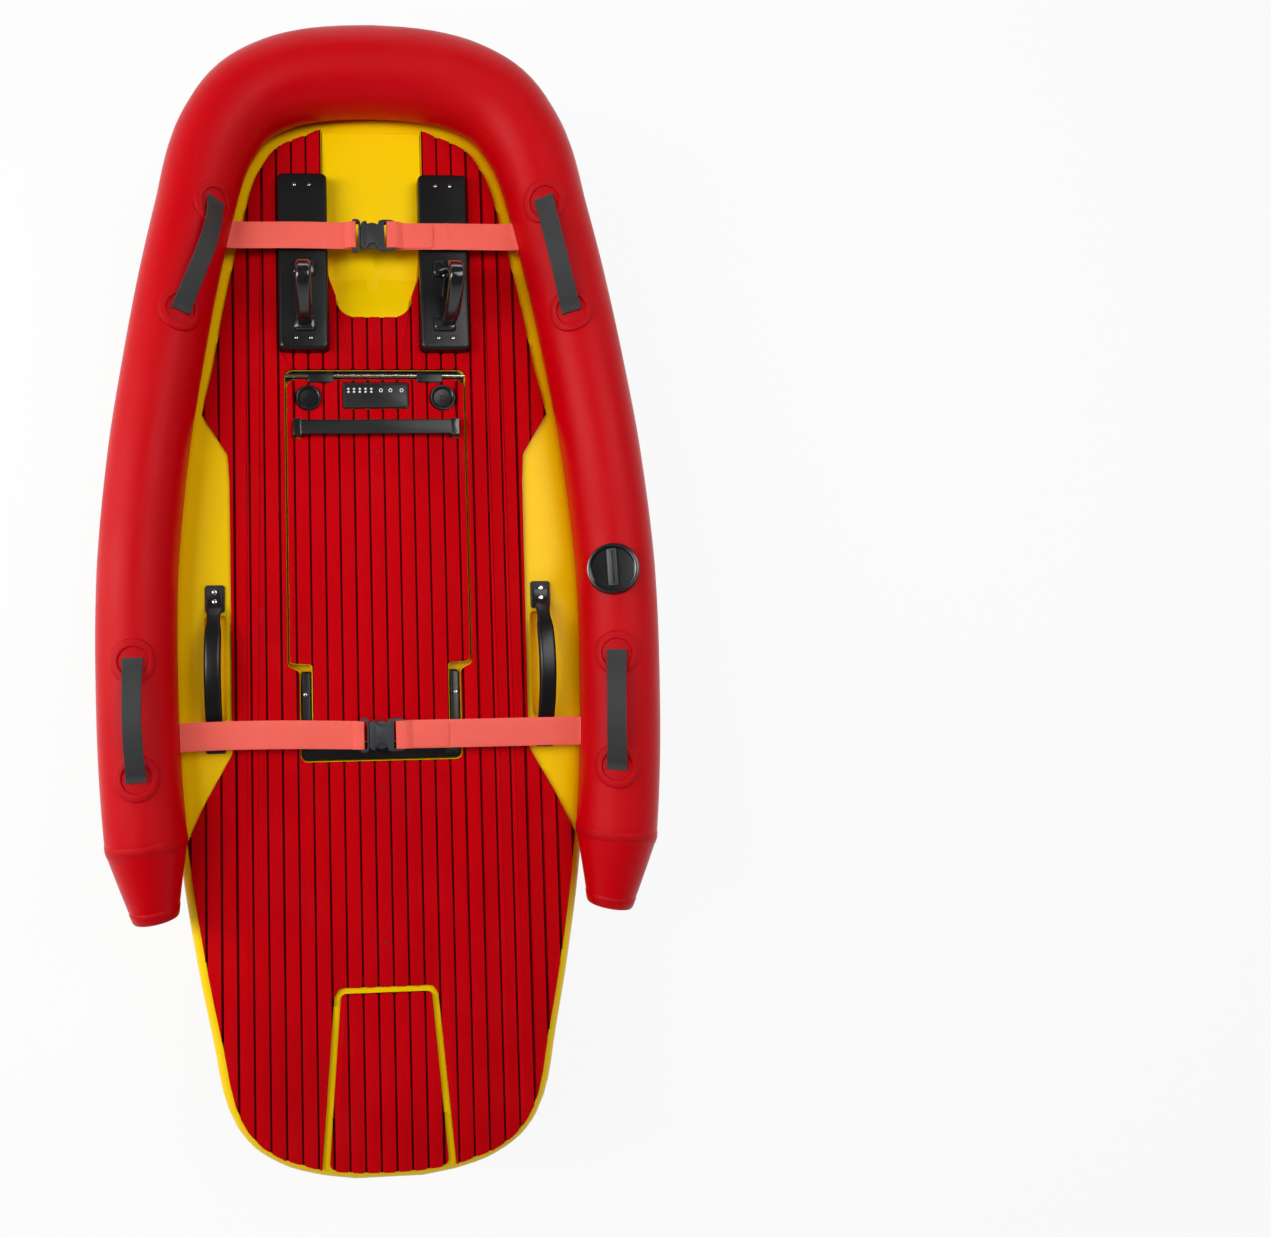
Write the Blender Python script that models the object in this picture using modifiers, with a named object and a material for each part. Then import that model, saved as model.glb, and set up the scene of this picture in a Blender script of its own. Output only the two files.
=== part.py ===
"""Electric rescue board with an inflatable collar, a hatch over its battery bay and a ducted propeller pod.

Metres, +Z up, nose towards +Y, starboard towards +X. The origin lies on the floor under the board's middle.
"""

import math

import bmesh
import bpy
from mathutils import Matrix, Vector

# Clearances
GAP = 0.0003
SEAM = 0.002
SWING_GAP = 0.003

# Hull
HULL_LENGTH = 1.963
HULL_WIDTH = 0.776
STERN_Y = -1.040
BOTTOM_Z = 0.146
DECK_Z = 0.300
RIM_RADIUS = 0.030
DECK_WALL = 0.0045
HULL_WALL = 0.011
FLARE = 0.064
CAVITY_LEAD = 0.014
CAVITY_MIDDLE_Y = 0.550
ROCKER_START = 0.15
NOSE_DEPTH = 0.036
KEEL_DROP = 0.010
CHANNEL_INNER = 0.143
CHANNEL_OUTER = 0.254
CHANNEL_DEPTH = 0.018
CHANNEL_SLOPE = 0.008
SPONSON_END_Y = -0.705

# Outline of the hull seen from above: share of the length from the stern, share of the half width
OUTLINE = (
    (0.0, 0.155),
    (0.0045, 0.307),
    (0.0140, 0.472),
    (0.0340, 0.631),
    (0.0670, 0.735),
    (0.1240, 0.798),
    (0.1900, 0.866),
    (0.2760, 0.936),
    (0.3710, 0.983),
    (0.4760, 1.0),
    (0.5520, 0.995),
    (0.6540, 0.948),
    (0.7305, 0.889),
    (0.8120, 0.814),
    (0.8780, 0.740),
    (0.9290, 0.675),
    (0.9545, 0.613),
    (0.9765, 0.523),
    (0.9903, 0.387),
    (0.9965, 0.258),
    (0.9991, 0.129),
    (1.0, 0.0),
)

# Deck pads
PAD_THICKNESS = 0.006
PAD_FRONT_RIM = 0.040
PAD_REAR_RIM = 0.018
PAD_EDGE = 0.0015
PAD_FRONT_SETBACK = 0.039
PAD_FRONT_STATIONS = (0.018, 0.030, 0.051, 0.078, 0.123, 0.183, 0.273, 0.383, 0.493)
PAD_REAR_STATIONS = (0.520, 0.420, 0.320, 0.220, 0.140, 0.090, 0.055, 0.032)
PAD_NARROW_Y = 0.342
PAD_WAIST_Y = 0.260
PAD_WAIST_END_Y = -0.282
PAD_WIDE_Y = -0.440
PAD_WAIST_X = 0.2705
RECESS_HALF_WIDTH = 0.094
RECESS_REAR_SETBACK = 0.401
RECESS_TAPER_SETBACKS = (0.251, 0.313, 0.363)
RECESS_MIDDLE_SHARE = 0.93
RECESS_REAR_SHARE = 0.74
RECESS_CORNER = 0.036
RECESS_DEPTH = 0.022
KICK_TOP_Y = -0.711
KICK_TOP_HALF = 0.082
KICK_REAR_HALF = 0.105
KICK_REAR_BOW = (0.036, 0.0275, 0.023, 0.0215)
KICK_CORNER = 0.010
KICK_GAP = 0.011

# Hatch
HINGE_Y = 0.410
LID_THICKNESS = 0.020
LID_HALF_WIDTH = 0.166
LID_FRONT_CLEARANCE = 0.011
LID_STEP_Y = -0.124
LID_STEP_SLOPE = 0.003
WELL_CORNER = 0.006
WELL_STEP_SLOPE = 0.012
TAIL_HALF_WIDTH = 0.1255
TAIL_REAR_Y = -0.267
LID_CORNER = 0.018
WELL_REAR_Y = -0.3005
WELL_TAIL_DEPTH = 0.060
LEDGE_DEPTH = 0.024
LEDGE_WALL = 0.004
BAY_HALF_WIDTH = 0.146
BAY_FRONT_Y = 0.386
BAY_REAR_Y = -0.096
BAY_WALL = 0.003
SEAL_WIDTH = 0.010
ROD_RADIUS = 0.003
KNUCKLE_X = 0.1015
KNUCKLE_LENGTH = 0.047
KNUCKLE_RADIUS = 0.0075
DISPLAY_SIZE = (0.121, 0.0475, 0.008)
DISPLAY_Y = 0.371
DOCK_X = 0.1245
DOCK_Y = 0.3665
DOCK_RADIUS = 0.0235
DOCK_HEIGHT = 0.010
LID_HANDLE_Y = 0.308
LID_HANDLE_SIZE = (0.306, 0.032, 0.004)
LID_HANDLE_RISE = 0.024
LID_HANDLE_FOOT = 0.016

# Latch bail
BAIL_PIVOT_Y = -0.180
BAIL_THICKNESS = 0.012
BAIL_TOP_DROP = 0.002
BAIL_ARM = 0.0165
BAIL_BAR = 0.028
BAIL_PIN_RADIUS = 0.003
BAIL_CORNER = 0.006

# Battery, controller and cable
BATTERY_SIZE = (0.262, 0.330, 0.084)
BATTERY_CLEARANCE = 0.006
CONTROLLER_SIZE = (0.180, 0.120, 0.060)
CONTROLLER_CLEARANCE = 0.005
CABLE_RADIUS = 0.006
CABLE_LIFT = 0.016
CABLE_BEND = 0.018

# Foam
FOAM_CLEARANCE = 0.012
FOAM_FRONT_SETBACK = 0.183
FOAM_REAR_SETBACK = 0.150
FOAM_WELL_GAP = 0.020

# Grips
GRIP_BASE_INNER_X = 0.085
GRIP_BASE_OUTER_X = 0.177
GRIP_BASE_SETBACK = 0.1365
GRIP_BASE_LENGTH = 0.3345
GRIP_BASE_HEIGHT = 0.028
GRIP_BASE_CORNER = 0.008
GRIP_X = 0.129
GRIP_SETBACK = 0.311
GRIP_LENGTH = 0.123
GRIP_HEIGHT = 0.092
GRIP_THICKNESS = 0.019
GRIP_WIDTH = 0.028
TRIGGER_WIDTH = 0.014
TRIGGER_LENGTH = 0.044
TRIGGER_THICKNESS = 0.007
TRIGGER_SETBACK = 0.050
TRIGGER_DROP = 0.013

# Carry handles on the hull rim
CARRY_X = 0.2985
PLATE_SIZE = (0.036, 0.050, 0.004)
PLATE_FRONT_Y = -0.0035
PLATE_REAR_Y = -0.257
CARRY_WIDTH = 0.030
CARRY_THICKNESS = 0.016
CARRY_FOOT_THICKNESS = 0.005
CARRY_RISE = 0.036
POCKET_DEPTH = 0.028
POCKET_MARGIN = 0.005

# Collar
COLLAR_RADIUS = 0.070
COLLAR_NOSE_RADIUS = 0.075
COLLAR_OFFSET = 0.042
COLLAR_SEAM_Y = -0.428
COLLAR_END_Y = -0.550
COLLAR_END_RADIUS = 0.039
COLLAR_SWELL = 0.223
COLLAR_STEP = 0.070
NOSE_SPACING_LENGTH = 1.963
NOSE_SPACING = (0.123, 0.098, 0.075, 0.057, 0.043, 0.031, 0.021, 0.013, 0.0065, 0.0018)
FITTING_TILT = math.radians(21)
PATCH_RADIUS = 0.039
PATCH_THICKNESS = 0.0025
HANDLE_WIDTH = 0.035
HANDLE_THICKNESS = 0.003
HANDLE_BOW = 0.030
HANDLE_FOOT_LIFT = 0.0038
FRONT_HANDLE_SETBACKS = (0.243, 0.438)
REAR_HANDLE_Y = (-0.114, -0.308)
VALVE_Y = 0.031
VALVE_RADIUS = 0.046
VALVE_FLANGE = 0.006
VALVE_CAP_RADIUS = 0.043
VALVE_CAP_HEIGHT = 0.012
VALVE_CAP_RIM = 0.006
VALVE_BAR_SIZE = (0.017, 0.074, 0.013)

# Straps
STRAP_WIDTH = 0.050
STRAP_THICKNESS = 0.002
STRAP_HEIGHT = 0.037
STRAP_FLANK_ANGLES = (-25, -19, -13, -7, 0)
STRAP_BEND = 0.014
FRONT_STRAP_SETBACK = 0.263
REAR_STRAP_Y = -0.252
BUCKLE_LENGTH = 0.040
BUCKLE_WIDTH = 0.062
BUCKLE_BODY_WIDTH = 0.051
BUCKLE_SOCKET_WIDTH = 0.0385
BUCKLE_TONGUE_WIDTH = 0.034
BUCKLE_THICKNESS = 0.012

# Pod
POD_Z = 0.106
PANEL_FRONT_Y = 0.107
PANEL_REAR_Y = -0.340
PANEL_HALF_WIDTH = 0.1025
PANEL_THICKNESS = 0.003
FAIRING_TIP_Y = -0.049
FAIRING_END_Y = -0.3866
MOTOR_RADIUS = 0.0445
MOTOR_WALL = 0.004
MOTOR_BAND = 0.0008
MOTOR_BAND_WIDTH = 0.010
WINDING_THICKNESS = 0.012
WINDING_ENDS = (0.030, 0.040)
ROTOR_GAP = 0.001
MOTOR_END_Y = -0.5855
TAIL_CONE_END_Y = -0.7334
TAIL_CONE_RADIUS = 0.0195
TAIL_CONE_STRAIGHT = 0.045
SHAFT_RADIUS = 0.005
DUCT_FRONT_Y = -0.7266
DUCT_END_Y = -0.9626
DUCT_FRONT_RADIUS = 0.0665
DUCT_RADIUS = 0.075
DUCT_END_RADIUS = 0.052
DUCT_WALL = 0.005
DUCT_SWELL_SHARE = 0.42
DUCT_SLOTS = 8
DUCT_SLOT_SIZE = (0.0024, 0.040)
DUCT_SLOT_Y = -0.900
PROPELLER_Y = -0.800
PROPELLER_TIP_GAP = 0.005
PROPELLER_HUB = 0.014
HUB_LENGTH = 0.044
BLADES = 3
BLADE_CHORD = (0.017, 0.014)
BLADE_TWIST = (62, 28)
BLADE_THICKNESS = (0.0035, 0.0017)
STATOR_Y = -0.880
VANES = 5
VANE_THICKNESS = 0.003
VANE_CHORD = 0.028
PYLON_HALF_WIDTH = 0.020
PYLON_FRONT_Y = -0.790
PYLON_REAR_Y = -0.850
TUNNEL_START_Y = -0.350
TUNNEL_HALF_WIDTH = 0.0665
TUNNEL_ROOF_HALF = 0.047
DUCT_TUNNEL_Y = -0.716
DUCT_CLEARANCE = 0.004
MOUNT_FRONT_Y = -0.527
MOUNT_HALF_WIDTH = 0.044
MOUNT_THICKNESS = 0.006
MOUNT_BLADE_HALF = 0.009

# Fins
FIN_X = 0.2075
FIN_BOX_FRONT_Y = -0.446
FIN_BOX_LENGTH = 0.149
FIN_BOX_WIDTH = 0.030
FIN_BOX_DEPTH = 0.008
FIN_BOX_PROUD = 0.002
FIN_THICKNESS = 0.008
FIN_FOOT_MARGIN = 0.020
FIN_TIP_SWEEP = 0.012
FIN_TIP_CHORD = 0.008
FIN_TIP_HEIGHT = 0.012

# Values worked out from the sizes above
HALF_WIDTH = HULL_WIDTH / 2
NOSE_Y = STERN_Y + HULL_LENGTH
PAD_FRONT_Y = NOSE_Y - PAD_FRONT_SETBACK
RECESS_FRONT_Y = PAD_FRONT_Y - 0.004
RECESS_REAR_Y = NOSE_Y - RECESS_REAR_SETBACK
GRIP_BASE_FRONT_Y = NOSE_Y - GRIP_BASE_SETBACK
GRIP_BASE_REAR_Y = GRIP_BASE_FRONT_Y - GRIP_BASE_LENGTH
GRIP_FRONT_Y = NOSE_Y - GRIP_SETBACK
GRIP_REAR_Y = GRIP_FRONT_Y - GRIP_LENGTH
FRONT_HANDLE_Y = tuple(NOSE_Y - setback for setback in FRONT_HANDLE_SETBACKS)
FRONT_STRAP_Y = NOSE_Y - FRONT_STRAP_SETBACK
RIM_Z = DECK_Z - RIM_RADIUS
CHANNEL_Z = BOTTOM_Z + CHANNEL_DEPTH
FLOOR_Z = CHANNEL_Z + HULL_WALL
DUCT_TUNNEL_HALF = DUCT_RADIUS + DUCT_CLEARANCE
MOTOR_TUNNEL_Z = POD_Z + MOTOR_RADIUS + DUCT_CLEARANCE + MOUNT_THICKNESS
DUCT_TUNNEL_Z = POD_Z + DUCT_RADIUS + DUCT_CLEARANCE
TUNNEL_BLOCK_Z = DUCT_TUNNEL_Z + HULL_WALL / 2
WELL_HALF_WIDTH = LID_HALF_WIDTH + SEAM
WELL_TAIL_HALF = TAIL_HALF_WIDTH + BAIL_ARM + 2 * SEAM
WELL_FRONT_Y = HINGE_Y + KNUCKLE_RADIUS + SEAM
LID_FRONT_Y = HINGE_Y - LID_FRONT_CLEARANCE
ROD_HALF_LENGTH = WELL_HALF_WIDTH + 0.0025
PAD_Z = DECK_Z + GAP
PAD_TOP_Z = PAD_Z + PAD_THICKNESS
LID_TOP_Z = DECK_Z
BAIL_Z = DECK_Z - BAIL_TOP_DROP - BAIL_THICKNESS / 2
CABLE_EXIT_Y = (MOUNT_FRONT_Y + MOTOR_END_Y) / 2
CABLE_RUN_Z = TUNNEL_BLOCK_Z + CABLE_RADIUS + CABLE_LIFT
FOAM_TOP_Z = DECK_Z - RECESS_DEPTH - DECK_WALL - GAP
BOX_CORNERS = ((1, 1), (1, -1), (-1, -1), (-1, 1))
SIDE_VIEW = Matrix.Rotation(math.radians(90), 4, "Y") @ Matrix.Rotation(math.radians(90), 4, "Z")


def half_width(y):
    """Half width of the hull's rim at a station, on a smooth curve through OUTLINE."""
    t = min(max((y - STERN_Y) / HULL_LENGTH, 0.0), 1.0)
    last = len(OUTLINE) - 1
    i = next((k for k in range(last) if t <= OUTLINE[k + 1][0]), last - 1)
    (t1, w1), (t2, w2) = OUTLINE[i], OUTLINE[i + 1]
    t0, w0 = OUTLINE[max(i - 1, 0)]
    t3, w3 = OUTLINE[min(i + 2, last)]
    slope1 = (w2 - w0) / (t2 - t0)
    slope2 = (w3 - w1) / (t3 - t1)
    steepest = 2.5 * abs(w2 - w1) / (t2 - t1)
    slope1 = min(max(slope1, -steepest), steepest)
    slope2 = min(max(slope2, -steepest), steepest)
    span = t2 - t1
    u = (t - t1) / span
    share = (
        (2 * u**3 - 3 * u**2 + 1) * w1
        + (u**3 - 2 * u**2 + u) * slope1 * span
        + (3 * u**2 - 2 * u**3) * w2
        + (u**3 - u**2) * slope2 * span
    )
    return share * HALF_WIDTH


def keel_z(y):
    """Height of the hull's flat bottom at a station: level aft, rising to the nose."""
    if y <= ROCKER_START:
        return BOTTOM_Z
    t = (y - ROCKER_START) / (NOSE_Y - ROCKER_START)
    return BOTTOM_Z + (RIM_Z - NOSE_DEPTH - BOTTOM_Z) * t**2


def rim_point(y, inset):
    """A point on the line that runs a given distance inside the hull's rim, starboard side."""
    step = 0.002
    run = half_width(min(y + step, NOSE_Y)) - half_width(max(y - step, STERN_Y))
    rise = min(y + step, NOSE_Y) - max(y - step, STERN_Y)
    length = math.hypot(run, rise)
    return half_width(y) - inset * rise / length, y + inset * run / length


def clear_scene():
    for thing in list(bpy.data.objects):
        bpy.data.objects.remove(thing, do_unlink=True)


def bore_radius(radius, sides):
    """Radius of a many-sided bore whose flats keep the fit's gap from a round piece."""
    return (radius + GAP) / math.cos(math.pi / sides)


def new_collection(name):
    collection = bpy.data.collections.new(name)
    bpy.context.scene.collection.children.link(collection)
    return collection


clear_scene()
PARTS = new_collection("rescue_board")
CUTTERS = new_collection("cutters")


def new_material(name, color, roughness, metallic=0.0):
    material = bpy.data.materials.new(name)
    material.use_nodes = True
    shader = material.node_tree.nodes["Principled BSDF"]
    shader.inputs["Base Color"].default_value = (*color, 1.0)
    shader.inputs["Roughness"].default_value = roughness
    shader.inputs["Metallic"].default_value = metallic
    return material


RED_COLLAR = new_material("collar_red", (0.62, 0.004, 0.012), 0.42)
RED_PAD = new_material("pad_red", (0.45, 0.002, 0.006), 0.75)
YELLOW = new_material("gelcoat_yellow", (0.95, 0.56, 0.002), 0.18)
BLACK = new_material("black_plastic", (0.012, 0.012, 0.013), 0.38)
GLOSS_BLACK = new_material("gloss_black", (0.006, 0.006, 0.007), 0.12)
WEB_CORAL = new_material("strap_coral", (0.93, 0.11, 0.08), 0.70)
WEB_GREY = new_material("webbing_grey", (0.045, 0.05, 0.05), 0.55)
STEEL = new_material("steel", (0.72, 0.73, 0.74), 0.22, 1.0)
FIN_GREY = new_material("fin_grey", (0.32, 0.33, 0.34), 0.45)
FOAM = new_material("foam_white", (0.85, 0.84, 0.80), 0.90)
RUBBER = new_material("seal_rubber", (0.02, 0.02, 0.02), 0.80)
COPPER = new_material("winding_copper", (0.70, 0.30, 0.12), 0.40, 1.0)
BRONZE = new_material("propeller_alloy", (0.55, 0.56, 0.58), 0.30, 1.0)


def add_object(name, mesh, material=None):
    """Puts a mesh into the board's collection, or among the cutters when it has no material."""
    thing = bpy.data.objects.new(name, mesh)
    if material is None:
        CUTTERS.objects.link(thing)
        thing.hide_render = True
        thing.display_type = "WIRE"
    else:
        PARTS.objects.link(thing)
        mesh.materials.append(material)
    return thing


def face_outwards(bm):
    """Turns every face of a closed surface to point out of it."""
    bmesh.ops.recalc_face_normals(bm, faces=bm.faces)
    if bm.calc_volume(signed=True) < 0:
        bmesh.ops.reverse_faces(bm, faces=bm.faces)


def finish_mesh(name, bm):
    face_outwards(bm)
    mesh = bpy.data.meshes.new(name)
    bm.to_mesh(mesh)
    bm.free()
    return mesh


def soften(thing, degrees=40):
    """Smooth shading on a round piece, with its edges kept sharp."""
    thing.data.shade_smooth()
    thing.data.set_sharp_from_angle(angle=math.radians(degrees))
    return thing


def box(name, low, high, material=None):
    """A box between two corners."""
    low, high = Vector(low), Vector(high)
    bm = bmesh.new()
    bmesh.ops.create_cube(bm, size=1.0)
    bmesh.ops.scale(bm, vec=high - low, verts=bm.verts)
    bmesh.ops.translate(bm, vec=(low + high) / 2, verts=bm.verts)
    return add_object(name, finish_mesh(name, bm), material)


def cylinder(name, start, end, radius, material=None, sides=20, end_radius=None):
    """A cylinder or cone between the centres of its two ends."""
    start, end = Vector(start), Vector(end)
    bm = bmesh.new()
    bmesh.ops.create_cone(
        bm,
        cap_ends=True,
        segments=sides,
        radius1=radius,
        radius2=radius if end_radius is None else end_radius,
        depth=(end - start).length,
    )
    turn = (end - start).to_track_quat("Z", "Y").to_matrix()
    bmesh.ops.rotate(bm, cent=(0, 0, 0), matrix=turn, verts=bm.verts)
    bmesh.ops.translate(bm, vec=(start + end) / 2, verts=bm.verts)
    thing = add_object(name, finish_mesh(name, bm), material)
    return soften(thing) if material else thing


def loft(name, rings, material=None):
    """A closed skin over rings of equal count, with a flat cap on each end."""
    bm = bmesh.new()
    rows = [[bm.verts.new(point) for point in ring] for ring in rings]
    for row, following in zip(rows, rows[1:]):
        for i in range(len(row)):
            j = (i + 1) % len(row)
            bm.faces.new((row[i], row[j], following[j], following[i]))
    bm.faces.new(rows[0])
    bm.faces.new(reversed(rows[-1]))
    return add_object(name, finish_mesh(name, bm), material)


def flat_outline(name, points, low, high, material=None, turn=None):
    """A flat outline in X and Y, given thickness from low to high, then turned if asked."""
    curve = bpy.data.curves.new(name, "CURVE")
    curve.dimensions = "2D"
    curve.fill_mode = "BOTH"
    curve.extrude = (high - low) / 2
    spline = curve.splines.new("POLY")
    spline.points.add(len(points) - 1)
    for place, (x, y) in zip(spline.points, points):
        place.co = (x, y, 0.0, 1.0)
    spline.use_cyclic_u = True
    guide = bpy.data.objects.new(name, curve)
    bpy.context.scene.collection.objects.link(guide)
    mesh = mesh_of_curve(name, guide)
    mesh.transform(Matrix.Translation((0, 0, (low + high) / 2)))
    if turn is not None:
        mesh.transform(turn)
    return add_object(name, mesh, material)


def mesh_of_curve(name, guide):
    """The evaluated mesh of a curve object with its caps welded; the curve is removed."""
    depsgraph = bpy.context.evaluated_depsgraph_get()
    mesh = bpy.data.meshes.new_from_object(guide.evaluated_get(depsgraph))
    mesh.transform(guide.matrix_world)
    bpy.data.objects.remove(guide, do_unlink=True)
    bm = bmesh.new()
    bm.from_mesh(mesh)
    bmesh.ops.remove_doubles(bm, verts=bm.verts, dist=1e-5)
    face_outwards(bm)
    bm.to_mesh(mesh)
    bm.free()
    mesh.name = name
    mesh.materials.clear()
    return mesh


def tube(name, points, radius, material=None, resolution=2, radii=None):
    """A round tube with filled caps along a line of points; radii are shares of the radius."""
    curve = bpy.data.curves.new(name, "CURVE")
    curve.dimensions = "3D"
    curve.bevel_depth = radius
    curve.bevel_resolution = resolution
    curve.use_fill_caps = True
    curve.twist_mode = "Z_UP"
    spline = curve.splines.new("POLY")
    spline.points.add(len(points) - 1)
    for i, (place, point) in enumerate(zip(spline.points, points)):
        place.co = (*point, 1.0)
        place.radius = 1.0 if radii is None else radii[i]
    guide = bpy.data.objects.new(name, curve)
    bpy.context.scene.collection.objects.link(guide)
    thing = add_object(name, mesh_of_curve(name, guide), material)
    return soften(thing) if material else thing


def turned(name, profile, centre, material=None, steps=24, closed=True):
    """A profile of (radius, distance along +Y) points turned about the Y line through centre."""
    mesh = bpy.data.meshes.new(name)
    ends = len(profile)
    edges = [(i, i + 1) for i in range(ends - 1)]
    if closed:
        edges.append((ends - 1, 0))
    mesh.from_pydata([(radius, 0.0, along) for radius, along in profile], edges, [])
    thing = add_object(name, mesh, material)
    screw = thing.modifiers.new("turn", "SCREW")
    screw.axis = "Z"
    screw.steps = steps
    screw.render_steps = steps
    screw.use_merge_vertices = True
    screw.merge_threshold = 1e-5
    screw.use_smooth_shade = True
    thing.rotation_euler = (-math.pi / 2, 0.0, 0.0)
    thing.location = centre
    return thing


def boolean(thing, cutter, operation):
    modifier = thing.modifiers.new(cutter.name, "BOOLEAN")
    modifier.operation = operation
    modifier.solver = "EXACT"
    modifier.object = cutter
    return thing


def cut(thing, *cutters):
    for cutter in cutters:
        boolean(thing, cutter, "DIFFERENCE")
    return thing


def join(thing, *others):
    for other in others:
        boolean(thing, other, "UNION")
    return thing


def bevel(thing, width, segments=2, degrees=40):
    modifier = thing.modifiers.new("rounded edges", "BEVEL")
    modifier.width = width
    modifier.segments = segments
    modifier.limit_method = "ANGLE"
    modifier.angle_limit = math.radians(degrees)
    return thing


def empty_at(name, place, parent=None):
    pivot = bpy.data.objects.new(name, None)
    PARTS.objects.link(pivot)
    pivot.empty_display_size = 0.05
    pivot.parent = parent
    pivot.location = Vector(place) - (parent.matrix_world.translation if parent else Vector())
    bpy.context.view_layer.update()
    return pivot


def mount_on(pivot, *things):
    """Moves each object's origin to a pivot without moving its shape, and parents it there."""
    place = pivot.matrix_world.translation
    for thing in things:
        if thing.rotation_euler.x == 0.0:
            thing.data.transform(Matrix.Translation(-place))
            thing.location = (0.0, 0.0, 0.0)
        else:
            thing.location = thing.location - place
        thing.parent = pivot


def arc(cx, cy, radius, start, end, count):
    """Points on an arc, in degrees."""
    return [
        (
            cx + radius * math.cos(math.radians(start + (end - start) * i / count)),
            cy + radius * math.sin(math.radians(start + (end - start) * i / count)),
        )
        for i in range(count + 1)
    ]


def mirrored(points):
    """A closed outline from the points of its starboard half, front to rear."""
    return list(points) + [(-x, y) for x, y in reversed(points) if abs(x) > 1e-6]


def rounded_rectangle(half_x, low_y, high_y, radius, count=3):
    return (
        arc(half_x - radius, high_y - radius, radius, 90, 0, count)
        + arc(half_x - radius, low_y + radius, radius, 0, -90, count)
        + arc(-half_x + radius, low_y + radius, radius, -90, -180, count)
        + arc(-half_x + radius, high_y - radius, radius, 180, 90, count)
    )


# Hull shell


def hull_stations():
    """Stations along the hull, close together where its section changes."""
    even = [STERN_Y + HULL_LENGTH * share for share, _ in OUTLINE[:-1]]
    steps = [
        SPONSON_END_Y - 0.001,
        SPONSON_END_Y + 0.001,
        DUCT_TUNNEL_Y - 0.001,
        DUCT_TUNNEL_Y + 0.001,
        TUNNEL_START_Y - 0.030,
        TUNNEL_START_Y,
        ROCKER_START,
        NOSE_Y - 0.623,
        NOSE_Y - 0.473,
        NOSE_Y - 0.303,
    ]
    return sorted(even + steps)


def hull_half_section(y):
    """The starboard half of the hull's outer section at a station, from the keel to the rim."""
    width = half_width(y)
    flare = min(FLARE, width * 0.35)
    chine = width - flare
    keel = keel_z(y)
    rocker = (y - ROCKER_START) / (NOSE_Y - ROCKER_START)
    drop = KEEL_DROP * math.sin(math.pi * rocker) if rocker > 0 else 0.0
    channel = max(keel, CHANNEL_Z)
    sponson = keel if y > SPONSON_END_Y else channel
    tunnel, roof, lip = keel - drop, TUNNEL_ROOF_HALF, TUNNEL_HALF_WIDTH
    if y < DUCT_TUNNEL_Y:
        tunnel, roof, lip = DUCT_TUNNEL_Z, DUCT_TUNNEL_HALF - 0.012, DUCT_TUNNEL_HALF
    elif y < TUNNEL_START_Y - 0.001:
        tunnel = MOTOR_TUNNEL_Z
    lines = [
        (roof, tunnel if y < TUNNEL_START_Y - 0.001 else keel - drop * 0.7),
        (lip, keel - drop * 0.55),
        (CHANNEL_INNER, keel),
        (CHANNEL_INNER + CHANNEL_SLOPE, channel),
        (CHANNEL_OUTER - CHANNEL_SLOPE, channel),
        (CHANNEL_OUTER, sponson),
        (CHANNEL_OUTER + 0.040, sponson),
    ]
    room = chine * 0.97
    spare = room / (len(lines) + 1)
    section = [(0.0, tunnel)]
    for i, (x, z) in enumerate(lines):
        limit = room - 0.0035 * (len(lines) - 1 - i)
        section.append((min(x, max(limit, spare * (i + 1))), z))
    edge = max(z for _, z in section[-3:])
    section.append((chine, edge + 0.006))
    section.append((width - flare * 0.18, RIM_Z - 0.030))
    section.append((width, RIM_Z))
    return section


def hull_ring(y, half):
    """A closed ring from a half section: port rim, keel, starboard rim."""
    port = [(-x, y, z) for x, z in reversed(half) if x > 0]
    return port + [(x, y, z) for x, z in half]


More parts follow.
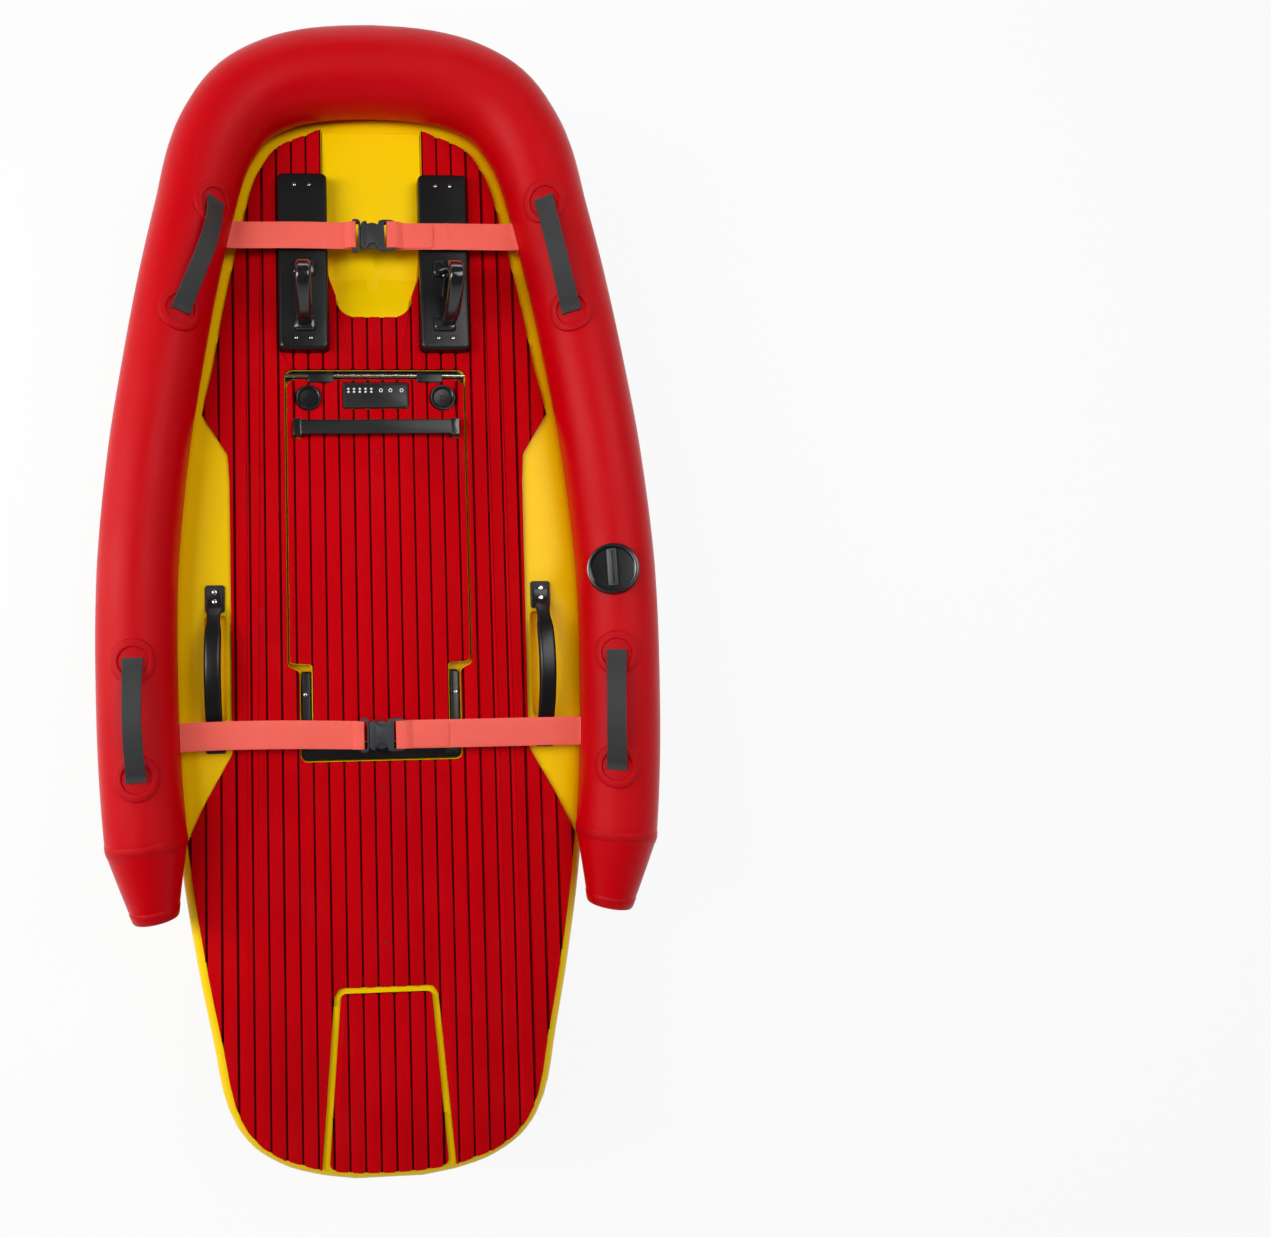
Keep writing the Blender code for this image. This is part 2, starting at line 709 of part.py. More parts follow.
def make_hull_shell():
    shell = loft(
        "hull_shell",
        [hull_ring(y, hull_half_section(y)) for y in hull_stations()],
        YELLOW,
    )
    stations = [STERN_Y + ahead for ahead in (0.045, 0.070, 0.140, 0.240, 0.440, 0.640)]
    stations += [TUNNEL_START_Y + 0.020, TUNNEL_START_Y + 0.022, -0.15, 0.05, 0.25]
    stations += [BAY_FRONT_Y + CAVITY_LEAD, CAVITY_MIDDLE_Y]
    stations += [NOSE_Y - back for back in (0.373, 0.243, 0.143, 0.083)]
    rings = []
    for y in sorted({round(station, 4) for station in stations}):
        width = min(half_width(y - 2 * HULL_WALL), half_width(y + 2 * HULL_WALL))
        floor = max(FLOOR_Z, keel_z(y) + HULL_WALL)
        middle = TUNNEL_BLOCK_Z if y < TUNNEL_START_Y + 0.021 else floor
        foot = width - min(FLARE, width * 0.35) - HULL_WALL
        block = min(DUCT_TUNNEL_HALF + HULL_WALL / 2, foot * 0.80)
        half = [
            (0.0, middle),
            (block, middle),
            (block + 0.004, floor),
            (foot, floor + 0.004),
            (width - HULL_WALL, RIM_Z - 0.022),
            (width - HULL_WALL, RIM_Z + 0.010),
        ]
        rings.append(hull_ring(y, half))
    cavity = loft("hull_cavity", rings)
    stern_mouth = box(
        "stern_mouth",
        (-DUCT_TUNNEL_HALF, STERN_Y - 0.010, BOTTOM_Z - 0.010),
        (DUCT_TUNNEL_HALF, STERN_Y + 0.035, DUCT_TUNNEL_Z),
    )
    cut(shell, cavity, stern_mouth)
    panel = rounded_rectangle(
        PANEL_HALF_WIDTH + SEAM / 2, PANEL_REAR_Y - SEAM / 2, PANEL_FRONT_Y + SEAM / 2, 0.012
    )
    cut(
        shell,
        flat_outline("panel_recess", panel, BOTTOM_Z - 0.010, BOTTOM_Z + PANEL_THICKNESS + GAP),
    )
    for side in (-1, 1):
        slot = fin_box_outline(side, FIN_BOX_WIDTH / 2 + GAP)
        depth = CHANNEL_Z + FIN_BOX_DEPTH - FIN_BOX_PROUD + GAP
        cut(shell, flat_outline("fin_pocket", slot, CHANNEL_Z - 0.010, depth))
    gland = cylinder(
        "gland_hole",
        (0, CABLE_EXIT_Y, MOTOR_TUNNEL_Z - 0.010),
        (0, CABLE_EXIT_Y, TUNNEL_BLOCK_Z + 0.010),
        bore_radius(CABLE_RADIUS, 12),
        sides=12,
    )
    cut(shell, gland)
    return shell


def fin_box_outline(side, radius):
    """A slot-shaped outline, long in Y, around a fin's foot."""
    x = side * FIN_X
    front = FIN_BOX_FRONT_Y - FIN_BOX_WIDTH / 2
    rear = FIN_BOX_FRONT_Y - FIN_BOX_LENGTH + FIN_BOX_WIDTH / 2
    return arc(x, front, radius, 180, 0, 8) + arc(x, rear, radius, 0, -180, 8)


# Deck shell


def rim_outline(inset):
    """The rim's outline, drawn in by a distance, as a closed ring of X and Y points."""
    starboard = [rim_point(y, inset) for y in hull_stations()]
    return starboard + [(-x, y) for x, y in reversed(starboard)]


def deck_profile(radius, top):
    """Inset from the rim and height on the rounded edge of the deck, from the rim inwards."""
    points = []
    for i in range(5):
        angle = math.pi / 2 * i / 4
        inset = RIM_RADIUS - radius * math.cos(angle)
        points.append((inset, RIM_Z + GAP + (top - RIM_Z - GAP) * math.sin(angle)))
    return points


def well_outline(grow):
    """The hatch well seen from above, grown outwards by a wall."""
    half, tail = WELL_HALF_WIDTH + grow, WELL_TAIL_HALF + grow
    front, step, rear = WELL_FRONT_Y + grow, LID_STEP_Y - SEAM - grow, WELL_REAR_Y - grow
    corner, tail_corner = WELL_CORNER, WELL_CORNER + 0.004
    half_points = (
        arc(half - corner, front - corner, corner, 90, 0, 2)
        + [(half, step), (tail, step - WELL_STEP_SLOPE)]
        + arc(tail - tail_corner, rear + tail_corner, tail_corner, 0, -90, 2)
    )
    return mirrored(half_points)


def recess_outline(grow):
    """The nose recess: straight sides that draw in to a rounded rear end."""
    half = RECESS_HALF_WIDTH + grow
    narrow = half * RECESS_REAR_SHARE
    widths = (half, half * RECESS_MIDDLE_SHARE, narrow)
    side = [(half, RECESS_FRONT_Y + grow)]
    side += [(width, NOSE_Y - back) for width, back in zip(widths, RECESS_TAPER_SETBACKS)]
    rear = RECESS_REAR_Y + RECESS_CORNER - grow
    return mirrored(side + arc(narrow - RECESS_CORNER, rear, RECESS_CORNER, 0, -90, 3))


def pocket_corners(side, grow):
    """Sides, rear and front of the finger pocket under a carry handle, grown outwards by a wall."""
    reach = CARRY_WIDTH / 2 + POCKET_MARGIN + grow
    xs = sorted((side * (CARRY_X - reach), side * (CARRY_X + reach)))
    front = PLATE_FRONT_Y - PLATE_SIZE[1] / 2 - POCKET_MARGIN + grow
    rear = PLATE_REAR_Y + PLATE_SIZE[1] / 2 + POCKET_MARGIN - grow
    return xs, rear, front


def make_deck_shell():
    """A thin rounded deck with the hatch well, the nose recess and the finger pockets let into it."""
    outer = deck_profile(RIM_RADIUS, DECK_Z)
    inner = deck_profile(RIM_RADIUS - DECK_WALL, DECK_Z - DECK_WALL)
    rings = []
    for inset, z in list(reversed(inner)) + outer:
        rings.append([(x, y, z) for x, y in rim_outline(inset)])
    deck = loft("deck_shell", rings, YELLOW)
    under = DECK_Z + GAP - DECK_WALL / 2
    ledge = DECK_Z - LEDGE_DEPTH
    blocks = [
        flat_outline("well_block", well_outline(LEDGE_WALL), ledge - LEDGE_WALL, under),
        box(
            "tail_block",
            (-WELL_TAIL_HALF - LEDGE_WALL, WELL_REAR_Y - LEDGE_WALL, DECK_Z - WELL_TAIL_DEPTH),
            (WELL_TAIL_HALF + LEDGE_WALL, LID_STEP_Y - 0.010, ledge),
        ),
        flat_outline("recess_block", recess_outline(DECK_WALL), DECK_Z - RECESS_DEPTH - DECK_WALL, under),
    ]
    cuts = [
        flat_outline("well_cut", well_outline(0.0), ledge, DECK_Z + 0.010),
        box(
            "tail_cut",
            (-WELL_TAIL_HALF, WELL_REAR_Y, DECK_Z - WELL_TAIL_DEPTH + LEDGE_WALL),
            (WELL_TAIL_HALF, LID_STEP_Y - SEAM - WELL_STEP_SLOPE, DECK_Z - 0.010),
        ),
        box(
            "bay_mouth",
            (-BAY_HALF_WIDTH, BAY_REAR_Y, ledge - 0.020),
            (BAY_HALF_WIDTH, BAY_FRONT_Y, ledge + 0.010),
        ),
        flat_outline("recess_cut", recess_outline(0.0), DECK_Z - RECESS_DEPTH, DECK_Z + 0.010),
    ]
    for side in (-1, 1):
        xs, rear, front = pocket_corners(side, DECK_WALL)
        low = DECK_Z - POCKET_DEPTH
        blocks.append(
            box("pocket_block", (xs[0], rear, low - DECK_WALL), (xs[1], front, under))
        )
        xs, rear, front = pocket_corners(side, 0.0)
        cuts.append(box("pocket_cut", (xs[0], rear, low), (xs[1], front, DECK_Z + 0.010)))
    join(deck, *blocks)
    rod_seat = cylinder(
        "rod_seat",
        (-ROD_HALF_LENGTH - GAP, HINGE_Y, DECK_Z),
        (ROD_HALF_LENGTH + GAP, HINGE_Y, DECK_Z),
        bore_radius(ROD_RADIUS, 12),
        sides=12,
    )
    cut(deck, *cuts, rod_seat)
    return deck


# Foam blocks inside the hull


def make_foam(name, rear, front, count):
    """A buoyancy block that fills the hull between two stations, with a groove for the cable."""
    rings = []
    for i in range(count):
        y = rear + (front - rear) * i / (count - 1)
        width = half_width(y) - HULL_WALL - FOAM_CLEARANCE
        foot = half_width(y) - FLARE - HULL_WALL - FOAM_CLEARANCE
        low = max(FLOOR_Z, keel_z(y) + HULL_WALL) + FOAM_CLEARANCE
        if y < 0:
            low = TUNNEL_BLOCK_Z + GAP
        half = [(0.0, low), (foot, low), (width, RIM_Z - 0.020), (width, FOAM_TOP_Z)]
        rings.append(hull_ring(y, half))
    foam = loft(name, rings, FOAM)
    channel = CABLE_RADIUS + SEAM
    groove = box(
        f"{name}_groove",
        (-channel, CABLE_EXIT_Y - channel, TUNNEL_BLOCK_Z - 0.010),
        (channel, 0.0, CABLE_RUN_Z + channel),
    )
    return cut(foam, groove)


# Pads


def pad_outline():
    """The main pad's outer edge, starboard half, from the nose recess to the kick pad."""
    points = [(RECESS_HALF_WIDTH + 0.001, PAD_FRONT_Y)]
    for back in PAD_FRONT_STATIONS:
        points.append(rim_point(NOSE_Y - back, PAD_FRONT_RIM))
    points.append(rim_point(PAD_NARROW_Y, PAD_FRONT_RIM * 0.85))
    points += [
        (PAD_WAIST_X + 0.003, PAD_WAIST_Y),
        (PAD_WAIST_X, PAD_WAIST_Y - 0.050),
        (PAD_WAIST_X - 0.002, PAD_WAIST_END_Y),
        (PAD_WAIST_X + 0.046, PAD_WAIST_END_Y - 0.085),
    ]
    points.append(rim_point(PAD_WIDE_Y, PAD_REAR_RIM))
    for ahead in PAD_REAR_STATIONS:
        points.append(rim_point(STERN_Y + ahead, PAD_REAR_RIM))
    points.append((KICK_REAR_HALF + KICK_GAP * 1.2, STERN_Y + 0.030))
    points.append((KICK_TOP_HALF + KICK_GAP, KICK_TOP_Y - 0.004))
    points.append((KICK_TOP_HALF + KICK_GAP - 0.010, KICK_TOP_Y + KICK_GAP))
    return points


def make_deck_pad():
    front = [(0.0, PAD_FRONT_Y - 0.090)]
    outline = mirrored(front + pad_outline())
    pad = flat_outline("deck_pad", outline, PAD_Z, PAD_TOP_Z, RED_PAD)
    low, high = PAD_Z - 0.010, PAD_TOP_Z + 0.010
    cut(
        pad,
        flat_outline("pad_recess_cut", recess_outline(PAD_EDGE), low, high),
        flat_outline("pad_well_cut", well_outline(PAD_EDGE * 2), low, high),
    )
    for side in (-1, 1):
        cut(pad, flat_outline("pad_grip_cut", grip_base_outline(side, GAP), low, high))
    return pad


def make_kick_pad():
    corner = KICK_CORNER
    points = [(0.0, KICK_TOP_Y)]
    points += arc(KICK_TOP_HALF - corner, KICK_TOP_Y - corner, corner, 90, 0, 2)
    widths = (KICK_REAR_HALF, KICK_REAR_HALF - corner, KICK_REAR_HALF / 2, 0.0)
    points += [(width, STERN_Y + ahead) for width, ahead in zip(widths, KICK_REAR_BOW)]
    return flat_outline("kick_pad", mirrored(points), PAD_Z, PAD_TOP_Z, RED_PAD)


# Hatch


def lid_outline(inset=0.0):
    half, tail = LID_HALF_WIDTH - inset, TAIL_HALF_WIDTH - inset
    corner = LID_CORNER
    return mirrored(
        arc(half - corner, LID_FRONT_Y - inset - corner, corner, 90, 0, 3)
        + [(half, LID_STEP_Y + inset), (tail, LID_STEP_Y - LID_STEP_SLOPE + inset)]
        + [(tail, TAIL_REAR_Y + inset)]
    )


def make_hatch():
    pivot = empty_at("hatch_pivot", (0.0, HINGE_Y, DECK_Z))
    low = LID_TOP_Z - LID_THICKNESS
    lid = flat_outline("hatch_lid", lid_outline(), low, LID_TOP_Z, YELLOW)
    top = LID_TOP_Z + GAP
    pad_top = top + PAD_THICKNESS
    pad = flat_outline("hatch_pad", lid_outline(PAD_EDGE), top, pad_top, RED_PAD)
    for side in (-1, 1):
        x = side * (LID_HANDLE_SIZE[0] - LID_HANDLE_FOOT) / 2
        half = (LID_HANDLE_FOOT / 2 + SEAM / 2, LID_HANDLE_SIZE[1] / 2 + SEAM / 2)
        cut(
            pad,
            box(
                "foot_cut",
                (x - half[0], LID_HANDLE_Y - half[1], top - 0.010),
                (x + half[0], LID_HANDLE_Y + half[1], pad_top + 0.010),
            ),
        )
    display_half = Vector(DISPLAY_SIZE) / 2
    cut(
        pad,
        box(
            "display_cut",
            (-display_half.x - SEAM / 2, DISPLAY_Y - display_half.y - SEAM / 2, top - 0.010),
            (display_half.x + SEAM / 2, DISPLAY_Y + display_half.y + SEAM / 2, pad_top + 0.010),
        ),
    )
    display = box(
        "display_panel",
        (-display_half.x, DISPLAY_Y - display_half.y, top),
        (display_half.x, DISPLAY_Y + display_half.y, top + DISPLAY_SIZE[2]),
        GLOSS_BLACK,
    )
    bevel(display, 0.0015, 1)
    docks = []
    for side, name in ((-1, "left"), (1, "right")):
        place = Vector((side * DOCK_X, DOCK_Y, top))
        cut(
            pad,
            cylinder(
                f"dock_cut_{name}",
                place - Vector((0, 0, 0.010)),
                place + Vector((0, 0, 0.030)),
                DOCK_RADIUS + SEAM / 2,
                sides=24,
            ),
        )
        dock = cylinder(
            f"key_dock_{name}", place, place + Vector((0, 0, DOCK_HEIGHT)), DOCK_RADIUS, BLACK, 24
        )
        dish = cylinder(
            f"dish_{name}",
            place + Vector((0, 0, DOCK_HEIGHT * 0.45)),
            place + Vector((0, 0, DOCK_HEIGHT * 1.5)),
            DOCK_RADIUS - 0.0055,
            sides=24,
            end_radius=DOCK_RADIUS + 0.0005,
        )
        docks.append(cut(dock, dish))
        gap_x = KNUCKLE_LENGTH / 2 + SEAM / 2
        cut(
            pad,
            box(
                f"knuckle_cut_{name}",
                (side * KNUCKLE_X - gap_x, LID_FRONT_Y - 0.012, top - 0.010),
                (side * KNUCKLE_X + gap_x, LID_FRONT_Y + 0.010, pad_top + 0.010),
            ),
        )
    knuckles = [make_knuckle(side, name) for side, name in ((-1, "left"), (1, "right"))]
    handle = make_lid_handle(top)
    seal = make_seal(low)
    bail_pivot = empty_at("bail_pivot", (0.0, BAIL_PIVOT_Y, BAIL_Z), pivot)
    mount_on(pivot, lid, pad, display, *docks, *knuckles, handle, seal)
    mount_on(bail_pivot, make_bail())
    rod = cylinder(
        "hinge_rod",
        (-ROD_HALF_LENGTH, HINGE_Y, DECK_Z),
        (ROD_HALF_LENGTH, HINGE_Y, DECK_Z),
        ROD_RADIUS,
        STEEL,
        12,
    )
    return lid, rod


def make_knuckle(side, name):
    """A hinge knuckle: a round eye on the rod with a tongue that lies on the lid."""
    x = side * KNUCKLE_X
    half = KNUCKLE_LENGTH / 2
    turn = Matrix.Rotation(math.radians(90), 4, "Y") @ Matrix.Rotation(math.radians(90), 4, "Z")
    eye = arc(0.0, 0.0, KNUCKLE_RADIUS, -90, 90, 8)
    tongue_y = -(LID_FRONT_CLEARANCE + 0.007)
    outline = [(y, z) for y, z in eye]
    outline += [(-0.004, KNUCKLE_RADIUS), (tongue_y, 0.0055), (tongue_y, GAP * 2)]
    outline += [(-LID_FRONT_CLEARANCE + GAP, GAP * 2), (-LID_FRONT_CLEARANCE + GAP, -KNUCKLE_RADIUS)]
    knuckle = flat_outline(f"hinge_knuckle_{name}", outline, -half, half, BLACK, turn)
    knuckle.data.transform(Matrix.Translation((x, HINGE_Y, DECK_Z)))
    bore = cylinder(
        f"knuckle_bore_{name}",
        (x - half - 0.01, HINGE_Y, DECK_Z),
        (x + half + 0.01, HINGE_Y, DECK_Z),
        bore_radius(ROD_RADIUS, 12),
        sides=12,
    )
    return cut(knuckle, bore)


def make_lid_handle(base):
    """A flat bar on two feet, with room for fingers under it."""
    half_x, half_y = LID_HANDLE_SIZE[0] / 2, LID_HANDLE_SIZE[1] / 2
    top = base + LID_HANDLE_RISE
    under = top - LID_HANDLE_SIZE[2]
    side = [
        (-half_x, base),
        (-half_x, under),
        (-half_x + 0.006, top),
        (half_x - 0.006, top),
        (half_x, under),
        (half_x, base),
        (half_x - LID_HANDLE_FOOT, base),
        (half_x - LID_HANDLE_FOOT, under - 0.002),
        (half_x - LID_HANDLE_FOOT - 0.004, under),
        (-half_x + LID_HANDLE_FOOT + 0.004, under),
        (-half_x + LID_HANDLE_FOOT, under - 0.002),
        (-half_x + LID_HANDLE_FOOT, base),
    ]
    turn = Matrix.Rotation(math.radians(90), 4, "X")
    handle = flat_outline("lid_handle", side, -half_y, half_y, BLACK, turn)
    handle.data.transform(Matrix.Translation((0, LID_HANDLE_Y, 0)))
    return handle


def make_seal(lid_low):
    """The rubber ring that the lid presses onto the ledge around the bay's mouth."""
    low, high = DECK_Z - LEDGE_DEPTH + GAP, lid_low - GAP
    margin = 0.004
    outer = SEAL_WIDTH + margin
    rim = rounded_rectangle(BAY_HALF_WIDTH + outer, BAY_REAR_Y - outer, LID_FRONT_Y - SEAM, 0.012, 2)
    mouth = rounded_rectangle(BAY_HALF_WIDTH + margin, BAY_REAR_Y - margin, BAY_FRONT_Y + SEAM, 0.008, 2)
    seal = flat_outline("hatch_seal", rim, low, high, RUBBER)
    return cut(seal, flat_outline("seal_hole", mouth, low - 0.010, high + 0.010))


def make_bail():
    """A U-shaped latch bail around the lid's tail, on pins that reach into the lid's sides."""
    inner = TAIL_HALF_WIDTH + SEAM
    outer = inner + BAIL_ARM
    low = BAIL_Z - BAIL_THICKNESS / 2
    high = low + BAIL_THICKNESS
    rear = WELL_REAR_Y + SWING_GAP
    front = LID_STEP_Y - 0.016
    corner = BAIL_CORNER
    half = [(inner, front), (outer - corner, front), (outer, front - corner), (outer, rear + corner)]
    half.append((outer - corner, rear))
    points = half + [(-x, y) for x, y in reversed(half)]
    points += [(-inner, rear + BAIL_BAR), (inner, rear + BAIL_BAR)]
    bail = flat_outline("latch_bail", points, low, high, BLACK)
    for side in (-1, 1):
        pin = cylinder(
            "bail_pin",
            (side * (inner - SEAM + GAP), BAIL_PIVOT_Y, BAIL_Z),
            (side * (inner + BAIL_ARM / 2), BAIL_PIVOT_Y, BAIL_Z),
            BAIL_PIN_RADIUS,
            sides=10,
        )
        join(bail, pin)
    return bail


# Battery bay and what it holds


def make_bay():
    top = DECK_Z - LEDGE_DEPTH - LEDGE_WALL - GAP
    low = FLOOR_Z + 5 * GAP
    edge = BAY_WALL + 0.004
    tub = box(
        "battery_bay",
        (-BAY_HALF_WIDTH - edge, BAY_REAR_Y - edge, low),
        (BAY_HALF_WIDTH + edge, BAY_FRONT_Y + edge, top),
        BLACK,
    )
    hollow = box(
        "bay_hollow",
        (-BAY_HALF_WIDTH, BAY_REAR_Y, low + BAY_WALL),
        (BAY_HALF_WIDTH, BAY_FRONT_Y, top + 0.010),
    )
    cut(tub, hollow)
    floor = low + BAY_WALL + GAP
    front = BAY_FRONT_Y - BATTERY_CLEARANCE
    size = Vector(BATTERY_SIZE)
    battery = box(
        "battery_pack",
        (-size.x / 2, front - size.y, floor),
        (size.x / 2, front, floor + size.z),
        BLACK,
    )
    bevel(battery, 0.006, 1)
    size = Vector(CONTROLLER_SIZE)
    rear = BAY_REAR_Y + CONTROLLER_CLEARANCE
    controller = box(
        "motor_controller",
        (-size.x / 2, rear, floor),
        (size.x / 2, rear + size.y, floor + size.z),
        STEEL,
    )
    exit_z = floor + size.z * 0.6
    bore = cylinder(
        "bay_gland",
        (0, BAY_REAR_Y + 0.010, exit_z),
        (0, BAY_REAR_Y - edge - 0.010, exit_z),
        bore_radius(CABLE_RADIUS, 12),
        sides=12,
    )
    cut(tub, bore)
    make_cable(rear, exit_z)
    return tub, battery, controller


def make_cable(start_y, start_z):
    """The motor's cable: out of the controller, aft over the tunnel, down into the pod mount."""
    run_z = CABLE_RUN_Z
    end_z = MOTOR_TUNNEL_Z + GAP
    route = [
        Vector((0, start_y - GAP, start_z)),
        Vector((0, start_y - 0.060, start_z)),
        Vector((0, start_y - 0.110, run_z)),
        Vector((0, CABLE_EXIT_Y + 0.080, run_z)),
        Vector((0, CABLE_EXIT_Y, run_z)),
        Vector((0, CABLE_EXIT_Y, end_z)),
    ]
    points = [route[0]]
    for before, corner, after in zip(route, route[1:], route[2:]):
        reach = min((corner - before).length * 0.36, (after - corner).length * 0.36, CABLE_BEND)
        first = corner + (before - corner).normalized() * reach
        last = corner + (after - corner).normalized() * reach
        for i in range(4):
            t = i / 3
            points.append(first * (1 - t) ** 2 + corner * 2 * t * (1 - t) + last * t**2)
    points.append(route[-1])
    return tube("motor_cable", points, CABLE_RADIUS, RUBBER)


# Grips


def grip_base_outline(side, grow):
    low, high = sorted((side * GRIP_BASE_INNER_X, side * GRIP_BASE_OUTER_X))
    middle, half = (low + high) / 2, (high - low) / 2 + grow
    rear, front = GRIP_BASE_REAR_Y - grow, GRIP_BASE_FRONT_Y + grow
    outline = rounded_rectangle(half, rear, front, GRIP_BASE_CORNER, 2)
    return [(middle + x, y) for x, y in outline]


def grip_path():
    """The grip's middle line in Y and Z: up a short front leg, over, and back down aft."""
    base = DECK_Z + GRIP_BASE_HEIGHT
    front, rear, top = GRIP_FRONT_Y, GRIP_REAR_Y, base + GRIP_HEIGHT - GRIP_THICKNESS / 2
    half = GRIP_THICKNESS / 2
    return [
        (front - half, base),
        (front - half - 0.006, base + 0.022),
        (front - 0.030, base + 0.058),
        (front - 0.042, top - 0.006),
        (front - 0.056, top),
        (front - 0.072, top - 0.010),
        (rear + 0.022, base + 0.034),
        (rear + 0.014, base + 0.016),
        (rear + half, base),
    ]


def band_outline(path, thickness, flat_ends=True):
    """The outline of a band of constant thickness around a line of 2D points."""
    left, right = [], []
    for i, point in enumerate(path):
        before, after = path[max(i - 1, 0)], path[min(i + 1, len(path) - 1)]
        along = Vector((after[0] - before[0], after[1] - before[1])).normalized()
        across = Vector((-along.y, along.x)) * thickness / 2
        if flat_ends and i in (0, len(path) - 1):
            across = Vector((math.copysign(thickness / 2, across.x), 0.0))
        left.append((point[0] + across.x, point[1] + across.y))
        right.append((point[0] - across.x, point[1] - across.y))
    return left + right[::-1]


def make_grips():
    for side, name in ((-1, "left"), (1, "right")):
        outline = grip_base_outline(side, 0.0)
        base = flat_outline(
            f"grip_base_{name}", outline, DECK_Z + GAP * 2, DECK_Z + GRIP_BASE_HEIGHT, BLACK
        )
        bevel(base, 0.003, 1, 60)
        path = [(y, z + GAP) for y, z in grip_path()]
        grip = flat_outline(
            f"grip_{name}",
            band_outline(path, GRIP_THICKNESS),
            -GRIP_WIDTH / 2,
            GRIP_WIDTH / 2,
            BLACK,
            SIDE_VIEW,
        )
        grip.data.transform(Matrix.Translation((side * GRIP_X, 0, 0)))
        bevel(grip, 0.004, 1, 60)
    make_trigger()


def make_trigger():
    """The throttle trigger, hinged under the top of the starboard grip."""
    base = DECK_Z + GRIP_BASE_HEIGHT
    pivot_y = GRIP_FRONT_Y - TRIGGER_SETBACK
    pivot_z = base + GRIP_HEIGHT - GRIP_THICKNESS - TRIGGER_DROP
    pivot = empty_at("trigger_pivot", (GRIP_X, pivot_y, pivot_z))
    path = [
        (0.0, 0.0045),
        (0.001, -0.004),
        (-0.001, -TRIGGER_LENGTH * 0.4),
        (-0.006, -TRIGGER_LENGTH * 0.75),
        (-0.016, -TRIGGER_LENGTH),
    ]
    trigger = flat_outline(
        "throttle_trigger",
        band_outline(path, TRIGGER_THICKNESS, False),
        -TRIGGER_WIDTH / 2,
        TRIGGER_WIDTH / 2,
        BLACK,
        SIDE_VIEW,
    )
    trigger.data.transform(Matrix.Translation((GRIP_X, pivot_y, pivot_z)))
    mount_on(pivot, trigger)
    return trigger


# Carry handles


def make_carry_handles():
    half = Vector(PLATE_SIZE) / 2
    top = DECK_Z + GAP * 2 + PLATE_SIZE[2]
    for side, name in ((-1, "left"), (1, "right")):
        x = side * CARRY_X
        for end, y in (("front", PLATE_FRONT_Y), ("rear", PLATE_REAR_Y)):
            plate = box(
                f"carry_plate_{name}_{end}",
                (x - half.x, y - half.y, DECK_Z + GAP * 2),
                (x + half.x, y + half.y, top),
                BLACK,
            )
            bevel(plate, 0.0012, 1)
        outline = carry_outline(carry_path(top + GAP + CARRY_FOOT_THICKNESS / 2))
        handle = flat_outline(
            f"carry_handle_{name}", outline, -CARRY_WIDTH / 2, CARRY_WIDTH / 2, BLACK, SIDE_VIEW
        )
        handle.data.transform(Matrix.Translation((x, 0, 0)))
        bevel(handle, 0.003, 1, 60)


def carry_path(foot_z):
    """A carry handle's middle line in Y and Z: flat on both plates, bowed up between them."""
    edge = PLATE_SIZE[1] * 0.05
    front, rear = PLATE_FRONT_Y - edge, PLATE_REAR_Y + edge
    path = [(front + 0.012, foot_z), (front - 0.006, foot_z)]
    for i in range(1, 10):
        t = i / 10
        y = front - 0.012 + (rear - front + 0.024) * t
        path.append((y, foot_z + 0.001 + CARRY_RISE * math.sin(math.pi * t) ** 0.7))
    return path + [(rear + 0.006, foot_z), (rear - 0.012, foot_z)]


def carry_outline(path):
    """A band that is thin where it is bolted down and full in the hand."""
    upper, lower = [], []
    last = len(path) - 1
    under = path[0][1] - CARRY_FOOT_THICKNESS / 2
    for i, (y, z) in enumerate(path):
        share = math.sin(math.pi * min(max((i - 1) / (last - 2), 0.0), 1.0)) ** 0.5
        thick = CARRY_FOOT_THICKNESS + (CARRY_THICKNESS - CARRY_FOOT_THICKNESS) * share
        upper.append((y, z + thick / 2))
        lower.append((y, max(z - thick / 2, under)))
    return upper + lower[::-1]


# Collar


def collar_radius(y):
    """The collar's radius at a station: fuller around the nose, and a cone at each tail."""
    if y < COLLAR_SEAM_Y:
        t = (COLLAR_SEAM_Y - y) / (COLLAR_SEAM_Y - COLLAR_END_Y)
        return COLLAR_RADIUS + (COLLAR_END_RADIUS - COLLAR_RADIUS) * min(t, 1.0)
    t = min(max(1 - (NOSE_Y - y) / COLLAR_SWELL, 0.0), 1.0)
    return COLLAR_RADIUS + (COLLAR_NOSE_RADIUS - COLLAR_RADIUS) * t


def collar_height(radius):
    """Height of the collar's middle where a tube of this radius rests on the rounded rim."""
    across = COLLAR_OFFSET + RIM_RADIUS
    reach = radius + RIM_RADIUS + 2 * GAP
    return RIM_Z + math.sqrt(reach**2 - across**2)


def collar_point(y):
    """A point of the collar's middle line beside the rim at a station, starboard side."""
    x, along = rim_point(y, -COLLAR_OFFSET)
    radius = collar_radius(y)
    return Vector((x, along, collar_height(max(radius, COLLAR_RADIUS))))


def collar_stations():
    side = [COLLAR_END_Y, COLLAR_SEAM_Y - 0.0005, COLLAR_SEAM_Y + 0.0005]
    stretch = HULL_LENGTH / NOSE_SPACING_LENGTH
    start, end = COLLAR_SEAM_Y + 0.04, NOSE_Y - NOSE_SPACING[0] * stretch
    count = round((end - start) / COLLAR_STEP)
    side += [start + (end - start) * i / count for i in range(count)]
    side += [NOSE_Y - back * stretch for back in NOSE_SPACING]
    return side


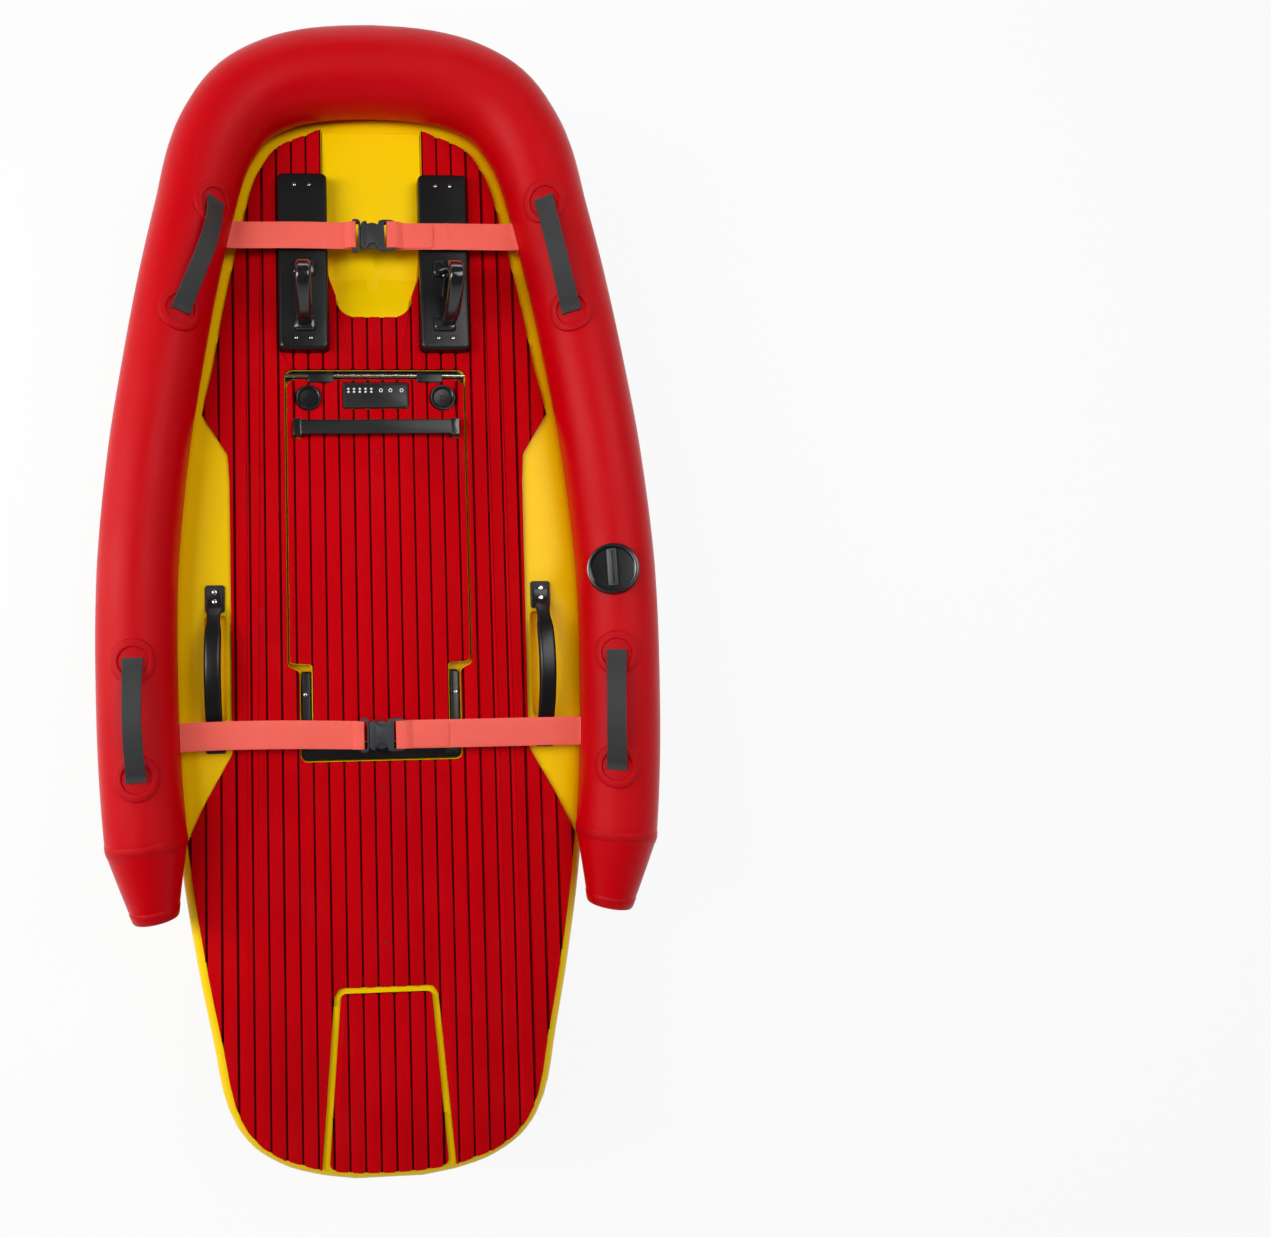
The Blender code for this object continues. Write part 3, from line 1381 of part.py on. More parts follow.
def make_collar():
    starboard = [(collar_point(y), collar_radius(y)) for y in collar_stations()]
    nose = (Vector((0, NOSE_Y + COLLAR_OFFSET, collar_height(COLLAR_NOSE_RADIUS))), COLLAR_NOSE_RADIUS)
    port = [(Vector((-p.x, p.y, p.z)), r) for p, r in reversed(starboard)]
    line = starboard + [nose] + port
    return tube(
        "collar_tube",
        [p for p, _ in line],
        COLLAR_RADIUS,
        RED_COLLAR,
        5,
        [r / COLLAR_RADIUS for _, r in line],
    )


def collar_frame(y, side):
    """Placing matrix for a fitting on the collar: Z out of the tube, Y along it, tilted inboard."""
    ahead, behind = collar_point(y + 0.02), collar_point(y - 0.02)
    along = (ahead - behind).normalized()
    middle = collar_point(y)
    inboard = Vector((-along.y, along.x, 0.0))
    out = Vector((0, 0, 1)) * math.cos(FITTING_TILT) + inboard * math.sin(FITTING_TILT)
    across = along.cross(out)
    place = middle + out * collar_radius(y)
    if side < 0:
        flip = Vector((-1, 1, 1))
        place, along, out = place * flip, along * flip, out * flip
        across = along.cross(out)
    frame = Matrix((across, along, out)).transposed().to_4x4()
    frame.translation = place
    return frame


def on_collar(y, side, across, along, lift):
    """A point above the collar's surface, measured from a fitting's place around and along it."""
    ahead, behind = collar_point(y + 0.02), collar_point(y - 0.02)
    run = (ahead - behind).length / 0.04
    station = y + along / run
    middle = collar_point(station)
    step = collar_point(station + 0.01) - collar_point(station - 0.01)
    inboard = Vector((-step.y, step.x, 0.0)).normalized()
    angle = FITTING_TILT - across / collar_radius(station)
    reach = collar_radius(station) + lift
    place = middle + (Vector((0, 0, math.cos(angle))) + inboard * math.sin(angle)) * reach
    return Vector((place.x * side, place.y, place.z))


def disc_on_collar(name, y, side, profile, count, material=None):
    """A round piece whose (radius, lift) profile follows the collar's curve."""
    rings = []
    for radius, lift in profile:
        ring = []
        for i in range(count):
            angle = 2 * math.pi * i / count
            ring.append(
                on_collar(y, side, radius * math.cos(angle), radius * math.sin(angle), lift)
            )
        rings.append(ring)
    return loft(name, rings, material)


def patch_profile():
    low = GAP * 4
    high = low + PATCH_THICKNESS
    return [
        (PATCH_RADIUS * share, lift)
        for share, lift in (
            (0.35, high),
            (0.75, high),
            (0.96, high),
            (1.0, (low + high) / 2),
            (0.98, low),
            (0.70, low),
            (0.45, low),
            (0.22, low),
        )
    ]


def make_collar_handles():
    for place, (front_y, rear_y) in (("front", FRONT_HANDLE_Y), ("rear", REAR_HANDLE_Y)):
        middle_y = (front_y + rear_y) / 2
        reach = (collar_point(front_y) - collar_point(rear_y)).length / 2
        for side, name in ((-1, "left"), (1, "right")):
            rings = []
            for i in range(-1, 14):
                t = min(max(i / 12, -0.06), 1.06)
                bow = max(math.sin(math.pi * t), 0.0) ** 0.8
                along, lift = reach * (1 - 2 * t), HANDLE_FOOT_LIFT + HANDLE_BOW * bow
                middle = on_collar(middle_y, side, 0.0, along, lift)
                out = (on_collar(middle_y, side, 0.0, along, lift + 0.01) - middle).normalized()
                run = on_collar(middle_y, side, 0.0, along + 0.001, lift) - middle
                across = run.cross(out).normalized() * HANDLE_WIDTH / 2
                thick = out * HANDLE_THICKNESS / 2
                rings.append([middle + u * across + v * thick for u, v in BOX_CORNERS])
            web = loft(f"collar_handle_{place}_{name}", rings, WEB_GREY)
            for end, y in (("front", front_y), ("rear", rear_y)):
                patch_name = f"patch_{place}_{name}_{end}"
                join(web, disc_on_collar(patch_name, y, side, patch_profile(), 16))


def make_valve():
    frame = collar_frame(VALVE_Y, 1)
    top_height = GAP * 3 + VALVE_FLANGE
    rings = []
    count = 24
    for share, low in ((0.30, True), (0.70, True), (1.0, True), (1.0, False), (0.60, False)):
        ring = []
        for i in range(count):
            angle = 2 * math.pi * i / count
            x = VALVE_RADIUS * share * math.cos(angle)
            y = VALVE_RADIUS * share * math.sin(angle)
            if low:
                ring.append(on_collar(VALVE_Y, 1, x, y, GAP * 3))
            else:
                ring.append(frame @ Vector((x, y, top_height)))
        rings.append(ring)
    loft("valve_body", rings, BLACK)
    top = top_height + GAP
    pivot = empty_at("valve_pivot", frame @ Vector((0, 0, top)))
    cap_top = top + VALVE_CAP_HEIGHT
    cap = cylinder("valve_cap", (0, 0, top), (0, 0, cap_top), VALVE_CAP_RADIUS, BLACK, 24)
    dish = cylinder(
        "cap_dish",
        (0, 0, top + VALVE_CAP_HEIGHT * 0.45),
        (0, 0, cap_top + 0.005),
        VALVE_CAP_RADIUS - VALVE_CAP_RIM,
        sides=24,
    )
    bar_half = Vector(VALVE_BAR_SIZE) / 2
    bar = box(
        "cap_bar",
        (-bar_half.x, -bar_half.y, top + 0.002),
        (bar_half.x, bar_half.y, top + 0.002 + VALVE_BAR_SIZE[2]),
    )
    for thing in (cap, dish, bar):
        thing.data.transform(frame)
    cut(cap, dish)
    join(cap, bar)
    mount_on(pivot, cap)


# Straps and buckles


def flank_point(y, angle, lift):
    """A point over the collar's inner flank: how far up the tube in degrees, how far off its skin."""
    station = y
    for _ in range(6):
        step = collar_point(station + 0.01) - collar_point(station - 0.01)
        inboard = Vector((-step.y, step.x, 0.0)).normalized()
        up = math.radians(angle)
        reach = collar_radius(station) + lift
        point = collar_point(station) + (inboard * math.cos(up) + Vector((0, 0, math.sin(up)))) * reach
        station += y - point.y
    return point


def strap_path(y):
    """A strap edge's middle line in X and Z, from the collar's starboard flank to the buckle."""
    lift = GAP + STRAP_THICKNESS / 2
    flank = [flank_point(y, angle, lift) for angle in STRAP_FLANK_ANGLES]
    edge, height = flank[-1].x, DECK_Z + STRAP_HEIGHT
    points = [(point.x, point.z) for point in flank]
    points += [(edge - 0.004, height + 0.001), (edge - STRAP_BEND, height)]
    return points


def make_straps():
    """Two straps across the deck, each of two webs sewn to the collar and a buckle between them."""
    for place, y in (("front", FRONT_STRAP_Y), ("rear", REAR_STRAP_Y)):
        height = DECK_Z + STRAP_HEIGHT
        sides = []
        for edge_y in (y + STRAP_WIDTH / 2, y - STRAP_WIDTH / 2):
            path = strap_path(edge_y)
            path += [(strap_path(y)[-1][0] * 0.6, height), (BUCKLE_LENGTH + GAP, height)]
            band = band_outline(path, STRAP_THICKNESS, False)
            sides.append([(x, edge_y, z) for x, z in band])
        count = len(sides[0])
        rings = []
        for i in range(count // 2):
            j = count - 1 - i
            rings.append([Vector(sides[0][i]), Vector(sides[0][j]), Vector(sides[1][j]), Vector(sides[1][i])])
        for side, name in ((-1, "left"), (1, "right")):
            flip = Vector((side, 1, 1))
            loft(f"{place}_strap_{name}", [[point * flip for point in ring] for ring in rings], WEB_CORAL)
        make_buckle(place, y)


def make_buckle(place, y):
    """A side-release buckle: the female body to starboard and the pronged half to port."""
    z = DECK_Z + STRAP_HEIGHT
    thick = BUCKLE_THICKNESS / 2
    width = BUCKLE_WIDTH / 2
    body_half, socket_half = BUCKLE_BODY_WIDTH / 2, BUCKLE_SOCKET_WIDTH / 2
    tongue_half, bar_half = BUCKLE_TONGUE_WIDTH / 2, STRAP_WIDTH / 2 + 0.001
    body = box(
        f"{place}_buckle_female",
        (GAP, y - body_half, z - thick),
        (BUCKLE_LENGTH, y + body_half, z + thick),
        BLACK,
    )
    bevel(body, 0.003, 1)
    socket = box(
        f"{place}_socket",
        (-0.010, y - socket_half, z - thick * 0.55),
        (BUCKLE_LENGTH * 0.62, y + socket_half, z + thick * 0.55),
    )
    cut(body, socket)
    prongs = box(
        f"{place}_buckle_male",
        (-BUCKLE_LENGTH, y - width, z - thick * 0.8),
        (-BUCKLE_LENGTH * 0.25, y + width, z + thick * 0.8),
        BLACK,
    )
    bevel(prongs, 0.003, 1)
    tongue = box(
        f"{place}_tongue",
        (-BUCKLE_LENGTH * 0.5, y - tongue_half, z - thick * 0.45),
        (BUCKLE_LENGTH * 0.5, y + tongue_half, z + thick * 0.45),
    )
    slot = box(
        f"{place}_bar_slot",
        (-BUCKLE_LENGTH * 0.72, y - bar_half, z - 0.020),
        (-BUCKLE_LENGTH * 0.45, y + bar_half, z + 0.020),
    )
    cut(prongs, slot)
    join(prongs, tongue)


# Pod


def pod_centre(y=0.0):
    return (0.0, y, POD_Z)


def make_panel():
    """The flush panel over the motor's wiring, let into the hull's flat bottom."""
    inset = SEAM / 2
    outline = rounded_rectangle(
        PANEL_HALF_WIDTH - inset, PANEL_REAR_Y + inset, PANEL_FRONT_Y - inset, 0.012 - inset
    )
    return flat_outline("access_panel", outline, BOTTOM_Z + GAP / 2, BOTTOM_Z + PANEL_THICKNESS, YELLOW)


def make_fairing():
    """A long half-buried cone that swells from a point on the hull's bottom to the motor."""
    rings = []
    count, steps = 16, 9
    tip, tip_radius, tip_drop = FAIRING_TIP_Y - 0.004, 0.003, 0.002
    roof = BOTTOM_Z - GAP
    for i in range(steps + 1):
        t = i / steps
        y = tip + (FAIRING_END_Y - tip) * t
        rise = math.sin(t * math.pi / 2)
        radius = tip_radius + (MOTOR_RADIUS - tip_radius) * rise**0.9
        middle = roof - tip_drop + (POD_Z - BOTTOM_Z + tip_drop) * rise**1.1
        ring = []
        for k in range(count):
            angle = 2 * math.pi * k / count
            x, z = radius * math.sin(angle), middle + radius * math.cos(angle)
            ring.append((x, y, min(z, roof)))
        rings.append(ring)
    return loft("pod_fairing", rings, YELLOW)


def tail_profile(grow):
    """The pod's tail as (radius, Y) points, from the motor's end to where it runs straight."""
    start, end = MOTOR_END_Y - MOTOR_BAND_WIDTH, TAIL_CONE_END_Y + TAIL_CONE_STRAIGHT
    profile = [(MOTOR_RADIUS + grow, start)]
    for i in range(1, 7):
        t = i / 6
        radius = MOTOR_RADIUS + (TAIL_CONE_RADIUS - MOTOR_RADIUS) * (1 - math.cos(math.pi * t)) / 2
        profile.append((radius + grow, start + (end - start) * t))
    return profile


def make_motor():
    """The motor's housing, windings and rotor, the tail cone behind it, and the propeller's pivot."""
    front, rear = FAIRING_END_Y - GAP, MOTOR_END_Y + GAP
    inner = MOTOR_RADIUS - MOTOR_WALL
    band, width = MOTOR_RADIUS + MOTOR_BAND, MOTOR_BAND_WIDTH
    outer = [(band, front), (band, front - width), (MOTOR_RADIUS, front - width - 0.001)]
    outer += [(MOTOR_RADIUS, rear + width + 0.001), (band, rear + width), (band, rear)]
    turned("motor_housing", outer + [(inner, rear), (inner, front)], pod_centre(), GLOSS_BLACK)
    outside = inner - GAP
    inside = outside - WINDING_THICKNESS
    stator_front, stator_rear = front - WINDING_ENDS[0], rear + WINDING_ENDS[1]
    stator = [(outside, stator_front), (outside, stator_rear), (inside, stator_rear), (inside, stator_front)]
    turned("motor_stator", stator, pod_centre(), COPPER)
    pivot = empty_at("shaft_pivot", pod_centre(STATOR_Y))
    rotor_front, rotor_rear = stator_front - 0.006, stator_rear + 0.006
    shaft_front, shaft_rear = stator_front + 0.010, STATOR_Y - HUB_LENGTH / 2 + 0.004
    rotor = [(0.0, shaft_front), (SHAFT_RADIUS, shaft_front), (SHAFT_RADIUS, rotor_front)]
    rotor += [(inside - ROTOR_GAP, rotor_front), (inside - ROTOR_GAP, rotor_rear)]
    rotor += [(SHAFT_RADIUS, rotor_rear), (SHAFT_RADIUS, shaft_rear), (0.0, shaft_rear)]
    rotor_piece = turned("motor_rotor", rotor, pod_centre(), STEEL, closed=False)
    bore = SHAFT_RADIUS + GAP
    cone = [(MOTOR_RADIUS, MOTOR_END_Y - GAP)] + tail_profile(0.0)
    cone += [(TAIL_CONE_RADIUS, TAIL_CONE_END_Y), (bore, TAIL_CONE_END_Y), (bore, MOTOR_END_Y - GAP)]
    turned("tail_cone", cone, pod_centre(), BLACK)
    mount_on(pivot, rotor_piece, make_propeller())


def duct_radius(y):
    """Outer radius of the barrel-shaped duct."""
    swell = DUCT_FRONT_Y - (DUCT_FRONT_Y - DUCT_END_Y) * DUCT_SWELL_SHARE
    if y > swell:
        t = (DUCT_FRONT_Y - y) / (DUCT_FRONT_Y - swell)
        return DUCT_FRONT_RADIUS + (DUCT_RADIUS - DUCT_FRONT_RADIUS) * math.sin(t * math.pi / 2)
    t = (swell - y) / (swell - DUCT_END_Y)
    return DUCT_END_RADIUS + (DUCT_RADIUS - DUCT_END_RADIUS) * math.cos(t * math.pi / 2) ** 0.8


def make_duct():
    """The barrel duct with its stator hub and vanes, its slots and the pylon that carries it."""
    count = 9
    outer = []
    for i in range(count + 1):
        y = DUCT_FRONT_Y + (DUCT_END_Y - DUCT_FRONT_Y) * i / count
        outer.append((duct_radius(y), y))
    inner = [(radius - DUCT_WALL, y) for radius, y in reversed(outer)]
    duct = turned("duct_nozzle", outer + inner, pod_centre(), BLACK, 28)
    hub_front, hub_rear = STATOR_Y + HUB_LENGTH / 2, STATOR_Y - HUB_LENGTH / 2
    bore = SHAFT_RADIUS + GAP
    hub = [(bore, hub_front), (PROPELLER_HUB, hub_front), (PROPELLER_HUB, hub_rear + 0.012)]
    hub += [(PROPELLER_HUB * 0.4, hub_rear), (0.0, hub_rear), (0.0, hub_rear + 0.003)]
    hub += [(bore, hub_rear + 0.003)]
    hub_piece = turned("stator_hub", hub, pod_centre(), None, 16)
    join(duct, hub_piece)
    half, chord = VANE_THICKNESS / 2, VANE_CHORD / 2
    for i in range(VANES):
        vane = box(
            "stator_vane",
            (-half, STATOR_Y - chord, bore + 0.002),
            (half, STATOR_Y + chord, duct_radius(STATOR_Y) - DUCT_WALL / 2),
        )
        vane.data.transform(Matrix.Rotation(2 * math.pi * i / VANES, 4, "Y"))
        vane.location = pod_centre()
        join(duct, vane)
    pylon = box(
        "duct_pylon",
        (-PYLON_HALF_WIDTH, PYLON_REAR_Y, POD_Z + DUCT_RADIUS - DUCT_WALL + 0.001),
        (PYLON_HALF_WIDTH, PYLON_FRONT_Y, DUCT_TUNNEL_Z - GAP),
    )
    join(duct, pylon)
    half, reach = DUCT_SLOT_SIZE[0] / 2, DUCT_SLOT_SIZE[1] / 2
    for i in range(DUCT_SLOTS):
        slot = box(
            "duct_slot",
            (-half, DUCT_SLOT_Y - reach, DUCT_END_RADIUS - 0.014),
            (half, DUCT_SLOT_Y + reach, DUCT_RADIUS + 0.010),
        )
        slot.data.transform(Matrix.Rotation(2 * math.pi * (i + 0.5) / DUCT_SLOTS, 4, "Y"))
        slot.location = pod_centre()
        cut(duct, slot)
    return duct


def make_propeller():
    """Three twisted blades on a hub that is keyed to the shaft."""
    half = HUB_LENGTH * 0.4
    bore = SHAFT_RADIUS + GAP
    hub = [(bore, PROPELLER_Y + half), (PROPELLER_HUB, PROPELLER_Y + half)]
    hub += [(PROPELLER_HUB, PROPELLER_Y - half), (bore, PROPELLER_Y - half)]
    propeller = turned("propeller", hub, pod_centre(), BRONZE, 18)
    tip = duct_radius(PROPELLER_Y) - DUCT_WALL - PROPELLER_TIP_GAP
    root = PROPELLER_HUB - 0.003
    for i in range(BLADES):
        rings = []
        for k in range(5):
            t = k / 4
            radius = root + (tip - root) * t
            chord = BLADE_CHORD[0] + BLADE_CHORD[1] * math.sin(math.pi * (0.1 + 0.9 * t))
            twist = math.radians(BLADE_TWIST[0] + (BLADE_TWIST[1] - BLADE_TWIST[0]) * t)
            thick = BLADE_THICKNESS[0] + (BLADE_THICKNESS[1] - BLADE_THICKNESS[0]) * t
            ring = []
            for u, v in ((-1, 0), (-0.3, 1), (0.5, 0.8), (1, 0), (0.5, -0.8), (-0.3, -1)):
                along, across = u * chord / 2, v * thick / 2
                x = along * math.cos(twist) - across * math.sin(twist)
                y = along * math.sin(twist) + across * math.cos(twist)
                ring.append((x, y, radius))
            rings.append(ring)
        blade = loft("propeller_blade", rings)
        blade.data.transform(Matrix.Rotation(2 * math.pi * i / BLADES, 4, "Y"))
        blade.location = pod_centre(PROPELLER_Y)
        join(propeller, blade)
    return propeller


def make_pod_mount():
    """The plate under the tunnel's roof and the blade that carries the pod's tail."""
    top = MOTOR_TUNNEL_Z - GAP
    rear = DUCT_TUNNEL_Y + 0.004
    plate = box(
        "pod_mount",
        (-MOUNT_HALF_WIDTH, rear, top - MOUNT_THICKNESS),
        (MOUNT_HALF_WIDTH, MOUNT_FRONT_Y, top),
        BLACK,
    )
    blade = box(
        "mount_blade",
        (-MOUNT_BLADE_HALF, rear, POD_Z + TAIL_CONE_RADIUS - 0.010),
        (MOUNT_BLADE_HALF, MOTOR_END_Y - 0.004, top - 0.002),
    )
    join(plate, blade)
    seat, behind = GAP * 2, TAIL_CONE_END_Y - 0.010
    cone = [(0.0, MOTOR_END_Y + 0.020), (MOTOR_RADIUS + seat, MOTOR_END_Y + 0.020)]
    cone += tail_profile(seat) + [(TAIL_CONE_RADIUS + seat, behind), (0.0, behind)]
    cut(plate, turned("cone_seat", cone, pod_centre(), closed=False))
    return plate


# Fins


def fin_outline():
    """A swept fin in Y and Z, its foot in the box and its tip on the floor."""
    foot = CHANNEL_Z - FIN_BOX_PROUD - GAP
    front = FIN_BOX_FRONT_Y - FIN_FOOT_MARGIN
    rear = FIN_BOX_FRONT_Y - FIN_BOX_LENGTH + FIN_FOOT_MARGIN
    tip = FIN_BOX_FRONT_Y - FIN_BOX_LENGTH - FIN_TIP_SWEEP
    points = [(front, foot)]
    for t in (0.2, 0.4, 0.6, 0.8, 0.93):
        height = foot * (1 - math.sin(t * math.pi / 2) * 0.97)
        points.append((front + (tip + FIN_TIP_CHORD - front) * t**1.25, height))
    points += [(tip + FIN_TIP_CHORD, 0.0), (tip, 0.003), (tip + 0.001, FIN_TIP_HEIGHT)]
    for t in (0.3, 0.55, 0.8):
        points.append((tip + (rear - tip) * t * 0.55, FIN_TIP_HEIGHT + (foot - FIN_TIP_HEIGHT) * t))
    points.append((rear, foot))
    return points


def make_fins():
    for side, name in ((-1, "left"), (1, "right")):
        low = CHANNEL_Z - FIN_BOX_PROUD
        high = CHANNEL_Z + FIN_BOX_DEPTH - FIN_BOX_PROUD
        fin_box = flat_outline(
            f"fin_box_{name}", fin_box_outline(side, FIN_BOX_WIDTH / 2), low, high, BLACK
        )
        half = FIN_THICKNESS / 2
        fin = flat_outline(f"fin_{name}", fin_outline(), -half, half, FIN_GREY, SIDE_VIEW)
        fin.data.transform(Matrix.Translation((side * FIN_X, 0, 0)))
        bevel(fin, 0.0025, 1, 70)


def main():
    make_hull_shell()
    make_deck_shell()
    make_foam("foam_core_front", WELL_FRONT_Y + LEDGE_WALL + SEAM, NOSE_Y - FOAM_FRONT_SETBACK, 7)
    make_foam("foam_core_rear", STERN_Y + FOAM_REAR_SETBACK, WELL_REAR_Y - FOAM_WELL_GAP, 5)
    make_deck_pad()
    make_kick_pad()
    make_hatch()
    make_bay()
    make_grips()
    make_carry_handles()
    make_collar()
    make_collar_handles()
    make_valve()
    make_straps()
    make_panel()
    make_fairing()
    make_motor()
    make_duct()
    make_pod_mount()
    make_fins()


main()
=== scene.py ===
"""Looks of an electric rescue board: planked foam deck, glossy two-colour hull, inflatable collar and pod.

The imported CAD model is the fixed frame. Every sub-assembly below builds its pieces in the frame's own metres
(+Z up, nose towards +Y, starboard towards +X), dresses them and ties them to the CAD body that carries them.
"""

from __future__ import annotations

import logging
import math
from dataclasses import dataclass, field
from enum import Enum
from typing import Callable, Sequence

import bmesh
import bpy
from mathutils import Matrix, Vector


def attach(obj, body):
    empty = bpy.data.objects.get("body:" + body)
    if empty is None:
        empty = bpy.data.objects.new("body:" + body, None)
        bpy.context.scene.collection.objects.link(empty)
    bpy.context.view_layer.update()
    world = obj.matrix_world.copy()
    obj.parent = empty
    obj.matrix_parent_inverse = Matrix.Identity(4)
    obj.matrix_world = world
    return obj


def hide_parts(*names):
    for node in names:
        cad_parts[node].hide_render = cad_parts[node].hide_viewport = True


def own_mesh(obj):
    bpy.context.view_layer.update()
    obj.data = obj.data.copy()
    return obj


LOG = logging.getLogger("rescue_board")
Point2 = tuple[float, float]
Colour = tuple[float, float, float]

BOARD = "board"
SIDES = ((-1, "left"), (1, "right"))
UP = (0, 0, 1)
DOWN = (0, 0, -1)
GAP = 0.0003
TINY = 1e-6
PAST = 0.01


class Surface(Enum):
    """How a finish's surface is made, which decides its nodes."""

    GELCOAT = "gelcoat"
    MOULDED = "moulded"
    VINYL = "vinyl"
    FOAM_PAD = "foam pad"
    WEBBING = "webbing"
    METAL = "metal"


class Direction(Enum):
    """Which way a webbing's length runs."""

    ACROSS = 0.0
    ALONG = 90.0


# Shader groups: each effect is built once and placed in the finishes with its own values


@dataclass(frozen=True)
class Effect:
    """A shader node group with named sockets, built once and shared by the finishes.

    Attributes:
        name: the group's name.
        inputs: socket names with their default values.
        outputs: names of the values that it puts out.
        wire: fills the group from its tree, its input node and its output node.
    """

    name: str
    inputs: tuple[tuple[str, float], ...]
    outputs: tuple[str, ...]
    wire: Callable[[bpy.types.NodeTree, bpy.types.Node, bpy.types.Node], None]

    def tree(self) -> bpy.types.NodeTree:
        """Finds the group, or builds it the first time.

        Returns:
            The finished node group.
        """
        found = bpy.data.node_groups.get(self.name)
        if found is not None:
            return found
        group = bpy.data.node_groups.new(self.name, "ShaderNodeTree")
        for name, value in self.inputs:
            socket = group.interface.new_socket(name, in_out="INPUT", socket_type="NodeSocketFloat")
            socket.default_value = value
        for name in self.outputs:
            group.interface.new_socket(name, in_out="OUTPUT", socket_type="NodeSocketFloat")
        source = group.nodes.new("NodeGroupInput")
        sink = group.nodes.new("NodeGroupOutput")
        self.wire(group, source, sink)
        return group

    def place(self, tree: bpy.types.NodeTree, **values: float) -> bpy.types.Node:
        """Puts the group into a material.

        Args:
            tree: the material's node tree.
            **values: values for the group's inputs, by name.

        Returns:
            The group node.
        """
        node = tree.nodes.new("ShaderNodeGroup")
        node.node_tree = self.tree()
        for name, value in values.items():
            node.inputs[name].default_value = value
        return node


def math_node(tree: bpy.types.NodeTree, operation: str, *values: object) -> bpy.types.NodeSocket:
    """Adds a maths node.

    Args:
        tree: the tree to add to.
        operation: Blender's name of the operation.
        *values: numbers or sockets for its inputs.

    Returns:
        The node's result.
    """
    node = tree.nodes.new("ShaderNodeMath")
    node.operation = operation
    for socket, value in zip(node.inputs, values):
        if isinstance(value, (int, float)):
            socket.default_value = value
        else:
            tree.links.new(value, socket)
    return node.outputs[0]


def map_range(
    tree: bpy.types.NodeTree,
    value: bpy.types.NodeSocket,
    span: Point2,
    onto: Point2,
    smooth: bool = True,
) -> bpy.types.NodeSocket:
    """Maps a value from one span onto another, clamped.

    Args:
        tree: the tree to add to.
        value: the value to map.
        span: where it comes from.
        onto: where it goes.
        smooth: whether the change eases in and out.

    Returns:
        The mapped value.
    """
    node = tree.nodes.new("ShaderNodeMapRange")
    node.interpolation_type = "SMOOTHSTEP" if smooth else "LINEAR"
    tree.links.new(value, node.inputs["Value"])
    for name, number in zip(("From Min", "From Max", "To Min", "To Max"), span + onto):
        node.inputs[name].default_value = number
    return node.outputs["Result"]


def place_vector(
    tree: bpy.types.NodeTree, scale: Sequence[float], turn: float = 0.0
) -> bpy.types.NodeSocket:
    """The object's own coordinates in metres, stretched and turned about Z.

    Args:
        tree: the tree to add to.
        scale: factors along X, Y and Z.
        turn: degrees about Z.

    Returns:
        The coordinate.
    """
    coordinate = tree.nodes.new("ShaderNodeTexCoord")
    mapping = tree.nodes.new("ShaderNodeMapping")
    mapping.inputs["Scale"].default_value = scale
    mapping.inputs["Rotation"].default_value = (0.0, 0.0, math.radians(turn))
    tree.links.new(coordinate.outputs["Object"], mapping.inputs["Vector"])
    return mapping.outputs["Vector"]


def split_axes(tree: bpy.types.NodeTree, vector: bpy.types.NodeSocket) -> bpy.types.bpy_prop_collection:
    """Takes a vector apart.

    Args:
        tree: the tree to add to.
        vector: the vector.

    Returns:
        Its parts by name: X, Y and Z.
    """
    node = tree.nodes.new("ShaderNodeSeparateXYZ")
    tree.links.new(vector, node.inputs["Vector"])
    return node.outputs


def noise(
    tree: bpy.types.NodeTree, vector: bpy.types.NodeSocket, scale: object, detail: float = 3.0
) -> bpy.types.NodeSocket:
    """Adds a noise texture.

    Args:
        tree: the tree to add to.
        vector: its coordinate.
        scale: a number or a socket.
        detail: its octaves.

    Returns:
        The noise value.
    """
    node = tree.nodes.new("ShaderNodeTexNoise")
    node.inputs["Detail"].default_value = detail
    if isinstance(scale, (int, float)):
        node.inputs["Scale"].default_value = scale
    else:
        tree.links.new(scale, node.inputs["Scale"])
    tree.links.new(vector, node.inputs["Vector"])
    return node.outputs["Fac"]


def wire_grain(tree: bpy.types.NodeTree, source: bpy.types.Node, sink: bpy.types.Node) -> None:
    """Fine grain over broad, faint clouds.

    Args:
        tree: the group's tree.
        source: its input node.
        sink: its output node.
    """
    plain = place_vector(tree, (1.0, 1.0, 1.0))
    fine = noise(tree, plain, source.outputs["Scale"], 4.0)
    broad = noise(tree, plain, source.outputs["Cloud Scale"], 2.0)
    tree.links.new(fine, sink.inputs["Height"])
    tree.links.new(map_range(tree, broad, (0.35, 0.65), (0.0, 1.0)), sink.inputs["Clouds"])
    tree.links.new(map_range(tree, fine, (0.38, 0.62), (0.0, 1.0)), sink.inputs["Specks"])


def wire_weave(tree: bpy.types.NodeTree, source: bpy.types.Node, sink: bpy.types.Node) -> None:
    """Crossing threads: every other row is raised half a step further on.

    Args:
        tree: the group's tree.
        source: its input node.
        sink: its output node.
    """
    coordinate = tree.nodes.new("ShaderNodeTexCoord")
    turn = tree.nodes.new("ShaderNodeVectorRotate")
    turn.rotation_type = "Z_AXIS"
    tree.links.new(coordinate.outputs["Object"], turn.inputs["Vector"])
    tree.links.new(math_node(tree, "RADIANS", source.outputs["Turn"]), turn.inputs["Angle"])
    split = split_axes(tree, turn.outputs["Vector"])
    waves = []
    for axis, pitch in (("X", "Warp"), ("Y", "Weft")):
        angle = math_node(tree, "DIVIDE", split[axis], source.outputs[pitch])
        waves.append(math_node(tree, "SINE", math_node(tree, "MULTIPLY", angle, math.tau)))
    crossing = math_node(tree, "MULTIPLY", waves[0], waves[1])
    tree.links.new(map_range(tree, crossing, (-0.7, 0.7), (0.0, 1.0)), sink.inputs["Height"])


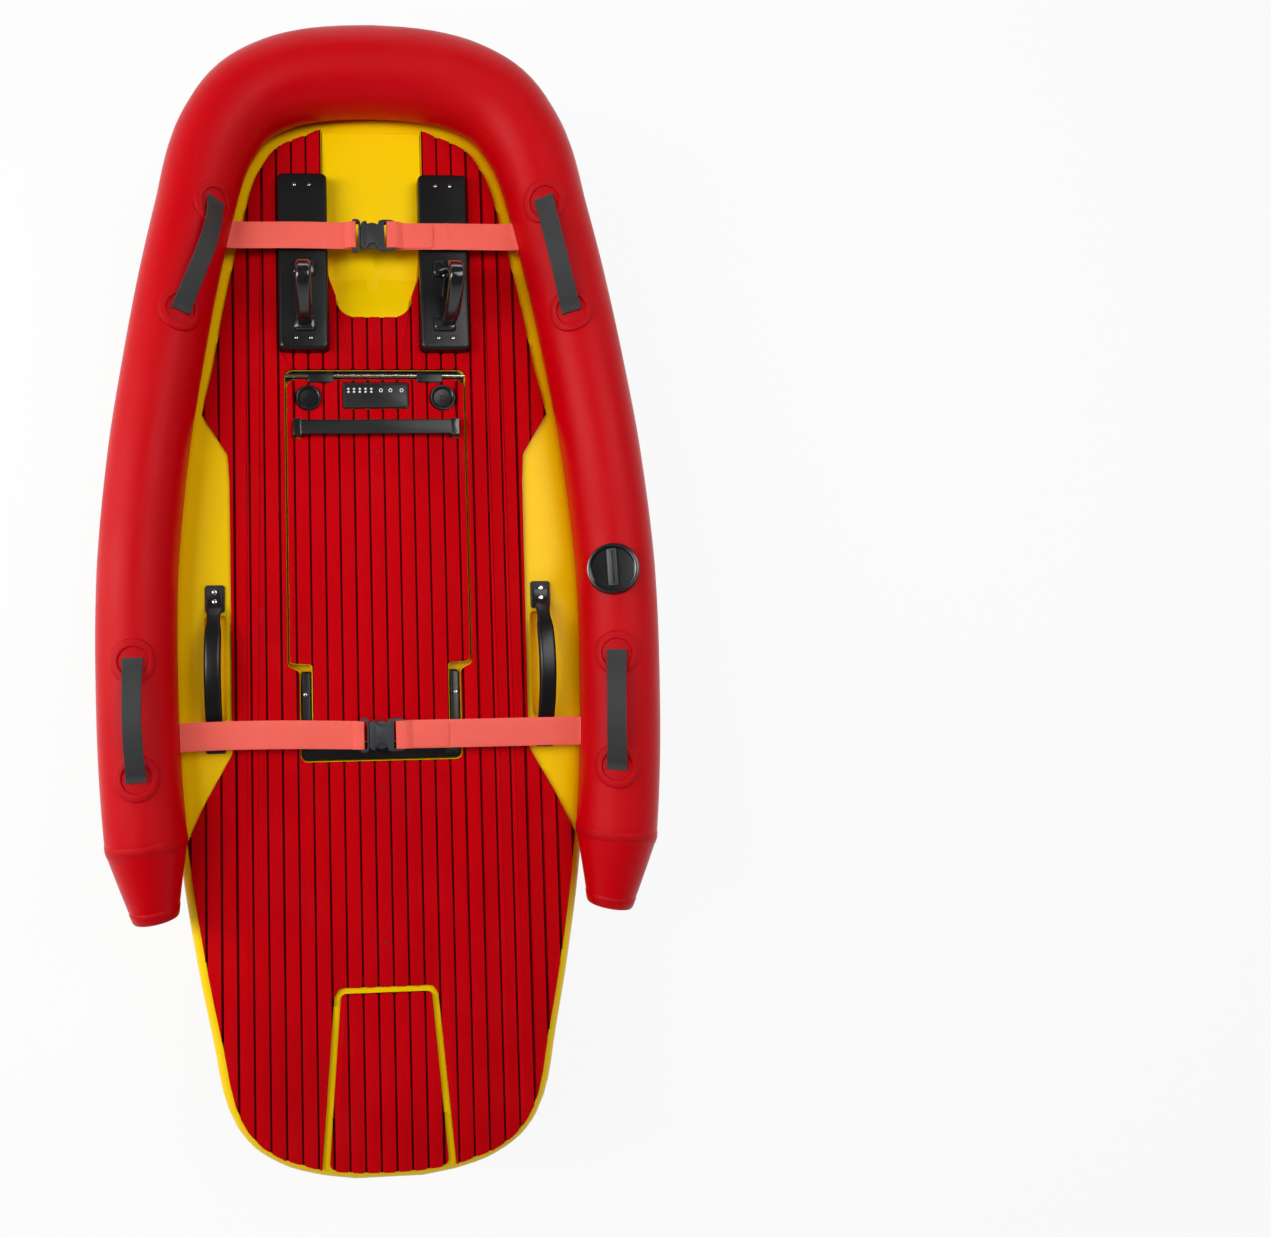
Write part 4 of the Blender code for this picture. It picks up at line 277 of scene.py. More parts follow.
def wire_wear(tree: bpy.types.NodeTree, source: bpy.types.Node, sink: bpy.types.Node) -> None:
    """Scattered rubs and hairline scratches that run mostly along the board.

    Args:
        tree: the group's tree.
        source: its input node.
        sink: its output node.
    """
    long_place = place_vector(tree, (1.0, 0.12, 1.0), 7.0)
    scratches = noise(tree, long_place, source.outputs["Scale"], 5.0)
    patches = noise(tree, place_vector(tree, (1.0, 1.0, 1.0)), 5.0, 3.0)
    hair = map_range(tree, scratches, (0.66, 0.72), (0.0, 1.0))
    where = map_range(tree, patches, (0.45, 0.62), (0.0, 1.0))
    both = math_node(tree, "MULTIPLY", hair, where)
    tree.links.new(math_node(tree, "MULTIPLY", both, source.outputs["Amount"]), sink.inputs["Mask"])


def wire_film(tree: bpy.types.NodeTree, source: bpy.types.Node, sink: bpy.types.Node) -> None:
    """A faint film of dried water that gathers on what faces up.

    Args:
        tree: the group's tree.
        source: its input node.
        sink: its output node.
    """
    geometry = tree.nodes.new("ShaderNodeNewGeometry")
    up = map_range(tree, split_axes(tree, geometry.outputs["Normal"])["Z"], (0.2, 1.0), (0.0, 1.0))
    cloud = noise(tree, place_vector(tree, (1.0, 1.0, 1.0)), 9.0, 5.0)
    film = math_node(tree, "MULTIPLY", up, map_range(tree, cloud, (0.45, 0.75), (0.0, 1.0)))
    tree.links.new(math_node(tree, "MULTIPLY", film, source.outputs["Amount"]), sink.inputs["Mask"])


GRAIN = Effect(
    "surface_grain", (("Scale", 400.0), ("Cloud Scale", 6.0)), ("Height", "Clouds", "Specks"), wire_grain
)
WEAVE = Effect("woven_threads", (("Warp", 0.002), ("Weft", 0.002), ("Turn", 0.0)), ("Height",), wire_weave)
WEAR = Effect("rubs_and_scratches", (("Scale", 90.0), ("Amount", 1.0)), ("Mask",), wire_wear)
FILM = Effect("dried_film", (("Amount", 0.5),), ("Mask",), wire_film)


# Finishes

COAT_ROUGHNESS = 0.06
CLOUD_SCALE = 5.0
SCRATCH_SCALE = 110.0
FILM_AMOUNT = 0.35
SPECK_SHARES = {Surface.FOAM_PAD: 0.55, Surface.WEBBING: 0.35, Surface.VINYL: 0.10}
PLAIN_SPECKS = 0.12
CLOUD_SHARE = 0.7
RUB_COLOUR = (0.02, 0.02, 0.02)
RUB_SHARE = 0.5
RUB_ROUGHNESS = 0.25
FILM_COLOUR = (0.04, 0.04, 0.04)
FILM_SHARE = 0.12
FILM_ROUGHNESS = 0.12
# painted shade: how dark the grooves' bottoms are, as a share of the foam's colour
PAINTED_GROOVE_SHADE = 0.12
WEFT_RATIO = 1.6
VINYL_TURN = 45.0
GRAIN_UNDER_WEAVE = 0.4


@dataclass(frozen=True)
class Finish:
    """One material of the board.

    Attributes:
        name: the material's name.
        surface: how it is made.
        colour: base colour, linear.
        shade: the colour that its specks, clouds and grooves go towards.
        roughness: middle roughness.
        spread: how far the roughness strays.
        grain: grains per metre of its finest noise.
        relief: depth of its bump in metres.
        coat: clear coat weight.
        pitch: thread or rib spacing in metres.
        run: which way webbing runs.
        wear: how much its rubs show.
        shine: specular level; 0.5 is plain plastic.
    """

    name: str
    surface: Surface
    colour: Colour
    shade: Colour
    roughness: float = 0.5
    spread: float = 0.08
    grain: float = 400.0
    relief: float = 0.0002
    coat: float = 0.0
    pitch: float = 0.002
    run: Direction = Direction.ACROSS
    wear: float = 0.3
    shine: float = 0.5

    def material(self) -> bpy.types.Material:
        """Finds the material, or builds it the first time.

        Returns:
            The material.
        """
        title = f"{self.name}.finish"
        found = bpy.data.materials.get(title)
        if found is not None:
            return found
        material = bpy.data.materials.new(title)
        material.use_nodes = True
        tree = material.node_tree
        shader = tree.nodes["Principled BSDF"]
        shader.inputs["Metallic"].default_value = 1.0 if self.surface is Surface.METAL else 0.0
        shader.inputs["Coat Weight"].default_value = self.coat
        shader.inputs["Coat Roughness"].default_value = COAT_ROUGHNESS
        shader.inputs["Specular IOR Level"].default_value = self.shine
        grain = GRAIN.place(tree, **{"Scale": self.grain, "Cloud Scale": CLOUD_SCALE})
        wear = WEAR.place(tree, Scale=SCRATCH_SCALE, Amount=self.wear)
        film = FILM.place(tree, Amount=FILM_AMOUNT)
        self._colour(tree, shader, grain, wear, film)
        self._roughness(tree, shader, grain, wear, film)
        self._relief(tree, shader, grain)
        return material

    def _colour(
        self,
        tree: bpy.types.NodeTree,
        shader: bpy.types.Node,
        grain: bpy.types.Node,
        wear: bpy.types.Node,
        film: bpy.types.Node,
    ) -> None:
        """Mixes the base colour with its shade by specks, rubs and film.

        Args:
            tree: the material's tree.
            shader: its surface shader.
            grain: the grain's node.
            wear: the rubs' node.
            film: the film's node.
        """
        specks = SPECK_SHARES.get(self.surface, PLAIN_SPECKS)
        base = self.base_colour(tree)
        mask = math_node(tree, "MULTIPLY", grain.outputs["Specks"], specks)
        cloud = math_node(tree, "MULTIPLY", grain.outputs["Clouds"], specks * CLOUD_SHARE)
        together = math_node(tree, "MAXIMUM", mask, cloud)
        tint = tuple(
            min(1.0, low / high) if high > 0.01 else 1.0 for low, high in zip(self.shade, self.colour)
        )
        colour = mix_colour(tree, together, base, tint, "MULTIPLY")
        for effect, layer, share in ((wear, RUB_COLOUR, RUB_SHARE), (film, FILM_COLOUR, FILM_SHARE)):
            amount = math_node(tree, "MULTIPLY", effect.outputs["Mask"], share)
            colour = mix_colour(tree, amount, colour, layer, "SCREEN")
        tree.links.new(colour, shader.inputs["Base Color"])

    def base_colour(self, tree: bpy.types.NodeTree) -> bpy.types.NodeSocket:
        """The plain base colour as a socket.

        Args:
            tree: the material's tree.

        Returns:
            The colour.
        """
        node = tree.nodes.new("ShaderNodeRGB")
        node.outputs[0].default_value = (*self.colour, 1.0)
        return node.outputs[0]

    def _roughness(
        self,
        tree: bpy.types.NodeTree,
        shader: bpy.types.Node,
        grain: bpy.types.Node,
        wear: bpy.types.Node,
        film: bpy.types.Node,
    ) -> None:
        """Lets the roughness stray with the clouds, the rubs and the film.

        Args:
            tree: the material's tree.
            shader: its surface shader.
            grain: the grain's node.
            wear: the rubs' node.
            film: the film's node.
        """
        low, high = self.roughness - self.spread, self.roughness + self.spread
        rough = map_range(tree, grain.outputs["Clouds"], (0.0, 1.0), (low, high), False)
        for effect, share in ((wear, RUB_ROUGHNESS), (film, FILM_ROUGHNESS)):
            rough = math_node(tree, "ADD", rough, math_node(tree, "MULTIPLY", effect.outputs["Mask"], share))
        tree.links.new(rough, shader.inputs["Roughness"])

    def _relief(self, tree: bpy.types.NodeTree, shader: bpy.types.Node, grain: bpy.types.Node) -> None:
        """Feeds the surface's relief through one bump node.

        Args:
            tree: the material's tree.
            shader: its surface shader.
            grain: the grain's node.
        """
        height = grain.outputs["Height"]
        if self.surface in (Surface.WEBBING, Surface.VINYL):
            turn = self.run.value + (VINYL_TURN if self.surface is Surface.VINYL else 0.0)
            weave = WEAVE.place(tree, Warp=self.pitch, Weft=self.pitch * WEFT_RATIO, Turn=turn)
            grained = math_node(tree, "MULTIPLY", height, GRAIN_UNDER_WEAVE)
            height = math_node(tree, "ADD", weave.outputs["Height"], grained)
        bump = tree.nodes.new("ShaderNodeBump")
        bump.inputs["Strength"].default_value = 1.0
        bump.inputs["Distance"].default_value = self.relief
        tree.links.new(height, bump.inputs["Height"])
        tree.links.new(bump.outputs["Normal"], shader.inputs["Normal"])


def mix_colour(
    tree: bpy.types.NodeTree, mask: bpy.types.NodeSocket, under: object, over: object, blend: str = "MIX"
) -> bpy.types.NodeSocket:
    """Mixes two colours.

    Args:
        tree: the tree to add to.
        mask: how much of the second colour shows.
        under: the first colour, a socket or three numbers.
        over: the second one.
        blend: how the two combine.

    Returns:
        The mixed colour.
    """
    node = tree.nodes.new("ShaderNodeMix")
    node.data_type = "RGBA"
    node.blend_type = blend
    tree.links.new(mask, node.inputs["Factor"])
    for socket, value in ((node.inputs[6], under), (node.inputs[7], over)):
        if isinstance(value, tuple):
            socket.default_value = (*value, 1.0)
        else:
            tree.links.new(value, socket)
    return node.outputs[2]


@dataclass(frozen=True)
class PlankFoam(Finish):
    """Deck foam with painted shade down its grooves: below the planks' tops its colour darkens.

    Attributes:
        groove_z: height below which the painted groove shade is at its darkest.
        top_z: height of the planks' tops.
    """

    groove_z: float = 0.3026
    top_z: float = 0.3060

    def base_colour(self, tree: bpy.types.NodeTree) -> bpy.types.NodeSocket:
        """The foam's colour, with painted shade darkening it down the grooves.

        Args:
            tree: the material's tree.

        Returns:
            The colour.
        """
        coordinate = tree.nodes.new("ShaderNodeTexCoord")
        height = split_axes(tree, coordinate.outputs["Object"])["Z"]
        depth = map_range(tree, height, (self.groove_z, self.top_z), (0.0, 1.0), False)
        # painted shade: the grooves and the planks' lower edges darken to this colour, as if in shadow
        dark = tuple(value * PAINTED_GROOVE_SHADE for value in self.colour)
        return mix_colour(tree, depth, dark, self.colour)


@dataclass(frozen=True)
class StripedGelcoat(Finish):
    """Yellow hull gelcoat with broad red stripes that lean across the bottom.

    Attributes:
        red: the stripes' colour.
        start_y: station from which the stripes' edges are measured aft.
        main_edge: place and slopes of the main stripe's port edge: x = a + b s + c s².
        middle_edge: the same for the main stripe's starboard edge.
        outer_edge: the same for the port edge of the outer stripe.
        blur: half width over which the two colours meet.
    """

    red: Colour = (0.62, 0.0, 0.005)
    start_y: float = 0.794
    main_edge: tuple[float, float, float] = (-0.044, 0.056, 0.035)
    middle_edge: tuple[float, float, float] = (0.134, 0.130, 0.0)
    outer_edge: tuple[float, float, float] = (0.196, 0.120, 0.0)
    blur: float = 0.0004

    def base_colour(self, tree: bpy.types.NodeTree) -> bpy.types.NodeSocket:
        """Yellow, with red between the stripes' edges.

        Args:
            tree: the material's tree.

        Returns:
            The colour.
        """
        coordinate = tree.nodes.new("ShaderNodeTexCoord")
        split = split_axes(tree, coordinate.outputs["Object"])
        aft = math_node(tree, "SUBTRACT", self.start_y, split["Y"])
        past = []
        for offset, slope, bend in (self.main_edge, self.middle_edge, self.outer_edge):
            line = math_node(tree, "MULTIPLY_ADD", aft, bend, slope)
            line = math_node(tree, "MULTIPLY_ADD", line, aft, offset)
            side = math_node(tree, "SUBTRACT", split["X"], line)
            past.append(map_range(tree, side, (-self.blur, self.blur), (0.0, 1.0), False))
        main = math_node(tree, "SUBTRACT", past[0], past[1])
        red = math_node(tree, "ADD", main, past[2])
        return mix_colour(tree, red, self.colour, self.red)


YELLOW = Finish(
    "deck_gelcoat", Surface.GELCOAT, (1.0, 0.66, 0.0), (
        0.94, 0.58, 0.0
    ), 0.34, 0.05, 45.0, 0.0002, 0.0, shine=0.10
)
HULL_PAINT = StripedGelcoat(
    "hull_gelcoat", Surface.GELCOAT, (1.0, 0.64, 0.0), (
        0.95, 0.56, 0.0
    ), 0.26, 0.05, 45.0, 0.0002, 0.05, shine=0.18
)
POD_YELLOW = Finish(
    "pod_gelcoat", Surface.GELCOAT, (1.0, 0.63, 0.0), (0.94, 0.54, 0.0), 0.20, 0.04, 60.0, 0.0001, 0.3
)
DECK_FOAM = PlankFoam(
    "deck_foam_pad", Surface.FOAM_PAD, (
        0.66, 0.0, 0.0035
    ), (0.30, 0.0, 0.0015), 0.80, 0.06, 620.0, 0.0009, shine=0.04
)
COLLAR_VINYL = Finish(
    "collar_vinyl", Surface.VINYL, (0.55, 0.0, 0.004), (0.46, 0.0, 0.002), 0.33, 0.05, 300.0, 0.00010,
    pitch=0.0014,
    shine=0.11,
)
PATCH_VINYL = Finish(
    "patch_vinyl", Surface.VINYL, (0.50, 0.0, 0.004), (0.40, 0.0, 0.002), 0.38, 0.05, 300.0, 0.00012,
    pitch=0.0014,
    shine=0.11,
)
HANDLE_WEB = Finish(
    "handle_webbing", Surface.WEBBING, (0.024, 0.026, 0.027), (0.012, 0.013, 0.014), 0.46, 0.05, 900.0,
    0.0003,
    pitch=0.0016, run=Direction.ALONG,
)
STRAP_WEB = Finish(
    "strap_webbing", Surface.WEBBING, (1.0, 0.150, 0.112), (0.88, 0.10, 0.075), 0.66, 0.05, 800.0, 0.0003,
    pitch=0.0018, shine=0.3,
)
STITCH = Finish(
    "stitching", Surface.WEBBING, (0.80, 0.09, 0.07), (0.5, 0.04, 0.03), 0.7, 0.05, 900.0, 0.0001
)
SATIN_BLACK = Finish(
    "satin_plastic", Surface.MOULDED, (
        0.006, 0.006, 0.0065
    ), (0.004, 0.004, 0.0045), 0.30, 0.06, 700.0, 0.0001, shine=0.4
)
MATT_BLACK = Finish(
    "matt_plastic", Surface.MOULDED, (
        0.010, 0.010, 0.0105
    ), (0.007, 0.007, 0.0075), 0.48, 0.06, 800.0, 0.0002, shine=0.35
)
GLOSS_BLACK = Finish(
    "gloss_black", Surface.MOULDED, (
        0.008, 0.008, 0.009
    ), (0.004, 0.004, 0.005), 0.20, 0.04, 80.0, 0.00004, 0.5
)
BUCKLE_BLACK = Finish(
    "buckle_plastic", Surface.MOULDED, (
        0.026, 0.028, 0.032
    ), (0.018, 0.019, 0.022), 0.38, 0.06, 700.0, 0.0001
)
LAMP_WHITE = Finish(
    "lamp_window", Surface.MOULDED, (0.78, 0.79, 0.78), (0.5, 0.5, 0.5), 0.3, 0.05, 300.0, 0.00005
)
STEEL = Finish("steel", Surface.METAL, (0.74, 0.75, 0.77), (0.50, 0.51, 0.53), 0.20, 0.06, 900.0, 0.00003)
BRASS_GREY = Finish(
    "propeller_alloy", Surface.METAL, (0.62, 0.63, 0.66), (0.42, 0.43, 0.45), 0.28, 0.08, 500.0, 0.00005
)
FIN_GREY = Finish(
    "fin_plastic", Surface.MOULDED, (0.46, 0.47, 0.49), (0.36, 0.37, 0.39), 0.30, 0.06, 500.0, 0.00008
)
FOAM_WHITE = Finish(
    "buoyancy_foam", Surface.FOAM_PAD, (0.82, 0.81, 0.77), (0.66, 0.65, 0.60), 0.9, 0.05, 260.0, 0.0008
)
RUBBER = Finish(
    "seal_rubber", Surface.MOULDED, (0.012, 0.012, 0.012), (0.02, 0.02, 0.02), 0.75, 0.06, 500.0, 0.0002
)
COPPER = Finish(
    "winding_copper", Surface.METAL, (0.72, 0.30, 0.12), (0.40, 0.15, 0.06), 0.38, 0.08, 800.0, 0.0002
)
CASE_GREY = Finish(
    "case_alloy", Surface.METAL, (0.20, 0.205, 0.22), (0.14, 0.145, 0.155), 0.46, 0.06, 700.0, 0.0001
)


# Outlines and solids


def arc(cx: float, cy: float, radius: float, start: float, end: float, count: int = 8) -> list[Point2]:
    """Points on an arc.

    Args:
        cx: centre, first axis.
        cy: centre, second axis.
        radius: its radius.
        start: first angle in degrees.
        end: last angle in degrees.
        count: number of steps.

    Returns:
        The points.
    """
    angles = (math.radians(start + (end - start) * i / count) for i in range(count + 1))
    return [(cx + radius * math.cos(angle), cy + radius * math.sin(angle)) for angle in angles]


def circle(radius: float, steps: int) -> list[Point2]:
    """Points around a circle about the origin."""
    angles = (math.tau * i / steps for i in range(steps))
    return [(radius * math.cos(angle), radius * math.sin(angle)) for angle in angles]


def mirrored(points: Sequence[Point2]) -> list[Point2]:
    """A closed outline from the points of its starboard half."""
    return list(points) + [(-x, y) for x, y in reversed(points) if abs(x) > TINY]


def rectangle(
    half_x: float, low_y: float, high_y: float, radius: float, middle: float = 0.0
) -> list[Point2]:
    """A rounded rectangle.

    Args:
        half_x: half its width.
        low_y: its rear edge.
        high_y: its front edge.
        radius: its corners' radius.
        middle: where its middle lies in X.

    Returns:
        The outline.
    """
    ahead = arc(half_x - radius, high_y - radius, radius, 90, 0, 6)
    behind = arc(half_x - radius, low_y + radius, radius, 0, -90, 6)
    return [(x + middle, y) for x, y in mirrored(ahead + behind)]


def fillet(points: Sequence[Point2], radius: float, count: int = 4, closed: bool = True) -> list[Point2]:
    """Rounds the corners of a line of points.

    Args:
        points: the corners.
        radius: how far from each corner the rounding starts.
        count: steps in each rounding.
        closed: whether the line is an outline.

    Returns:
        The rounded line, with the same number of points for each corner.
    """
    line: list[Point2] = []
    last = len(points) - 1
    for i, point in enumerate(points):
        if not closed and i in (0, last):
            line.append(tuple(point))
            continue
        corner = Vector(point)
        ways = [Vector(points[i - 1]) - corner, Vector(points[(i + 1) % (last + 1)]) - corner]
        reach = min([radius] + [way.length * 0.46 for way in ways])
        first, second = (corner + way.normalized() * reach for way in ways)
        for k in range(count + 1):
            t = k / count
            spot = first * (1 - t) ** 2 + corner * 2 * t * (1 - t) + second * t**2
            line.append((spot.x, spot.y))
    return line


def inset(points: Sequence[Point2], distance: float) -> list[Point2]:
    """Draws a closed outline in by a distance.

    Args:
        points: the outline.
        distance: how far; negative grows it.

    Returns:
        The new outline, point for point.
    """
    count = len(points)
    area = sum(points[i - 1][0] * points[i][1] - points[i][0] * points[i - 1][1] for i in range(count))
    sign = math.copysign(1.0, area)
    moved = []
    for i in range(count):
        here = Vector(points[i])
        before = (here - Vector(points[i - 1])).normalized()
        after = (Vector(points[(i + 1) % count]) - here).normalized()
        way = Vector((-before.y - after.y, before.x + after.x)) * sign
        if way.length < 1e-9:
            way = Vector((-after.y, after.x)) * sign
        way.normalize()
        lean = max(way.dot(Vector((-after.y, after.x)) * sign), 0.5)
        moved.append(tuple(here + way * distance / lean))
    return moved


@dataclass
class Solid:
    """Points and faces of a closed shape, before it becomes part of a piece.

    Attributes:
        points: its corners.
        faces: its faces as indices into the points.
    """

    points: list[Vector] = field(default_factory=list)
    faces: list[list[int]] = field(default_factory=list)

    def moved(self, matrix: Matrix) -> Solid:
        """A copy of the solid, placed by a matrix."""
        return Solid([matrix @ point for point in self.points], self.faces)

    def shifted(self, x: float = 0.0, y: float = 0.0, z: float = 0.0) -> Solid:
        """A copy of the solid, moved by three distances."""
        return self.moved(Matrix.Translation((x, y, z)))

    def flipped(self) -> Solid:
        """The solid mirrored to the other side of the board."""
        return Solid([Vector((-p.x, p.y, p.z)) for p in self.points], [face[::-1] for face in self.faces])

    def side(self, side: int) -> Solid:
        """The solid itself to starboard, or its mirror to port."""
        return self if side > 0 else self.flipped()


def loft(rings: Sequence[Sequence[Sequence[float]]], closed: bool = True, capped: bool = True) -> Solid:
    """Joins rings of points, one to the next.

    Args:
        rings: rings with equal numbers of points.
        closed: whether each ring is closed.
        capped: whether the first and the last ring are filled.

    Returns:
        The solid.
    """
    count = len(rings[0])
    points = [Vector(point) for ring in rings for point in ring]
    faces = []
    for row in range(len(rings) - 1):
        for i in range(count if closed else count - 1):
            j = (i + 1) % count
            low, high = row * count, (row + 1) * count
            faces.append([low + i, low + j, high + j, high + i])
    if capped:
        faces.append(list(range(count))[::-1])
        faces.append([(len(rings) - 1) * count + i for i in range(count)])
    return Solid(points, faces)


def prism(outline: Sequence[Point2], low: float, high: float, edge: float = 0.0, steps: int = 3) -> Solid:
    """An outline drawn out along Z, with rounded top and bottom edges.

    Args:
        outline: its points in X and Y.
        low: bottom height.
        high: top height.
        edge: radius of its edges.
        steps: steps in an edge.

    Returns:
        The solid.
    """
    if edge <= 0.0:
        return loft([[(x, y, z) for x, y in outline] for z in (low, high)])
    levels = []
    for k in range(steps + 1):
        angle = math.pi / 2 * k / steps
        levels.append((edge * (1 - math.sin(angle)), edge * (1 - math.cos(angle))))
    rings = [[(x, y, low + up) for x, y in inset(outline, back)] for back, up in levels]
    rings += [[(x, y, high - up) for x, y in inset(outline, back)] for back, up in reversed(levels)]
    return loft(rings)


def lathe(profile: Sequence[Point2], steps: int = 48, closed: bool = True) -> Solid:
    """Turns a profile of (radius, height) points about the Z axis.

    Args:
        profile: its points.
        steps: steps around.
        closed: whether the profile's last point joins its first.

    Returns:
        The solid.
    """
    line = list(profile) + ([profile[0]] if closed else [])
    rings = [[(x, y, height) for x, y in circle(max(radius, 1e-5), steps)] for radius, height in line]
    return loft(rings, capped=not closed)


def pod_lathe(profile: Sequence[Point2], steps: int = 64, closed: bool = True) -> Solid:
    """Turns a profile of (radius, Y) points about the pod's axis.

    Args:
        profile: its points.
        steps: steps around.
        closed: whether the last point joins the first.

    Returns:
        The solid.
    """
    turned = lathe(profile, steps, closed)
    turn = Matrix.Translation((0.0, 0.0, POD_Z)) @ Matrix.Rotation(math.radians(-90), 4, "X")
    return turned.moved(turn)


def smooth_path(points: Sequence[Vector], steps: int = 6) -> list[Vector]:
    """A smooth line through points.

    Args:
        points: the points that it passes.
        steps: steps between two points.

    Returns:
        Its points.
    """
    last = len(points) - 1
    line = []
    for i in range(last):
        p1, p2 = points[i], points[i + 1]
        chord = (p2 - p1).length
        before = points[i - 1] if i else p1 - (p2 - p1)
        after = points[i + 2] if i < last - 1 else p2 + (p2 - p1)
        slope1 = (p2 - before) / max((p2 - p1).length + (p1 - before).length, 1e-9) * chord
        slope2 = (after - p1) / max((after - p2).length + (p2 - p1).length, 1e-9) * chord
        for k in range(steps):
            t = k / steps
            line.append(
                p1 * (2 * t**3 - 3 * t**2 + 1)
                + slope1 * (t**3 - 2 * t**2 + t)
                + p2 * (3 * t**2 - 2 * t**3)
                + slope2 * (t**3 - t**2)
            )
    return line + [points[last]]


def rod(
    start: Sequence[float], end: Sequence[float], radius: float, steps: int = 24, edge: float = 0.0
) -> Solid:
    """A round bar between two points.

    Args:
        start: middle of its first end.
        end: middle of its second end.
        radius: its radius.
        steps: steps around.
        edge: radius of its end edges.

    Returns:
        The solid.
    """
    way = Vector(end) - Vector(start)
    soft = edge or radius * 0.12
    high = way.length
    profile = [(0.0, 0.0), (radius - soft, 0.0), (radius, soft)]
    profile += [(radius, high - soft), (radius - soft, high), (0.0, high)]
    turn = way.to_track_quat("Z", "Y").to_matrix().to_4x4()
    return lathe(profile, steps, False).moved(Matrix.Translation(start) @ turn)


def block(low: Sequence[float], high: Sequence[float], edge: float = 0.001) -> Solid:
    """A rounded block between two corners.

    Args:
        low: its low corner.
        high: its high corner.
        edge: radius of its edges.

    Returns:
        The solid.
    """
    middle = ((low[0] + high[0]) / 2, (low[1] + high[1]) / 2)
    outline = rectangle((high[0] - low[0]) / 2, low[1] - middle[1], high[1] - middle[1], edge * 1.3)
    return prism(outline, low[2], high[2], edge).shifted(middle[0], middle[1])


def side_prism(outline: Sequence[Point2], x: float, half: float, edge: float) -> Solid:
    """An outline in Y and Z drawn out to both sides of a place in X."""
    flat = prism(outline, -half, half, edge)
    return Solid([Vector((x + p.z, p.x, p.y)) for p in flat.points], flat.faces)


@dataclass
class Piece:
    """One visible piece: solids with their finishes, tied to a body.

    Attributes:
        name: its name.
        body: the CAD body that it rides on.
        nodes: CAD nodes that it stands for.
        angle: edges sharper than this stay crisp, in degrees.
        solids: its solids and their finishes.
    """

    name: str
    body: str
    nodes: tuple[str, ...] = ()
    angle: float = 38.0
    solids: list[tuple[Solid, Finish]] = field(default_factory=list)

    def add(self, finish: Finish, *solids: Solid) -> Piece:
        """Adds solids in one finish.

        Args:
            finish: their finish.
            *solids: the solids.

        Returns:
            The piece itself.
        """
        self.solids += [(solid, finish) for solid in solids]
        return self

    def mesh(self) -> bpy.types.Mesh:
        """Builds the mesh of all the solids, its faces turned outwards.

        Returns:
            The mesh, with its materials.
        """
        mesh = bpy.data.meshes.new(self.name)
        bm = bmesh.new()
        finishes: list[Finish] = []
        for solid, finish in self.solids:
            if finish not in finishes:
                finishes.append(finish)
            corners = [bm.verts.new(point) for point in solid.points]
            for face in solid.faces:
                if len({tuple(solid.points[i]) for i in face}) >= 3:
                    made = bm.faces.new([corners[i] for i in face])
                    made.material_index = finishes.index(finish)
        bmesh.ops.remove_doubles(bm, verts=bm.verts, dist=TINY)
        bmesh.ops.recalc_face_normals(bm, faces=bm.faces)
        bm.to_mesh(mesh)
        bm.free()
        for finish in finishes:
            mesh.materials.append(finish.material())
        return mesh

    def build(self, *cutters: Solid, joins: Sequence[Solid] = ()) -> bpy.types.Object:
        """Makes the object, joins and cuts it, shades it and ties it to its body.

        Args:
            *cutters: solids to take away.
            joins: solids to join to it first.

        Returns:
            The object.
        """
        thing = place_object(self.name, self.mesh())
        for join in joins:
            boolean(thing, join, "UNION")
        for cutter in cutters:
            boolean(thing, cutter, "DIFFERENCE")
        shade(thing, self.angle)
        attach(thing, self.body)
        if self.nodes:
            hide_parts(*self.nodes)
        LOG.info("built %s on %s, %d faces", self.name, self.body, len(thing.data.polygons))
        return thing


def place_object(name: str, data: bpy.types.ID) -> bpy.types.Object:
    """Puts a new object into the scene.

    Args:
        name: its name.
        data: its mesh, camera or light.

    Returns:
        The object.
    """
    thing = bpy.data.objects.new(name, data)
    bpy.context.scene.collection.objects.link(thing)
    return thing


def boolean(thing: bpy.types.Object, cutter: Solid, operation: str) -> None:
    """Joins a solid to an object or cuts it away, and applies the result.

    Args:
        thing: the object that changes.
        cutter: the other solid.
        operation: UNION or DIFFERENCE.
    """
    mesh = bpy.data.meshes.new("cutter")
    mesh.from_pydata([tuple(p) for p in cutter.points], [], cutter.faces)
    bm = bmesh.new()
    bm.from_mesh(mesh)
    bmesh.ops.recalc_face_normals(bm, faces=bm.faces)
    bm.to_mesh(mesh)
    bm.free()
    other = place_object("cutter", mesh)
    modifier = thing.modifiers.new("boolean", "BOOLEAN")
    modifier.operation = operation
    modifier.solver = "EXACT"
    modifier.object = other
    bpy.context.view_layer.update()
    graph = bpy.context.evaluated_depsgraph_get()
    result = bpy.data.meshes.new_from_object(thing.evaluated_get(graph))
    thing.modifiers.clear()
    old = thing.data
    thing.data = result
    bpy.data.meshes.remove(old)
    bpy.data.objects.remove(other)
    bpy.data.meshes.remove(mesh)


def shade(thing: bpy.types.Object, angle: float) -> None:
    """Shades an object smoothly, with its sharper edges crisp.

    Args:
        thing: the object.
        angle: edges sharper than this stay crisp, in degrees.
    """
    mesh = thing.data
    mesh.polygons.foreach_set("use_smooth", [True] * len(mesh.polygons))
    mesh.set_sharp_from_angle(angle=math.radians(angle))


def dress(finish: Finish, *nodes: str) -> None:
    """Gives CAD nodes that stay visible a better finish.

    Args:
        finish: the finish.
        *nodes: the nodes' names.
    """
    for name in nodes:
        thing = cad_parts[name]
        for slot in thing.material_slots:
            slot.material = finish.material()
        if not thing.material_slots:
            thing.data.materials.append(finish.material())
        LOG.info("dressed %s as %s", name, finish.name)


